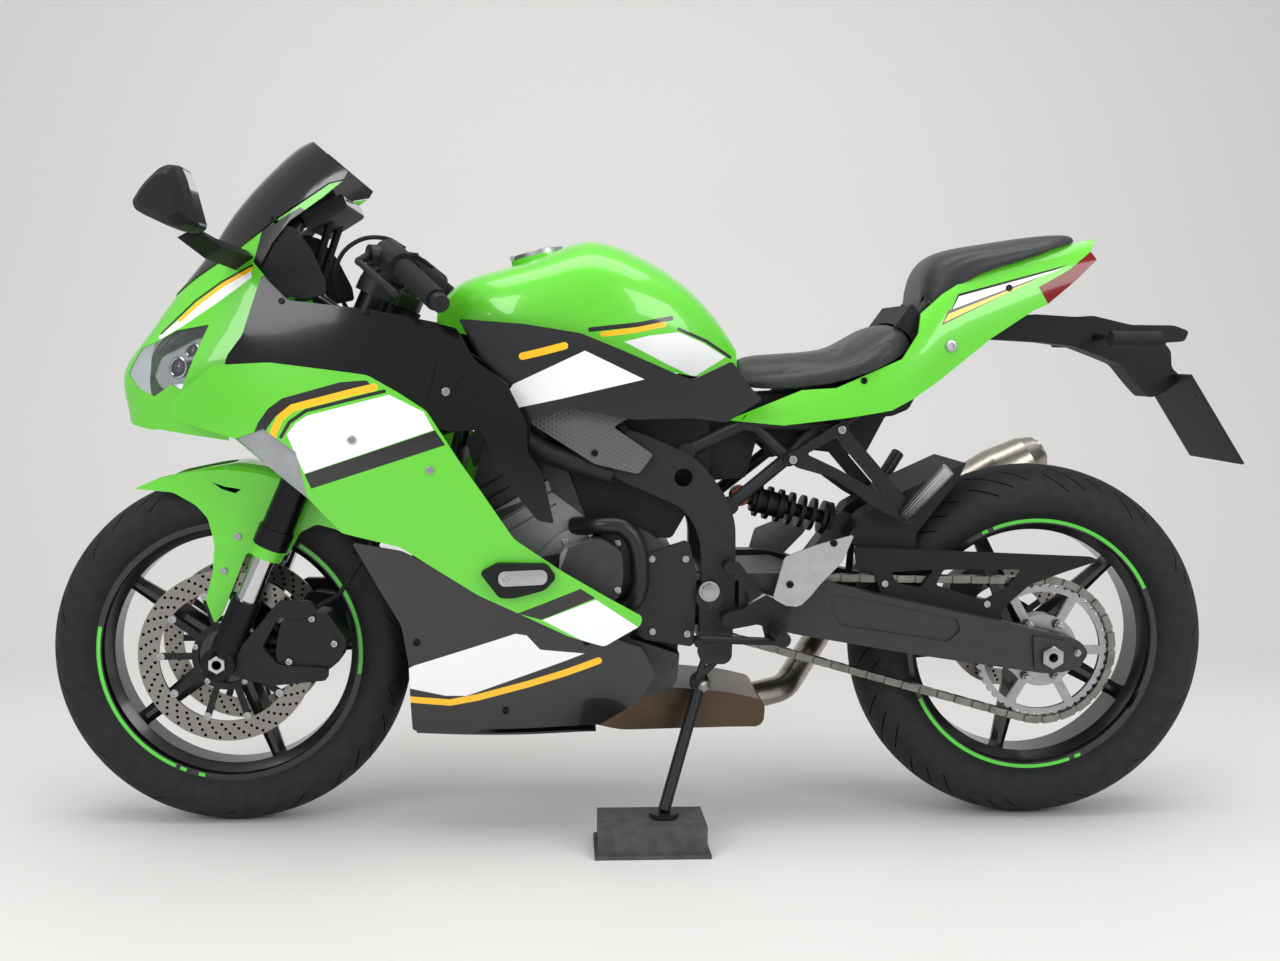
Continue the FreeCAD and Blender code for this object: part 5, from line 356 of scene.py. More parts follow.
def decorated(material, areas=(), stripes=()):
    """Paint regions, then stripes, over a finish: each has its outline or line and its colour."""
    tree = material.node_tree
    place = seen_from_side(tree)
    for corners, hex_value in areas:
        painted_over(material, edged(tree, inside(tree, place, corners)), hex_value)
    for points, width, hex_value in stripes:
        painted_over(material, edged(tree, along(tree, place, points, width)), hex_value)
    return material


print("a stripe's edge fades over", EDGE_SHARPNESS, "mm")

# %% [markdown]
# ## The fairing's paint
# The fairing is injection-moulded ABS under a lacquer: a bright lime green with a wet gloss. A
# clear coat over a smoother base gives the two highlights that lacquer shows, and a faint
# orange-peel bump breaks the reflections up as sprayed paint does.

# %% The lacquer
LIME = "62d02a"
STRIPE_YELLOW = "ffc400"
STRIPE_WHITE = "f4f5f5"
STRIPE_BLACK = "050505"
ORANGE_PEEL = {"size_mm": 2.2, "bump_mm": 0.012}


def lacquer(name, base=LIME):
    """Sprayed lacquer on ABS or steel: gloss, a clear coat and a faint orange peel."""
    material = finish(name, base, 0.32, Coat_Weight=0.7, Coat_Roughness=0.04, Specular_IOR_Level=0.5)
    return grain(material, **ORANGE_PEEL)


print("lacquer:", LIME, "with stripes", STRIPE_YELLOW, STRIPE_WHITE, STRIPE_BLACK)

# %% [markdown]
# ### The stripes, panel by panel
# Each panel carries its own part of the pattern. An area is a convex outline of (x, z) corners, and
# a stripe is a line of points with a width. Later rows lie over earlier ones, as one decal lies
# over the next, so a black edge is a larger area laid first. A hollow outline is split into convex
# ones.

# %% Lime panels with their stripes
nose_lacquer = decorated(
    lacquer("lime lacquer, nose"),
    areas=[
        ([(63, 936), (18, 914), (-40, 874), (-98, 830), (-92, 826), (-30, 858), (8, 885), (66, 922)],
         STRIPE_WHITE),
        ([(66, 950), (79, 1002), (143, 1037), (190, 1010), (165, 905), (120, 890)], STRIPE_BLACK),
    ],
    stripes=[
        ([(64, 945), (13, 919), (-32, 889), (-92, 835)], 4, STRIPE_BLACK),
        ([(62, 939), (14, 913), (-28, 883), (-58, 857)], 7, STRIPE_YELLOW),
    ],
)
cowl_lacquer = decorated(
    lacquer("lime lacquer, side cowls"),
    areas=[
        ([(163, 621), (173, 598), (381, 668), (365, 691)], STRIPE_BLACK),
        ([(163, 621), (363, 691), (348, 719), (295, 745), (170, 712), (151, 700), (137, 682)],
         STRIPE_WHITE),
        ([(590, 442), (614, 426), (529, 392), (490, 403)], STRIPE_BLACK),
        ([(614, 424), (690, 372), (623, 340), (529, 392)], STRIPE_WHITE),
    ],
    stripes=[
        ([(258, 758), (222, 755), (135, 730), (114, 715), (99, 695), (92, 680)], 17, STRIPE_BLACK),
        ([(273, 756), (240, 748), (147, 723), (128, 708), (117, 686), (114, 676)], 12, STRIPE_YELLOW),
        ([(288, 750), (240, 738), (168, 719), (142, 701), (128, 678)], 6, STRIPE_BLACK),
    ],
)
tank_lacquer = decorated(
    lacquer("lime lacquer, tank"),
    areas=[
        ([(655, 829), (700, 840), (748, 846), (790, 829), (830, 806), (773, 772), (725, 796)],
         STRIPE_WHITE),
    ],
    stripes=[
        ([(604, 848), (680, 857), (735, 868)], 8, STRIPE_BLACK),
        ([(624, 841), (676, 848), (723, 858)], 9, STRIPE_YELLOW),
        ([(748, 851), (795, 832), (838, 806)], 6, STRIPE_BLACK),
    ],
)
tail_lacquer = decorated(
    lacquer("lime lacquer, tail"),
    areas=[
        ([(1194, 879), (1212, 914), (1412, 968)], STRIPE_BLACK),
        ([(1198, 884), (1213, 910), (1402, 962)], STRIPE_WHITE),
        ([(1181, 861), (1193, 886), (1368, 950)], STRIPE_BLACK),
        ([(1185, 866), (1194, 881), (1355, 943)], STRIPE_YELLOW),
    ],
)
fender_lacquer = lacquer("lime lacquer, front fender")
print("lime panels:", len([m for m in bpy.data.materials if m.name.startswith("lime")]))

# %% [markdown]
# ### Black panels
# The belly and the panels below the tank are black under the same lacquer, with the same white and
# yellow.

# %% Black panels with their stripes
belly_lacquer = decorated(
    lacquer("black lacquer, belly", "050506"),
    areas=[
        ([(316, 306), (325, 311), (487, 367), (504, 364), (517, 349), (405, 258), (373, 258), (316, 270)],
         STRIPE_WHITE),
        ([(504, 365), (528, 338), (405, 257), (400, 300)], STRIPE_WHITE),
        ([(526, 340), (598, 333), (405, 257)], STRIPE_WHITE),
    ],
    stripes=[
        ([(619, 320), (566, 300), (507, 280), (426, 256), (380, 246), (318, 250)], 12, STRIPE_YELLOW),
    ],
)
tank_panel_lacquer = decorated(
    lacquer("black lacquer, tank panels", "08080a"),
    areas=[
        ([(505, 798), (589, 818), (695, 768), (556, 738), (423, 706), (417, 730), (482, 761)],
         STRIPE_WHITE),
    ],
    stripes=[
        ([(497, 805), (530, 813), (563, 822)], 12, STRIPE_YELLOW),
    ],
)
print("lacquers:", len([m for m in bpy.data.materials if "lacquer" in m.name]))

# %% [markdown]
# ## Plastics, castings and steels
# Most of the rest is dark, and dark things are told apart only by how they shine: textured
# polypropylene scatters light softly, powder-coated castings show a fine pebble, and machined steel
# shows its turning marks. Each finish starts from its real material, with a grain of a real size in
# millimetres.

# %% Plastics and rubbers
# Moulded with a leathery skin, which greys the light that glances off it
textured_black = grain(
    finish("textured polypropylene, black", "0e0f10", 0.58, Specular_IOR_Level=0.3),
    size_mm=1.4, bump_mm=0.09, shift=0.35, shades="1a1b1d")
# Polished in its mould, so that it mirrors the room
gloss_black = grain(
    finish("gloss ABS, black", "060708", 0.14, Specular_IOR_Level=0.35, Coat_Weight=0.2,
           Coat_Roughness=0.04),
    size_mm=3.0, bump_mm=0.01)
# Soft and ribbed: hardly any highlight
grip_rubber = grain(
    finish("ribbed grip rubber", "141516", 0.8, Specular_IOR_Level=0.3),
    size_mm=0.9, bump_mm=0.12, shift=0.3, shades="26272a")
# Cured in a steel mould, with a faint bloom of grey
tyre_rubber = grain(
    finish("vulcanised tyre rubber", "18191a", 0.72, Specular_IOR_Level=0.35),
    size_mm=1.1, bump_mm=0.06, shift=0.45, shades="2a2a2b")
# Dusty from the ground
block_rubber = grain(
    finish("moulded rubber block", "3d3d3c", 0.66, Specular_IOR_Level=0.4),
    size_mm=1.2, bump_mm=0.1, shift=0.5, shades="595856")
print("plastics and rubbers: 5")

# %% [markdown]
# ### A moulded honeycomb
# The grey covers over the frame carry a field of raised hexagons. They are too many to model. A
# hexagonal field is the sum of three waves at 60 degrees to each other, which costs three nodes and
# never repeats wrongly at an edge.

# %% The grey covers
HEXAGON_PITCH = 7.5
HEXAGON_HEIGHT = 0.25
WAVES = 3


def hexagon_bump(material, pitch, height):
    """A field of raised hexagons: three waves at 60 degrees to each other add up to one."""
    tree = material.node_tree
    place = bike_place(tree)
    total = None
    for step in range(WAVES):
        heading = math.radians(180 / WAVES * step)
        length = 4 * math.pi / (math.sqrt(3) * pitch)
        wave_vector = Vector((math.cos(heading), 0, math.sin(heading))) * length
        phase = node(tree, "ShaderNodeVectorMath", {0: place, 1: wave_vector}, operation="DOT_PRODUCT")
        wave = node(tree, "ShaderNodeMath", {0: phase.outputs["Value"]}, operation="COSINE")
        total = gathered(tree, total, wave.outputs[0], "ADD")
    return bumped(material, total, height)


satin_grey_cover = finish("moulded nylon, grey", "5a5b5d", 0.5)
hexagon_bump(satin_grey_cover, HEXAGON_PITCH, HEXAGON_HEIGHT)
print("hexagons every", HEXAGON_PITCH, "mm")

# %% [markdown]
# ### Castings
# The frame, swingarm and engine cases are aluminium. The frame and swingarm are powder coated,
# whose pebbled skin is about a millimetre across. The cylinder is left as cast, a sand-blasted
# silver.

# %% Castings and coated metal
# Powder coats: melted on as dust, so a fine pebble breaks up the highlight
frame_coat = grain(
    finish("powder coat on the frame, charcoal", "1d1e20", 0.48, Specular_IOR_Level=0.35),
    size_mm=1.3, bump_mm=0.07, shift=0.3, shades="292a2c")
swingarm_coat = grain(
    finish("powder coat on the swingarm, charcoal", "222325", 0.44),
    size_mm=1.3, bump_mm=0.07, shift=0.3, shades="2e2f31")
bracket_coat = grain(
    finish("powder coat on brackets, black", "111214", 0.46, Specular_IOR_Level=0.35),
    size_mm=1.2, bump_mm=0.06, shift=0.3, shades="1d1e20")
# Enamels: thinner than a powder coat, so the casting's own grain shows through
engine_coat = grain(
    finish("engine enamel, dark", "333436", 0.45, Metallic=0.3),
    size_mm=1.6, bump_mm=0.08, shift=0.4, shades="47484a")
cover_coat = grain(
    finish("engine cover enamel, black", "1b1c1e", 0.34, Metallic=0.2),
    size_mm=1.5, bump_mm=0.04, shift=0.3, shades="2b2c2e")
# Bare aluminium: rough from sand, or soft and even from glass beads
raw_cast = grain(
    finish("sand-cast aluminium, bare", "9b9c9c", 0.48, Metallic=0.85),
    size_mm=1.8, bump_mm=0.14, shift=0.5, shades="7c7c7a")
silver_cast = grain(
    finish("bead-blasted aluminium, silver", "b9babb", 0.38, Metallic=0.9),
    size_mm=1.0, bump_mm=0.03, shift=0.3, shades="9c9d9e")
print("castings: 7")

# %% [markdown]
# ### Turned, brushed and plated metal
# A metal's colour is in its reflection, so these finishes are fully metallic and differ in tint and
# roughness. Turning and brushing leave lines, so their grain is stretched along one direction.

# %% Steels, titanium and anodised parts
# A lathe leaves rings, so the light streaks across them
machined_silver = grain(
    finish("turned aluminium", "c6c7c8", 0.25, Metallic=1.0),
    size_mm=0.5, bump_mm=0.015, shift=0.2, shades="a9aaab", stretch=(1, 8, 1))
# Brushed along its length, with the warm grey of titanium
titanium = grain(
    finish("brushed titanium", "b3ada3", 0.3, Metallic=1.0),
    size_mm=0.7, bump_mm=0.02, shift=0.4, shades="948b7c", stretch=(0.08, 1, 1))
# Heat browns stainless tube in broad patches
header_steel = grain(
    finish("heat-tinted stainless tube", "5a4c3f", 0.32, Metallic=1.0),
    size_mm=9.0, bump_mm=0.02, shift=0.9, shades="2d2622")
# Oil and road dust darken a chain unevenly
chain_steel = grain(
    finish("oiled chain steel", "8c8a86", 0.34, Metallic=1.0),
    size_mm=2.0, bump_mm=0.03, shift=0.6, shades="5a5753")
sprocket_steel = grain(
    finish("zinc-plated sprocket", "a5a6a8", 0.32, Metallic=1.0),
    size_mm=1.0, bump_mm=0.02, shift=0.4, shades="85868a")
fork_coat = grain(
    finish("anodised fork outer, black", "1a1b1d", 0.3, Metallic=0.7),
    size_mm=0.8, bump_mm=0.01)
# Small parts show only a tint and a highlight, so they need no grain
bolt_zinc = finish("zinc-plated screws", "a9abad", 0.28, Metallic=1.0)
bolt_black = finish("blackened screws", "1c1d1f", 0.35, Metallic=0.8)
fork_chrome = finish("hard-chromed fork tube", "c9cacb", 0.12, Metallic=1.0)
gold_anodised = finish("anodised aluminium, gold", "b9935a", 0.3, Metallic=1.0)
red_anodised = finish("anodised collar, copper red", "8a4a35", 0.35, Metallic=0.9)
print("finishes so far:", len(bpy.data.materials))

# %% [markdown]
# ### Patterns around an axle
# A brake disc is ground flat as it spins, so its fine marks are rings around the axle. The wheel's
# line runs round its rim. Both are patterns of the distance from an axle, and of the direction from
# it, worked out from the axle's own place, so that they stay round wherever the wheel is.

# %% Distance and direction from an axle
REAR_AXLE_HEIGHT = (upright_of @ rear_axle).z / MM
FRONT_AXLE = (0, 0, AXLE_HEIGHT)
REAR_AXLE = (WHEELBASE, 0, REAR_AXLE_HEIGHT)


def from_axle(tree, axle):
    """The shaded point's distance from an axle, in millimetres."""
    inputs = {0: seen_from_side(tree), 1: axle}
    return node(tree, "ShaderNodeVectorMath", inputs, operation="DISTANCE").outputs["Value"]


def past_axle(tree, axle):
    """The way from an axle to the shaded point, in millimetres."""
    inputs = {0: seen_from_side(tree), 1: axle}
    return node(tree, "ShaderNodeVectorMath", inputs, operation="SUBTRACT").outputs[0]


def turn_of(tree, way):
    """The direction of a way in the side view, as an angle."""
    parts = node(tree, "ShaderNodeSeparateXYZ", {0: way})
    inputs = {0: parts.outputs["Z"], 1: parts.outputs["X"]}
    return node(tree, "ShaderNodeMath", inputs, operation="ARCTAN2").outputs[0]


print("axle heights:", AXLE_HEIGHT, round(REAR_AXLE_HEIGHT, 1), "mm")

# %% [markdown]
# ### Ground and drilled discs
# The rings of a ground disc are far finer than the render shows, so they are drawn a few
# millimetres apart. The drilled holes carry off water and heat. Their rows are turned a little on
# from each other, and since the frame's disc is solid there, the holes are not cut: the shade in
# each one is painted as a dark, sharp-edged spot.

# %% Ground rings and drilled holes
RING_PITCH = 2.2
RING_DEPTH = 0.03
HOLE_PITCH = 7.5
HOLE_TURN = 0.055
HOLE_RADIUS = 2.9
# Painted shade: the dark inside each open hole, laid on the solid disc as a colour
HOLE_PAINTED_SHADE = "070707"


def ground_rings(material, axle):
    """Fine rings of a ground disc, a pitch apart."""
    tree = material.node_tree
    inputs = {0: from_axle(tree, axle), 1: 2 * math.pi / RING_PITCH}
    turned = node(tree, "ShaderNodeMath", inputs, operation="MULTIPLY")
    wave = node(tree, "ShaderNodeMath", {0: turned.outputs[0]}, operation="SINE")
    return bumped(material, wave.outputs[0], RING_DEPTH)


def drilled(material, axle, first_radius, rows, columns):
    """Painted shade for drilled holes in rings round an axle, each ring turned a little on from the last.
    """
    tree = material.node_tree
    way = past_axle(tree, axle)
    step = 2 * math.pi / columns
    depth = None
    for row in range(rows):
        radius = first_radius + row * HOLE_PITCH
        inputs = {"Vector": way, "Angle": row * HOLE_TURN}
        turned = node(tree, "ShaderNodeVectorRotate", inputs, rotation_type="Y_AXIS")
        turn = turn_of(tree, turned.outputs[0])
        # Each hole is measured in its own square: sideways along the ring, and outward from it
        nearest = node(tree, "ShaderNodeMath", {0: turn, 1: step}, operation="SNAP")
        past = node(tree, "ShaderNodeMath", {0: turn, 1: nearest.outputs[0]}, operation="SUBTRACT")
        middle = node(tree, "ShaderNodeMath", {0: past.outputs[0], 1: step / 2}, operation="SUBTRACT")
        sideways = node(tree, "ShaderNodeMath", {0: middle.outputs[0], 1: radius}, operation="MULTIPLY")
        reach = node(tree, "ShaderNodeVectorMath", {0: way}, operation="LENGTH")
        inputs = {0: reach.outputs["Value"], 1: radius}
        outward = node(tree, "ShaderNodeMath", inputs, operation="SUBTRACT")
        flat = node(tree, "ShaderNodeCombineXYZ", {0: sideways.outputs[0], 1: outward.outputs[0]})
        gone = node(tree, "ShaderNodeVectorMath", {0: flat.outputs[0]}, operation="LENGTH")
        inputs = {0: HOLE_RADIUS, 1: gone.outputs["Value"]}
        edge = node(tree, "ShaderNodeMath", inputs, operation="SUBTRACT")
        depth = gathered(tree, depth, edge.outputs[0], "MAXIMUM")
    return painted_over(material, edged(tree, depth), HOLE_PAINTED_SHADE)


front_disc_steel = finish("ground brake disc, front", "8f8b85", 0.3, Metallic=1.0)
rear_disc_steel = finish("ground brake disc, rear", "8f8b85", 0.3, Metallic=1.0)
DISC_HOLES = (
    # disc, axle, first radius, rows, columns
    (front_disc_steel, FRONT_AXLE, 117.5, 4, 36),
    (rear_disc_steel, REAR_AXLE, 86, 3, 30),
)
for material, axle, first_radius, rows, columns in DISC_HOLES:
    ground_rings(material, axle)
    drilled(material, axle, first_radius, rows, columns)
    print(material.name, "has", rows * columns, "holes")

# %% [markdown]
# ### Wheels with a green line
# The wheels are black enamel with one thin green line on the rim. The line is a tape in two long
# arcs, and the lower arc ends in two short dashes, so a ring mask is cut to arcs given by their
# middle and half span.

# %% Wheel enamel with its arcs
RIM_LINE_RADIUS = 218.5
RIM_LINE_WIDTH = 6.5
RIM_LINE_GREEN = "52d838"
FRONT_ARCS = ((23.5, 33.5), (206, 38), (247.5, 1.5), (256, 1.5))
REAR_ARCS = ((69, 42), (115, 1.5), (248, 42), (294, 1.5))


def in_arcs(tree, axle, arcs):
    """Depth in millimetres inside arcs around an axle, given as middle and half span in degrees."""
    turn = turn_of(tree, past_axle(tree, axle))
    depth = None
    for middle, half_span in arcs:
        shifted = node(tree, "ShaderNodeMath", {0: turn, 1: math.radians(middle)}, operation="SUBTRACT")
        inputs = {0: shifted.outputs[0], 1: -math.pi, 2: math.pi}
        held = node(tree, "ShaderNodeMath", inputs, operation="WRAP")
        size = node(tree, "ShaderNodeMath", {0: held.outputs[0]}, operation="ABSOLUTE")
        inputs = {0: math.radians(half_span), 1: size.outputs[0]}
        left = node(tree, "ShaderNodeMath", inputs, operation="SUBTRACT")
        inputs = {0: left.outputs[0], 1: RIM_LINE_RADIUS}
        edge = node(tree, "ShaderNodeMath", inputs, operation="MULTIPLY")
        depth = gathered(tree, depth, edge.outputs[0], "MAXIMUM")
    return depth


def wheel_enamel(name, axle, arcs):
    """Black wheel enamel with thin green arcs round the rim."""
    material = finish(name, "0d0e0f", 0.24, Coat_Weight=0.4, Coat_Roughness=0.08)
    tree = material.node_tree
    inputs = {0: from_axle(tree, axle), 1: RIM_LINE_RADIUS}
    away = node(tree, "ShaderNodeMath", inputs, operation="SUBTRACT")
    offset = node(tree, "ShaderNodeMath", {0: away.outputs[0]}, operation="ABSOLUTE")
    inputs = {0: RIM_LINE_WIDTH / 2, 1: offset.outputs[0]}
    ring = node(tree, "ShaderNodeMath", inputs, operation="SUBTRACT")
    line = gathered(tree, ring.outputs[0], in_arcs(tree, axle, arcs), "MINIMUM")
    return painted_over(material, edged(tree, line), RIM_LINE_GREEN)


front_enamel = wheel_enamel("wheel enamel, front", FRONT_AXLE, FRONT_ARCS)
rear_enamel = wheel_enamel("wheel enamel, rear", REAR_AXLE, REAR_ARCS)
print("arcs on the rims:", len(FRONT_ARCS), "and", len(REAR_ARCS))

# %% [markdown]
# ### Glass and lenses
# The screen is smoked polycarbonate, dark enough to hide the dash. Lamps have clear lenses over
# bright reflectors. The renderer sees through a lens by its transmission.

# %% Glass, lenses and mirrors
# Thick and tinted: it darkens what is behind it and mirrors the sky
smoked_screen = finish(
    "smoked polycarbonate", "121314", 0.08, Transmission_Weight=0.35, IOR=1.58, Coat_Weight=0.4)
clear_lens = finish("clear polycarbonate lens", "e9eef0", 0.03, Transmission_Weight=0.95, IOR=1.45)
# Frosted from inside, so that it scatters light under a smooth face
grey_lens = grain(
    finish("frosted grey lens", "8b8d8f", 0.22, Coat_Weight=0.6),
    size_mm=2.5, bump_mm=0.02, shift=0.3, shades="b4b6b8")
red_lens = finish("red tail lens", "78070c", 0.14, Coat_Weight=0.4, Specular_IOR_Level=0.3)
# Silvered faces give back the room almost whole
reflector = finish("vacuum-coated reflector", "d4d6d8", 0.12, Metallic=1.0)
mirror_glass = finish("silvered mirror glass", "dfe3e6", 0.02, Metallic=1.0)
display_glass = finish("display glass, dark", "0b0d10", 0.08, Coat_Weight=0.8)
print("finishes so far:", len(bpy.data.materials))

# %% [markdown]
# ### Seat vinyl
# The seats are covered in vinyl, embossed with a leather grain by a hot roller. It is soft and
# slightly fibrous, so it gets a little sheen and a broad highlight.

# %% The seats' cover
seat_vinyl = grain(
    finish("embossed seat vinyl, black", "1d1e20", 0.46, Specular_IOR_Level=0.45, Sheen_Weight=0.1),
    size_mm=1.6, bump_mm=0.16, shift=0.35, shades="2c2d30")
print("finishes:", len(bpy.data.materials))

# %% [markdown]
# ## Dressing the frame's own pieces
# Pieces whose shape is right stay as they are and only get their real finish. A table by finish
# shows at a glance what is made of the same stuff. Each node already has material slots, so only
# what fills them changes.

# %% Which nodes each finish covers
COVERED = (
    (frame_coat, ("main_frame", "subframe")),
    (swingarm_coat, ("swingarm",)),
    (bracket_coat, ("rear_shock", "radiator", "peg_hangers", "triple_clamps", "handlebars",
                    "front_calipers", "side_stand")),
    (engine_coat, ("engine",)),
    (cover_coat, ("engine_covers",)),
    (header_steel, ("exhaust_headers",)),
    (titanium, ("silencer",)),
    (silver_cast, ("filler_lid",)),
    (tank_lacquer, ("fuel_tank",)),
    (tail_lacquer, ("tail_cowl",)),
    (nose_lacquer, ("upper_cowl",)),
    (cowl_lacquer, ("side_cowls",)),
    (belly_lacquer, ("lower_cowl",)),
    (tank_panel_lacquer, ("tank_side_panels",)),
    (fender_lacquer, ("front_fender",)),
    (gloss_black, ("upper_ducts",)),
    (satin_grey_cover, ("frame_covers",)),
    (textured_black, ("plate_hanger", "instrument_panel", "mirrors", "crash_pads", "hugger",
                      "chain_guard", "air_box", "under_tray", "inner_panels")),
    (grip_rubber, ("brake_hoses",)),
    (block_rubber, ("stand_block",)),
    (tyre_rubber, ("front_tyre", "rear_tyre")),
    (front_enamel, ("front_rim",)),
    (rear_enamel, ("rear_rim",)),
    (front_disc_steel, ("front_discs",)),
    (rear_disc_steel, ("rear_disc",)),
    (sprocket_steel, ("rear_sprocket",)),
    (chain_steel, ("chain",)),
    (fork_coat, ("fork",)),
    (smoked_screen, ("windscreen",)),
    (clear_lens, ("headlamps",)),
    (grey_lens, ("indicators",)),
    (red_lens, ("tail_light",)),
    (seat_vinyl, ("rider_seat", "pillion_seat")),
)
for material, names in COVERED:
    for name in names:
        for place in nodes[name].material_slots:
            place.material = material
print("dressed", sum(len(names) for material, names in COVERED), "of", len(nodes), "nodes")

# %% [markdown]
# ## Finding places on the bike
# Screws, nuts and lenses sit on surfaces that already exist. Their depth could be read off the
# frame piece by piece, but it would be wrong as soon as a panel changed. Instead each place is
# given in the side view, and a ray from outside finds the surface and its direction.

# %% Places on a surface
REACH = 600  # millimetres to each side, clear of every piece
BOTH = (-1, 1)
LEFT = (-1,)
RIGHT = (1,)


def surface(names, start, heading):
    """The first surface of the named nodes that a ray meets on the upright bike, and its direction."""
    origin = bike @ spot(*start)
    ray = bike.to_3x3() @ Vector(heading)
    hits = []
    for name in names:
        found, place, normal, face = nodes[name].ray_cast(origin, ray)
        if found:
            hits.append(((place - origin).length, place, normal))
    if not hits:
        print("no surface of", names, "from", start)
        return None
    return min(hits, key=lambda hit: hit[0])[1:]


def on_flank(names, x, z, side=-1):
    """The outermost surface at (x, z) of the side view."""
    return surface(names, (x, side * REACH, z), (0, -side, 0))


def on_top(names, x, y):
    """The highest surface at (x, y) seen from above."""
    return surface(names, (x, y, REACH * 3), (0, 0, -1))


def facing(place, direction):
    """A matrix that carries a piece modelled along z to a place, pointing in a direction."""
    return Matrix.Translation(place) @ Vector(direction).to_track_quat("Z", "Y").to_matrix().to_4x4()


# %% [markdown]
# ### Parts of a piece with their own finish
# A casting, a ground tube and a rubber can belong to one rigid piece. Such a piece is not cut
# apart: its faces are given another material, chosen by where they lie and which way they face on
# the upright bike.

# %% Giving some faces their own finish
def part_finish(name, material, wanted):
    """Give a finish to the faces of a node whose upright place and direction pass the test."""
    mesh = nodes[name].data
    mesh.materials.append(material)
    index = len(mesh.materials) - 1
    turn = upright_of.to_3x3()
    chosen = [face for face in mesh.polygons
              if wanted((upright_of @ face.center) / MM, turn @ face.normal)]
    for face in chosen:
        face.material_index = index
    print(name, "has", len(chosen), "faces in", material.name)


print("tests see places in millimetres")

# %% [markdown]
# ### Screws
# A socket screw, a flanged hex screw and a hollow axle's ring nut are all prisms whose top edge is
# rounded, with a prism cut out or added. One function makes the rounded prism, and the fasteners
# differ by what follows. Modelling each screw where it sits would be endless, so each kind is
# modelled once, pointing along z, and copied. A copy has its own mesh, so that all the screws of a
# panel can be joined.

# %% The fasteners
SOCKET_SHARE = 0.5
FLANGE_SHARE = 0.3
HEAD_SHARE = 0.8


def rounded_prism(name, sides, radius, height, round_share, segments):
    """A prism on the origin, its top edge rounded by a share of its height."""
    prism = added(name, bpy.ops.mesh.primitive_cylinder_add, vertices=sides, radius=radius * MM,
                  depth=height * MM, location=(0, 0, height * MM / 2))
    edit_faces(prism, lambda centre, normal: normal.z > 0.9)
    bpy.ops.mesh.bevel(offset=height * round_share * MM, segments=segments, affect="EDGES")
    bpy.ops.object.mode_set(mode="OBJECT")
    return prism


def cut_along_z(piece, sides, radius, depth, height):
    """Cut a prism of this depth, centred at a height, out of a piece, and apply the piece's place."""
    cutter = added("cutter", bpy.ops.mesh.primitive_cylinder_add, vertices=sides, radius=radius * MM,
                   depth=depth * MM, location=(0, 0, height * MM))
    applied(piece, "BOOLEAN", object=cutter, operation="DIFFERENCE")
    bpy.data.objects.remove(cutter)
    take(piece)
    bpy.ops.object.transform_apply(location=True)
    return piece


def socket_screw(radius, height):
    """A button-head screw with a hexagon socket, pointing along z."""
    head = rounded_prism("socket_screw", 20, radius, height, 0.3, 3)
    return cut_along_z(head, 6, radius * SOCKET_SHARE, height, height)


def hex_screw(radius, height):
    """A flanged hexagon screw, pointing along z."""
    flange = added("flange", bpy.ops.mesh.primitive_cylinder_add, vertices=24, radius=radius * MM,
                   depth=height * FLANGE_SHARE * MM, location=(0, 0, height * FLANGE_SHARE * MM / 2))
    head = rounded_prism("hex_head", 6, radius * HEAD_SHARE, height, 0.15, 2)
    screw = joined([head, flange], "hex_screw")
    bpy.ops.object.transform_apply(location=True)
    return screw


def ring_nut(radius, bore, height):
    """A hexagon nut with an open bore, pointing along z."""
    nut = rounded_prism("ring_nut", 6, radius, height, 0.18, 2)
    return cut_along_z(nut, 24, bore, height * 4, 0)


def set_screws(name, pattern, places, body, material):
    """Copies of a screw at (place, direction) pairs, joined to one piece; the pattern is used up."""
    copies = [copied(pattern, facing(*place)) for place in places if place]
    bpy.data.objects.remove(pattern)
    print(name, "has", len(copies))
    settled(joined(copies, name), body, material, leans=False)


# %% [markdown]
# ### Where the screws sit
# Each row below names the nodes that the screws hold, their kind and size, and their places in the
# side view. Some are blackened, so that they don't catch the eye, and most others are zinc.

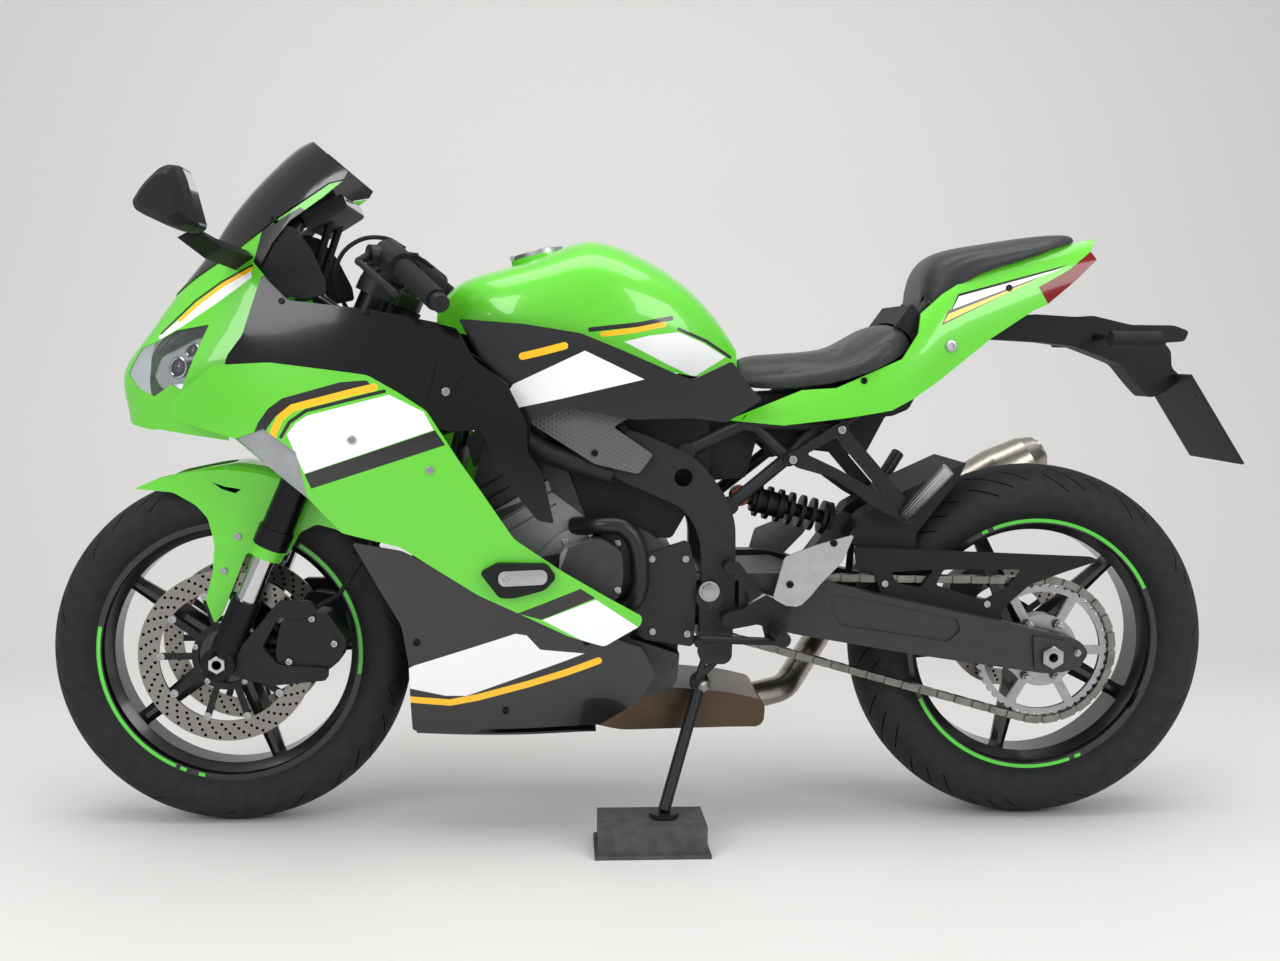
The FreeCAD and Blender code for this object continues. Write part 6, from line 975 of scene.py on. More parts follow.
# %% The screws of both flanks
SCREW_ROWS = (
    # piece, body, nodes, kind, radius, height, finish, sides, places
    ("cowl_screws", "chassis", ("side_cowls", "upper_ducts", "tank_side_panels"),
     socket_screw, 6.5, 3, bolt_zinc, BOTH, ((238, 675), (357, 629), (382, 750))),
    ("belly_screws", "chassis", ("lower_cowl",),
     socket_screw, 6, 3, bolt_black, BOTH, ((330, 350), (600, 352), (470, 232))),
    ("cover_screws", "chassis", ("frame_covers",),
     socket_screw, 5.5, 2.5, bolt_black, BOTH, ((612, 651),)),
    ("duct_screws", "chassis", ("upper_ducts", "inner_panels"),
     socket_screw, 5, 2.5, bolt_black, BOTH, ((129, 886), (259, 870))),
    ("tail_screws", "chassis", ("tail_cowl",),
     socket_screw, 5.5, 2.5, bolt_black, BOTH, ((1052, 770), (1300, 925))),
    ("seat_lock", "chassis", ("tail_cowl",),
     socket_screw, 10, 4, silver_cast, LEFT, ((1198, 828),)),
    ("screen_screws", "chassis", ("windscreen",),
     socket_screw, 5.5, 3, bolt_black, BOTH, ((100, 1018),)),
    ("fender_screws", "steering_head", ("front_fender",),
     socket_screw, 6, 3, bolt_zinc, BOTH, ((26, 504), (2, 447))),
    ("caliper_screws", "steering_head", ("front_calipers",),
     socket_screw, 6, 6, bolt_zinc, BOTH, ((112, 300), (150, 372), (186, 330))),
    ("axle_pinch_screws", "steering_head", ("fork",),
     socket_screw, 4.5, 4, bolt_black, BOTH, ((-10, 283), (-6, 318))),
    ("stator_screws", "chassis", ("engine", "engine_covers"),
     socket_screw, 6, 4, bolt_zinc, LEFT, ((565, 502), (652, 500), (565, 430), (650, 430), (606, 515))),
    ("sprocket_cover_screws", "chassis", ("engine_covers", "main_frame", "engine"),
     socket_screw, 6, 4, bolt_zinc, LEFT, ((708, 474), (764, 474), (768, 348), (710, 352))),
    ("clutch_cover_screws", "chassis", ("engine", "engine_covers"),
     socket_screw, 6, 4, bolt_zinc, RIGHT,
     ((590, 500), (680, 500), (590, 400), (680, 400), (635, 520), (635, 380))),
    ("pivot_nut", "chassis", ("main_frame", "peg_hangers", "swingarm"),
     hex_screw, 17, 9, bolt_zinc, BOTH, ((802, 423),)),
    ("frame_screws", "chassis", ("main_frame",),
     hex_screw, 10, 6, bolt_black, BOTH, ((655, 690),)),
    ("guard_screws", "chassis", ("chain_guard",),
     socket_screw, 6, 3, bolt_zinc, LEFT, ((1101, 430), (1277, 395))),
    ("heel_guard_screws", "chassis", ("peg_hangers",),
     socket_screw, 6, 3.5, bolt_black, BOTH, ((1000, 508), (930, 440))),
    ("hanger_screws", "chassis", ("peg_hangers", "subframe"),
     socket_screw, 7, 4, bolt_zinc, BOTH, ((1019, 689), (939, 639))),
    ("stand_screw", "chassis", ("main_frame",),
     hex_screw, 9, 5, bolt_zinc, LEFT, ((795, 262),)),
    ("adjuster_screws", "chassis", ("swingarm",),
     hex_screw, 6, 5, bolt_zinc, BOTH, ((1424, 318),)),
    ("pad_screws", "chassis", ("crash_pads",),
     socket_screw, 6, 3, bolt_zinc, BOTH, ((474, 462), (528, 462))),
)
for piece_name, body, held, kind, radius, height, material, sides, places in SCREW_ROWS:
    found = [on_flank(held, x, z, side) for side in sides for x, z in places]
    set_screws(piece_name, kind(radius, height), found, body, material)

# %% [markdown]
# ### The stem nut and the fork caps
# These are seen from the saddle, so their ray comes from above. The caps are anodised, as they
# close the damping cartridges.

# %% Screws seen from above
STEM_TOP = (303, 0)
FORK_TOP = (277, 104)
stem_top = on_top(("triple_clamps",), *STEM_TOP)
set_screws("stem_nut", hex_screw(17, 7), [stem_top], "steering_head", machined_silver)
fork_tops = [on_top(("fork",), FORK_TOP[0], side * FORK_TOP[1]) for side in BOTH]
set_screws("fork_caps", hex_screw(15, 6), fork_tops, "steering_head", gold_anodised)

# %% [markdown]
# ## Road tyres with a tread
# A mould presses a tread's slanted grooves. They could be cut into a finished ring with
# booleans, which is slow and leaves ragged faces. So each tyre is made the way rubber strip is:
# flat, as long as its circumference, with the grooves pressed in while it is flat.

# %% The pattern on the flat strip
CROWN_ROWS = 9
SIDE_ROWS = 5
TREAD_REPEATS = 14
COLUMNS_PER_REPEAT = 12
ROW_WIDTH = 10.0
GROOVE_EDGE = 3.1
GROOVE_DEPTH = 4.5
# Each groove is a column of the repeat, with the rows that it spans, counted from the crown
GROOVES = {0: (1, 6), 4: (4, 7), 8: (2, 5)}


def groove_wanted(column, row, left):
    """Whether a cell of the flat strip belongs to a groove; the two halves are half a repeat apart."""
    step = (column + (COLUMNS_PER_REPEAT // 2 if left else 0)) % COLUMNS_PER_REPEAT
    first, last = GROOVES.get(step, (1, 0))
    return first <= row <= last


print("grooves around a tyre:", 2 * TREAD_REPEATS * len(GROOVES))

# %% [markdown]
# ### Wrapping the strip
# Each point of the strip is wrapped: its length becomes an angle, its width runs over crown and
# sidewall, and its depth stays square to the skin. A sideways shift while wrapping slants the
# grooves, opposite ways front and rear, as they shed water. At the end the two beads are bridged,
# which closes the tyre inside.

# %% Wrapping a flat strip into a tyre
CROWN_RISE_SHARE = 0.62
BEAD_RADIUS = 218
SLANT_ENDS = 0.6  # share of the skin's width over which the grooves slant


def skin_place(share, radius, half, bead_half):
    """Radius, sideways place and outward direction of the skin, at a share from crown to bead."""
    crown_share = CROWN_ROWS / (CROWN_ROWS + SIDE_ROWS)
    rise = half * CROWN_RISE_SHARE
    shoulder = radius - rise
    if share <= crown_share:
        turn = math.pi / 2 * share / crown_share
        outward = Vector((math.cos(turn) * half, math.sin(turn) * rise)).normalized()
        return shoulder + rise * math.cos(turn), half * math.sin(turn), outward
    down = (share - crown_share) / (1 - crown_share)
    # The sidewall bulges: it turns in towards the bead only near its end
    sideways = half + (bead_half - half) * down ** 3
    return shoulder + (BEAD_RADIUS - shoulder) * down, sideways, Vector((0, 1))


def road_tyre(name, axle, radius, width, bead_half, slant, body):
    """A tyre of a radius and width around an axle, with its tread."""
    columns = TREAD_REPEATS * COLUMNS_PER_REPEAT
    rows = CROWN_ROWS + SIDE_ROWS
    length = columns * ROW_WIDTH
    strip = added(name, bpy.ops.mesh.primitive_grid_add, x_subdivisions=columns,
                  y_subdivisions=rows * 2, size=1)
    strip.scale = (length, rows * 2 * ROW_WIDTH, 1)
    bpy.ops.object.transform_apply(scale=True)

    edit_faces(strip, lambda centre, normal: groove_wanted(
        int((centre.x + length / 2) / ROW_WIDTH), int(abs(centre.y) / ROW_WIDTH), centre.y < 0))
    bpy.ops.mesh.inset(thickness=GROOVE_EDGE, depth=0)
    bpy.ops.mesh.extrude_region_move(TRANSFORM_OT_translate={"value": (0, 0, -GROOVE_DEPTH)})
    bpy.ops.object.mode_set(mode="OBJECT")
    for vertex in strip.data.vertices:
        along_tread, across, depth = vertex.co
        share = min(abs(across) / (rows * ROW_WIDTH), 1)
        ring_radius, sideways, outward = skin_place(share, radius, width / 2, bead_half)
        turn = 2 * math.pi * along_tread / length + slant * min(share, SLANT_ENDS)
        reach = ring_radius + outward.x * depth
        out = math.copysign(sideways + outward.y * depth, across)
        vertex.co = Vector((reach * math.cos(turn), out, reach * math.sin(turn))) * MM
    edit_faces(strip, lambda centre, normal: True)
    bpy.ops.mesh.remove_doubles(threshold=0.1 * MM)
    bpy.ops.mesh.select_all(action="DESELECT")
    bpy.ops.mesh.select_mode(type="EDGE")
    bpy.ops.mesh.select_non_manifold()
    bpy.ops.mesh.bridge_edge_loops()
    bpy.ops.mesh.select_all(action="SELECT")
    bpy.ops.mesh.normals_make_consistent(inside=False)
    bpy.ops.object.mode_set(mode="OBJECT")
    strip.data.transform(Matrix.Translation(spot(*axle)))
    settled(strip, body, tyre_rubber, smooth=30)
    print(name, len(strip.data.polygons), "faces")
    return strip


# %% [markdown]
# ### The two tyres
# The front is a 120 and the rear a 160, their widths in millimetres, and each stands on the ground,
# so its radius is its axle's height. They take the place of the frame's plain tyres.

# %% The two tyres
front_road_tyre = road_tyre("front_road_tyre", FRONT_AXLE, AXLE_HEIGHT, width=120, bead_half=39,
                            slant=0.55, body="front_wheel")
rear_road_tyre = road_tyre("rear_road_tyre", REAR_AXLE, REAR_AXLE_HEIGHT, width=160, bead_half=51,
                           slant=-0.6, body="rear_wheel")
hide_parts("front_tyre")
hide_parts("rear_tyre")

# %% [markdown]
# ## Metal, rubber and chrome within one piece
# Each row below names a piece, a finish and a block of the upright bike; the faces whose centres
# lie in the block take that finish, on both sides.

# %% Blocks with their own finish
BLOCKS = (
    # node, finish, x from to, distance from the middle from to, z from to
    ("engine", raw_cast, (478, 605), (60, 220), (478, 585)),
    ("peg_hangers", silver_cast, (880, 1040), (146, 190), (405, 530)),
    ("peg_hangers", silver_cast, (1085, 1190), (148, 260), (515, 640)),
    ("handlebars", grip_rubber, (300, 460), (222, 340), (800, 1000)),
    ("rear_shock", red_anodised, (860, 880), (0, 60), (520, 640)),
    ("side_stand", bolt_zinc, (780, 810), (100, 150), (235, 265)),
)


def within(value, ends):
    """Whether a value lies between two ends."""
    return ends[0] <= value <= ends[1]


for name, material, along_x, from_middle, up_z in BLOCKS:
    part_finish(name, material, lambda place, way: within(place.x, along_x)
                and within(abs(place.y), from_middle) and within(place.z, up_z))

# %% [markdown]
# ### Fork tubes and disc carriers
# Round parts are told by their distance from an axis: the chromed fork tubes by the rake line
# through the front axle, and the black disc carriers by the wheel's axle.

# %% Fork tubes and disc carriers
RAKE = math.radians(23.5)
FORK_HALF_SPAN = 104
LEG_HEADING = Vector((math.sin(RAKE), 0, math.cos(RAKE)))
CHROME_RUN = (100, 216)  # millimetres up the leg from the axle
CHROME_RADIUS = 20
FRONT_CARRIER_RADIUS = 109
REAR_CARRIER_RADIUS = 78


def on_fork_tube(place, way):
    """Whether a place is on the thin lower tube of a fork leg."""
    from_foot = Vector((place.x, abs(place.y) - FORK_HALF_SPAN, place.z - AXLE_HEIGHT))
    run = from_foot.dot(LEG_HEADING)
    in_run = CHROME_RUN[0] < run < CHROME_RUN[1]
    return in_run and (from_foot - LEG_HEADING * run).length < CHROME_RADIUS


def near_axle(axle, radius):
    """A test of whether a place is within a radius of an axle."""
    return lambda place, way: math.hypot(place.x - axle[0], place.z - axle[2]) < radius


part_finish("fork", fork_chrome, on_fork_tube)
part_finish("front_discs", bracket_coat, near_axle(FRONT_AXLE, FRONT_CARRIER_RADIUS))
part_finish("rear_disc", bracket_coat, near_axle(REAR_AXLE, REAR_CARRIER_RADIUS))

# %% [markdown]
# ### Mirror glass, display and reflectors
# Glass, the display and the silvered inside of the lamps are told by where they face: the glass
# straight back or a little inwards, the display up and back, and the reflectors back, up or
# down.

# %% Faces that look one way
GLASS_BACK, GLASS_OUT = 0.9, 15
DISPLAY_BACK, DISPLAY_UP = 0.5, 0.1
LAMP_BACK, LAMP_LEVEL = 0.1, 0.8
part_finish("mirrors", mirror_glass,
            lambda place, way: way.x > GLASS_BACK and way.y * place.y < GLASS_OUT)
part_finish("instrument_panel", display_glass,
            lambda place, way: way.x > DISPLAY_BACK and way.z > DISPLAY_UP)
part_finish("headlamps", reflector, lambda place, way: way.x > LAMP_BACK or abs(way.z) > LAMP_LEVEL)

# %% [markdown]
# ### Rings of small parts on the wheels
# Each floating disc hangs on ten steel buttons, with five screws inside them, and six nuts hold the
# rear sprocket. One of each is made, and its ring is copied by rotation around the axle.

# %% Copying a part around an axle
def ring_of(pattern, count, radius, axle, lateral, sides=BOTH, first=0.0):
    """Copies of a pattern that points along z, in a ring round an axle, facing out to each side."""
    copies = []
    for side in sides:
        outward = bike.to_3x3() @ Vector((0, side, 0))
        for step in range(count):
            turn = first + 2 * math.pi * step / count
            x, z = axle[0] + radius * math.cos(turn), axle[2] + radius * math.sin(turn)
            copies.append(copied(pattern, facing(bike @ spot(x, side * lateral, z), outward)))
    bpy.data.objects.remove(pattern)
    print("a ring of", len(copies))
    return copies


# %% [markdown]
# A button is a short cylinder whose outer face is sunk: its face is inset and pushed in.

# %% Disc buttons, disc bolts and sprocket nuts
BUTTON_RADIUS = 6.5
BUTTON_DEPTH = 5
BUTTON_WALL = 2.5
BUTTON_SINK = 1.5
BOLT_CIRCLE = 52
button = added("disc_button", bpy.ops.mesh.primitive_cylinder_add, vertices=16,
               radius=BUTTON_RADIUS * MM, depth=BUTTON_DEPTH * MM)
edit_faces(button, lambda centre, normal: normal.z > 0.9)
bpy.ops.mesh.inset(thickness=BUTTON_WALL * MM)
bpy.ops.mesh.extrude_region_move(TRANSFORM_OT_translate={"value": (0, 0, -BUTTON_SINK * MM)})
bpy.ops.object.mode_set(mode="OBJECT")
buttons = joined(ring_of(button, 10, 107, FRONT_AXLE, 69.5), "disc_buttons")
settled(buttons, "front_wheel", bolt_zinc, leans=False)
bolts = ring_of(socket_screw(5, 3.5), 5, BOLT_CIRCLE, FRONT_AXLE, 70.2, first=0.3)
settled(joined(bolts, "disc_bolts"), "front_wheel", bolt_zinc, leans=False)
nuts = joined(ring_of(hex_screw(8, 6), 6, BOLT_CIRCLE, REAR_AXLE, 106, sides=LEFT), "sprocket_nuts")
settled(nuts, "rear_wheel", bolt_zinc, leans=False)

# %% [markdown]
# ## Seats that are really upholstered
# A seat is a moulded foam block under a stretched vinyl skin. It could be modelled as a smooth
# block, but then its edges have none of the tight, slightly swollen look of a filled cover. So the
# skin is simulated: the frame's block is shrunk a little and remeshed into even cells, the part
# that sits in the tray is pinned, and a cloth simulation blows the rest against its own tension, as
# foam does under a cover. Each point's move is then limited, so that the seat keeps its outline.

# %% The cover before it is blown up
CELL = 7.0
SHRINK = 4.0
MERGE_DISTANCE = 0.02
STATION = CELL * 4  # the seat's height is compared with that of its neighbours this near along the bike


def loose_cover(name, node_name):
    """A node's copy as an even skin, a little smaller than the node."""
    cover = copied(nodes[node_name], Matrix.Identity(4), name)
    edit_faces(cover, lambda centre, normal: True)
    bpy.ops.mesh.remove_doubles(threshold=MERGE_DISTANCE * MM)
    bpy.ops.object.mode_set(mode="OBJECT")
    applied(cover, "REMESH", mode="VOXEL", voxel_size=CELL * MM)
    applied(cover, "SMOOTH", factor=0.5, iterations=4)
    for vertex in cover.data.vertices:
        vertex.co -= vertex.normal * SHRINK * MM
    return cover


def pin_in_tray(cover, share):
    """A vertex group of the points that lie below a share of the seat's height at their station."""
    places = [(upright_of @ vertex.co) / MM for vertex in cover.data.vertices]
    columns = {}
    for place in places:
        columns.setdefault(round(place.x / STATION), []).append(place.z)
    held = []
    for index, place in enumerate(places):
        column = columns[round(place.x / STATION)]
        low, high = min(column), max(column)
        if place.z < low + (high - low) * share:
            held.append(index)
    pins = cover.vertex_groups.new(name="in the tray")
    pins.add(held, 1.0, "REPLACE")
    print(cover.name, "is pinned at", len(held), "of", len(places), "points")
    return pins


# %% [markdown]
# ### Blowing the cover up
# The cloth settings are those of a thick, stiff vinyl: it hardly stretches, and it bends in wide
# curves. The pressure stands for the foam. A few frames are enough, since the cover only has to
# settle by millimetres.

# %% Simulating a seat's cover
LARGEST_MOVE = 5.5
LAST_FRAME = 14


def upholstered(name, node_name, pinned_below, seam_share):
    """A padded seat over a node, pinned under a share of its height, with a seam near its edge."""
    seat = loose_cover(name, node_name)
    starts = [vertex.co.copy() for vertex in seat.data.vertices]
    pins = pin_in_tray(seat, pinned_below)
    take(seat)
    cloth = seat.modifiers.new("cover", "CLOTH")
    cloth.settings.quality = 4
    cloth.settings.mass = 0.25
    cloth.settings.tension_stiffness = 25
    cloth.settings.compression_stiffness = 25
    cloth.settings.bending_stiffness = 1.5
    cloth.settings.use_pressure = True
    cloth.settings.uniform_pressure_force = 4.0
    cloth.settings.vertex_group_mass = pins.name
    cloth.settings.effector_weights.gravity = 0
    cloth.point_cache.frame_start = 1
    cloth.point_cache.frame_end = LAST_FRAME
    for frame_number in range(1, LAST_FRAME + 1):
        bpy.context.scene.frame_set(frame_number)
    bpy.ops.object.modifier_apply(modifier=cloth.name)
    bpy.context.scene.frame_set(1)
    for vertex, start in zip(seat.data.vertices, starts):
        move = vertex.co - start
        if move.length > LARGEST_MOVE * MM:
            vertex.co = start + move.normalized() * LARGEST_MOVE * MM
    applied(seat, "SMOOTH", factor=0.4, iterations=2)
    applied(seat, "SUBSURF", levels=1)
    press_seam(seat, seam_share)
    settled(seat, "chassis", seat_vinyl, leans=False, smooth=60)
    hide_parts(node_name)
    print(name, len(seat.data.polygons), "faces")


# %% [markdown]
# ### The seam
# Where the top panel meets the sides, the stitches pull the cover down into a shallow groove. It
# follows a share of the seat's half width, which changes along the seat, so the width is measured
# station by station.

# %% Pressing the seam in
SEAM_WIDTH = 3.2
SEAM_DEPTH = 0.8
SEAM_STATION = 20
SEAM_FACES_UP = 0.1


def press_seam(seat, share):
    """A seam along both edges of the top, at a share of the seat's half width wherever that is."""
    places = [(upright_of @ vertex.co) / MM for vertex in seat.data.vertices]
    widths = {}
    for place in places:
        station = round(place.x / SEAM_STATION)
        widths[station] = max(widths.get(station, 0), abs(place.y))
    normals = [vertex.normal.copy() for vertex in seat.data.vertices]
    turn = upright_of.to_3x3()
    for vertex, place, normal in zip(seat.data.vertices, places, normals):
        station = place.x / SEAM_STATION
        low = math.floor(station)
        first = widths.get(low, widths[round(station)])
        second = widths.get(low + 1, widths[round(station)])
        line = (first + (second - first) * (station - low)) * share
        away = abs(abs(place.y) - line)
        if (turn @ normal).z > SEAM_FACES_UP and away < SEAM_WIDTH:
            vertex.co -= normal * SEAM_DEPTH * MM * (1 - away / SEAM_WIDTH)


# %% [markdown]
# ### The two seats
# Both are pinned in the lower third, which sits in the tray, and have their seam near the edge.

# %% The rider's and the passenger's seats
PINNED_BELOW = 0.35
SEAM_SHARE = 0.92
upholstered("rider_cushion", "rider_seat", PINNED_BELOW, SEAM_SHARE)
upholstered("pillion_cushion", "pillion_seat", PINNED_BELOW, SEAM_SHARE)

# %% [markdown]
# ## Cables and small controls
# A cable is a steel wire in a plastic sleeve, stiff enough to swing in wide bends. It is a curve
# with a round section. Its points are listed, and the handles are automatic, so that it bends as a
# stiff cable does. The curve then becomes a mesh like every other piece.

# %% How a cable is laid
def cable(name, points, radius, material, body):
    """A cable of a radius in millimetres through upright places."""
    bpy.ops.object.select_all(action="DESELECT")
    bpy.ops.curve.primitive_bezier_curve_add()
    curve = bpy.context.object
    curve.name = name
    line = curve.data.splines[0]
    line.bezier_points.add(len(points) - len(line.bezier_points))
    for knot, point in zip(line.bezier_points, points):
        knot.co = spot(*point)
        knot.handle_left_type = "AUTO"
        knot.handle_right_type = "AUTO"
    curve.data.bevel_depth = radius * MM
    curve.data.bevel_resolution = 3
    curve.data.resolution_u = 10
    curve.data.use_fill_caps = True
    take(curve)
    bpy.ops.object.convert(target="MESH")
    settled(curve, body, material)
    print(name, "has", len(curve.data.polygons), "faces")


# %% [markdown]
# ### The clutch, throttle and switch cables
# They rise from the lever, the twist grip and the switches, and dip between the bars and the dash
# to the steering head. They turn with the bars.

# %% Cables at the bars
CABLES = (
    # piece, radius, places
    ("clutch_cable", 3.5, ((318, -196, 968), (285, -186, 984), (236, -172, 976), (206, -150, 940),
                           (208, -110, 890), (232, -60, 850))),
    ("throttle_cable", 3.5, ((322, 176, 962), (280, 150, 985), (236, 110, 962), (222, 60, 905),
                             (240, 30, 850))),
    ("switch_cable", 3.0, ((330, -188, 950), (300, -168, 955), (262, -130, 930), (246, -80, 880),
                           (248, -40, 850))),
)
for name, radius, places in CABLES:
    cable(name, places, radius, grip_rubber, "steering_head")

# %% [markdown]
# ## Lamps
# Each headlamp is a clear lens over a dark housing with two projectors: a domed lens in a chromed
# ring. A picture on the lens would look flat from the side, so real rings and domes are set inside
# it. Their place is found on the outside of the lens, and then moved inwards along the surface's
# own direction.

# %% The parts of a projector
RING_SHARE = 0.16
DOME_SHARE = 0.85
DOME_FLATNESS = 0.5
DOME_CUT = 0.1


def projector_ring(radius):
    """The chromed ring of a projector, around z."""
    return added("ring", bpy.ops.mesh.primitive_torus_add, major_radius=radius * MM,
                 minor_radius=radius * RING_SHARE * MM, major_segments=32, minor_segments=8)


def dome(radius):
    """The domed glass of a projector, pointing along z, with its back cut off."""
    glass = added("dome", bpy.ops.mesh.primitive_uv_sphere_add, segments=24, ring_count=12,
                  radius=radius * MM)
    glass.scale = (1, 1, DOME_FLATNESS)
    bpy.ops.object.transform_apply(scale=True)
    edit_faces(glass, lambda centre, normal: centre.z < -DOME_CUT * radius * MM)
    bpy.ops.mesh.delete(type="FACE")
    bpy.ops.object.mode_set(mode="OBJECT")
    return glass


# %% [markdown]
# ### Two projectors in each lamp
# The outer projector is the larger. Both lamps are the same, mirrored by their place alone.

# %% Projectors inside the headlamps
# x, z, radius, and how far inside the lens
LAMP_PLACES = ((-62, 783, 15, 16), (-38, 812, 11, 16))
rings = []
domes = []
for side in BOTH:
    for x, z, radius, inset in LAMP_PLACES:
        place, normal = on_flank(("headlamps",), x, z, side)
        inside_lens = facing(place - normal * inset * MM, normal)
        for pattern, kept in ((projector_ring(radius), rings), (dome(radius * DOME_SHARE), domes)):
            kept.append(copied(pattern, inside_lens))
            bpy.data.objects.remove(pattern)
settled(joined(rings, "projector_rings"), "chassis", reflector, leans=False)
settled(joined(domes, "projector_domes"), "chassis", display_glass, leans=False)
print("projectors:", len(rings))

# %% [markdown]
# ## Nuts on the hollow axles
# Both axles are hollow, so their nuts are rings. A ray straight at the axle would fall into its
# bore, so the surface is found a little beside it, and the place is moved back over the axle.

# %% Ring nuts on the hollow axles
def beside(names, axle, shift, side):
    """The flank a little behind an axle, moved back over the axle."""
    place, normal = on_flank(names, axle[0] + shift, axle[2], side)
    return place - Vector((shift * MM, 0, 0)), bike.to_3x3() @ Vector((0, side, 0))


REAR_SHIFT = 12
FRONT_SHIFT = 10
rear_ends = [beside(("swingarm",), REAR_AXLE, REAR_SHIFT, side) for side in BOTH]
set_screws("rear_axle_nuts", ring_nut(20, 8, 9), rear_ends, "chassis", bolt_zinc)
front_ends = [beside(("fork",), FRONT_AXLE, FRONT_SHIFT, side) for side in BOTH]
set_screws("front_axle_nuts", ring_nut(15, 8, 5), front_ends, "steering_head", machined_silver)

# %% [markdown]
# ## Crash pad inserts
# Each crash pad carries a bright oval plate: a cube, scaled flat, its upright edges rounded until
# the ends are half circles, and its rim softened so that it catches a highlight.

# %% One plate
END_SHARE = 0.45
RIM_WIDTH = 1.0


def oval_plate(length, height, wall):
    """A flat plate with round ends, lying across z and long along x."""
    plate = added("oval_plate", bpy.ops.mesh.primitive_cube_add, size=1)
    plate.scale = (length * MM, height * MM, wall * MM)
    bpy.ops.object.transform_apply(scale=True)
    bpy.ops.object.mode_set(mode="EDIT")
    bpy.ops.mesh.select_mode(type="EDGE")
    bpy.ops.mesh.select_all(action="DESELECT")
    bpy.ops.object.mode_set(mode="OBJECT")
    for edge in plate.data.edges:
        ends = [plate.data.vertices[v].co for v in edge.vertices]
        edge.select = abs(ends[0].z - ends[1].z) > wall * MM / 2
    bpy.ops.object.mode_set(mode="EDIT")
    bpy.ops.mesh.bevel(offset=height * END_SHARE * MM, segments=6, affect="EDGES")
    bpy.ops.object.mode_set(mode="OBJECT")
    return applied(plate, "BEVEL", width=RIM_WIDTH * MM, segments=2, limit_method="ANGLE",
                   angle_limit=math.radians(60))


pattern = oval_plate(76, 24, 3)
print("a plate of", len(pattern.data.polygons), "faces")

# %% [markdown]
# ### Setting the plates
# A plate must lie square on its pad and run along it, which a direction alone doesn't settle. Three
# directions at right angles, one along the bike, one up and one out, make a full turn.

# %% The plates on the crash pads
PAD_PLACE = (500, 463)
PAD_RISE = 0.05
plates = []
for side in BOTH:
    place = on_flank(("crash_pads",), *PAD_PLACE, side)[0]
    along_bike = bike.to_3x3() @ Vector((1, 0, PAD_RISE))
    outward = bike.to_3x3() @ Vector((0, side, 0))
    turn = Matrix((along_bike, outward.cross(along_bike), outward)).transposed().to_4x4()
    plates.append(copied(pattern, Matrix.Translation(place + outward * MM) @ turn))
bpy.data.objects.remove(pattern)
settled(joined(plates, "pad_inserts"), "chassis", silver_cast, leans=False)
print("pad inserts:", len(plates))

# %% [markdown]
# ## The room, the light and the camera
# The bike was photographed from its left in a pale room. The floor and the backdrop are one sheet
# bent through a wide curve, so that no corner shows: a plane's far edge is extruded upwards, and
# the fold is rounded with a wide bevel. Sizes here are metres.

# %% The floor and backdrop
FLOOR_SIZE = 14.0
BACKDROP_DISTANCE = 3.2
BACKDROP_HEIGHT = 6.0
FOLD_RADIUS = 1.6
sweep = added("studio_sweep", bpy.ops.mesh.primitive_plane_add, size=FLOOR_SIZE,
              location=(0, BACKDROP_DISTANCE - FLOOR_SIZE / 2, 0))
edit_faces(sweep, lambda centre, normal: False)
bpy.ops.object.mode_set(mode="OBJECT")
for edge in sweep.data.edges:
    edge.select = min(sweep.data.vertices[v].co.y for v in edge.vertices) > 0
for vertex in sweep.data.vertices:
    vertex.select = vertex.co.y > 0
bpy.ops.object.mode_set(mode="EDIT")
bpy.ops.mesh.select_mode(type="EDGE")
bpy.ops.mesh.extrude_region_move(TRANSFORM_OT_translate={"value": (0, 0, BACKDROP_HEIGHT)})
bpy.ops.object.mode_set(mode="OBJECT")
applied(sweep, "BEVEL", width=FOLD_RADIUS, segments=16, limit_method="ANGLE")
take(sweep)
bpy.ops.object.shade_smooth()
sweep.data.materials.append(finish("pale studio sheet", "dddcda", 0.55))
sweep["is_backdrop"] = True
print("the sheet has", len(sweep.data.polygons), "faces")

# %% [markdown]
# ### Soft light
# One large lamp above and one from each side keep the light even, as the ceiling panels of a
# showroom do. They are wide, so that the lacquer shows long soft highlights.

# %% The lamps and the world
def lamp(name, place, aim, size, watts):
    """A square soft lamp that points at a target."""
    light = bpy.data.lights.new(name, "AREA")
    light.energy = watts
    light.shape = "RECTANGLE"
    light.size = size[0]
    light.size_y = size[1]
    holder = bpy.data.objects.new(name, light)
    bpy.context.collection.objects.link(holder)
    holder.location = place
    holder.rotation_euler = (Vector(aim) - Vector(place)).to_track_quat("-Z", "Y").to_euler()


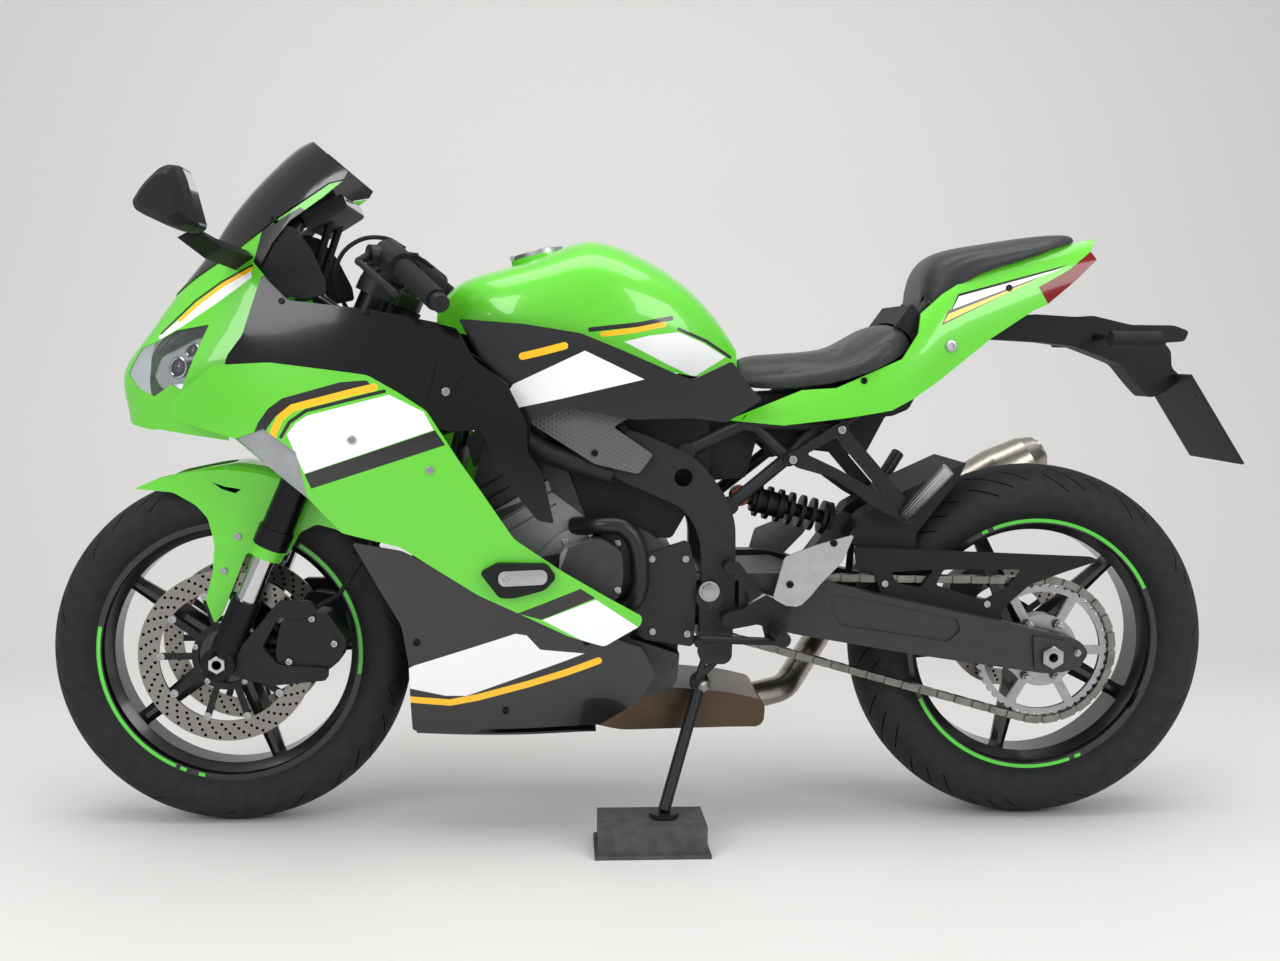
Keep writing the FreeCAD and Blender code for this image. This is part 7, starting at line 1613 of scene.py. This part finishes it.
LAMPS = (
    # name, place, aim, size in metres, watts
    ("ceiling", (0, -0.6, 3.6), (0, 0, 0.4), (4.2, 2.2), 95),
    ("window_left", (-2.6, -3.4, 2.2), (-0.2, 0, 0.5), (2.2, 1.6), 60),
    ("window_right", (2.8, -3.2, 2.0), (0.3, 0, 0.5), (2.0, 1.6), 50),
)
for row in LAMPS:
    lamp(*row)
WORLD_STRENGTH = 0.65
world = bpy.data.worlds.new("studio")
bpy.context.scene.world = world
world.use_nodes = True
background = world.node_tree.nodes["Background"]
background.inputs["Color"].default_value = colour("e8e9eb")
background.inputs["Strength"].default_value = WORLD_STRENGTH
print("lamps:", len(LAMPS))

# %% [markdown]
# ### The camera
# The camera's place was worked out from the two round tyres, whose outlines fix where a camera
# stands. A camera looks along its own minus z. Its three directions are built from a yaw, a pitch
# and a small roll.

# %% The photograph's camera
CAMERA_PLACE = spot(568.81, -2231.17, 645.79) + Vector((ground_point.x, ground_point.y, 0))
CAMERA_YAW = -0.0573
CAMERA_PITCH = -0.0257
CAMERA_ROLL = 0.0054
FOCAL_PIXELS = 1261.44
PHOTO_WIDTH = 1280
SENSOR = 36.0
turned = Matrix.Rotation(CAMERA_YAW, 3, "Z")
forward = turned @ Vector((0, math.cos(CAMERA_PITCH), math.sin(CAMERA_PITCH)))
level = turned @ Vector((1, 0, 0))
above = level.cross(forward)
right = level * math.cos(CAMERA_ROLL) + above * math.sin(CAMERA_ROLL)
top = above * math.cos(CAMERA_ROLL) - level * math.sin(CAMERA_ROLL)
camera_data = bpy.data.cameras.new("camera")
camera_data.sensor_width = SENSOR
camera_data.lens = FOCAL_PIXELS / PHOTO_WIDTH * SENSOR
camera = bpy.data.objects.new("camera", camera_data)
bpy.context.collection.objects.link(camera)
directions = Matrix((right, top, -forward)).transposed().to_4x4()
camera.matrix_world = Matrix.Translation(CAMERA_PLACE) @ directions
bpy.context.scene.camera = camera
bpy.context.scene.view_settings.view_transform = "Standard"
print("lens", round(camera_data.lens, 1), "mm")

# %% [markdown]
# ## The sizes
# The dressed bike should fill the same box as the frame, or it would not fit where the frame fits.
# Both boxes are printed.

# %% The sizes, and the end of the script
bpy.context.view_layer.update()
seen_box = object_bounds()
boxes = {"cad": [list(corner) for corner in cad_box], "visual": [list(corner) for corner in seen_box]}
for kind, corners in boxes.items():
    print(kind, [round(value, 3) for corner in corners for value in corner])
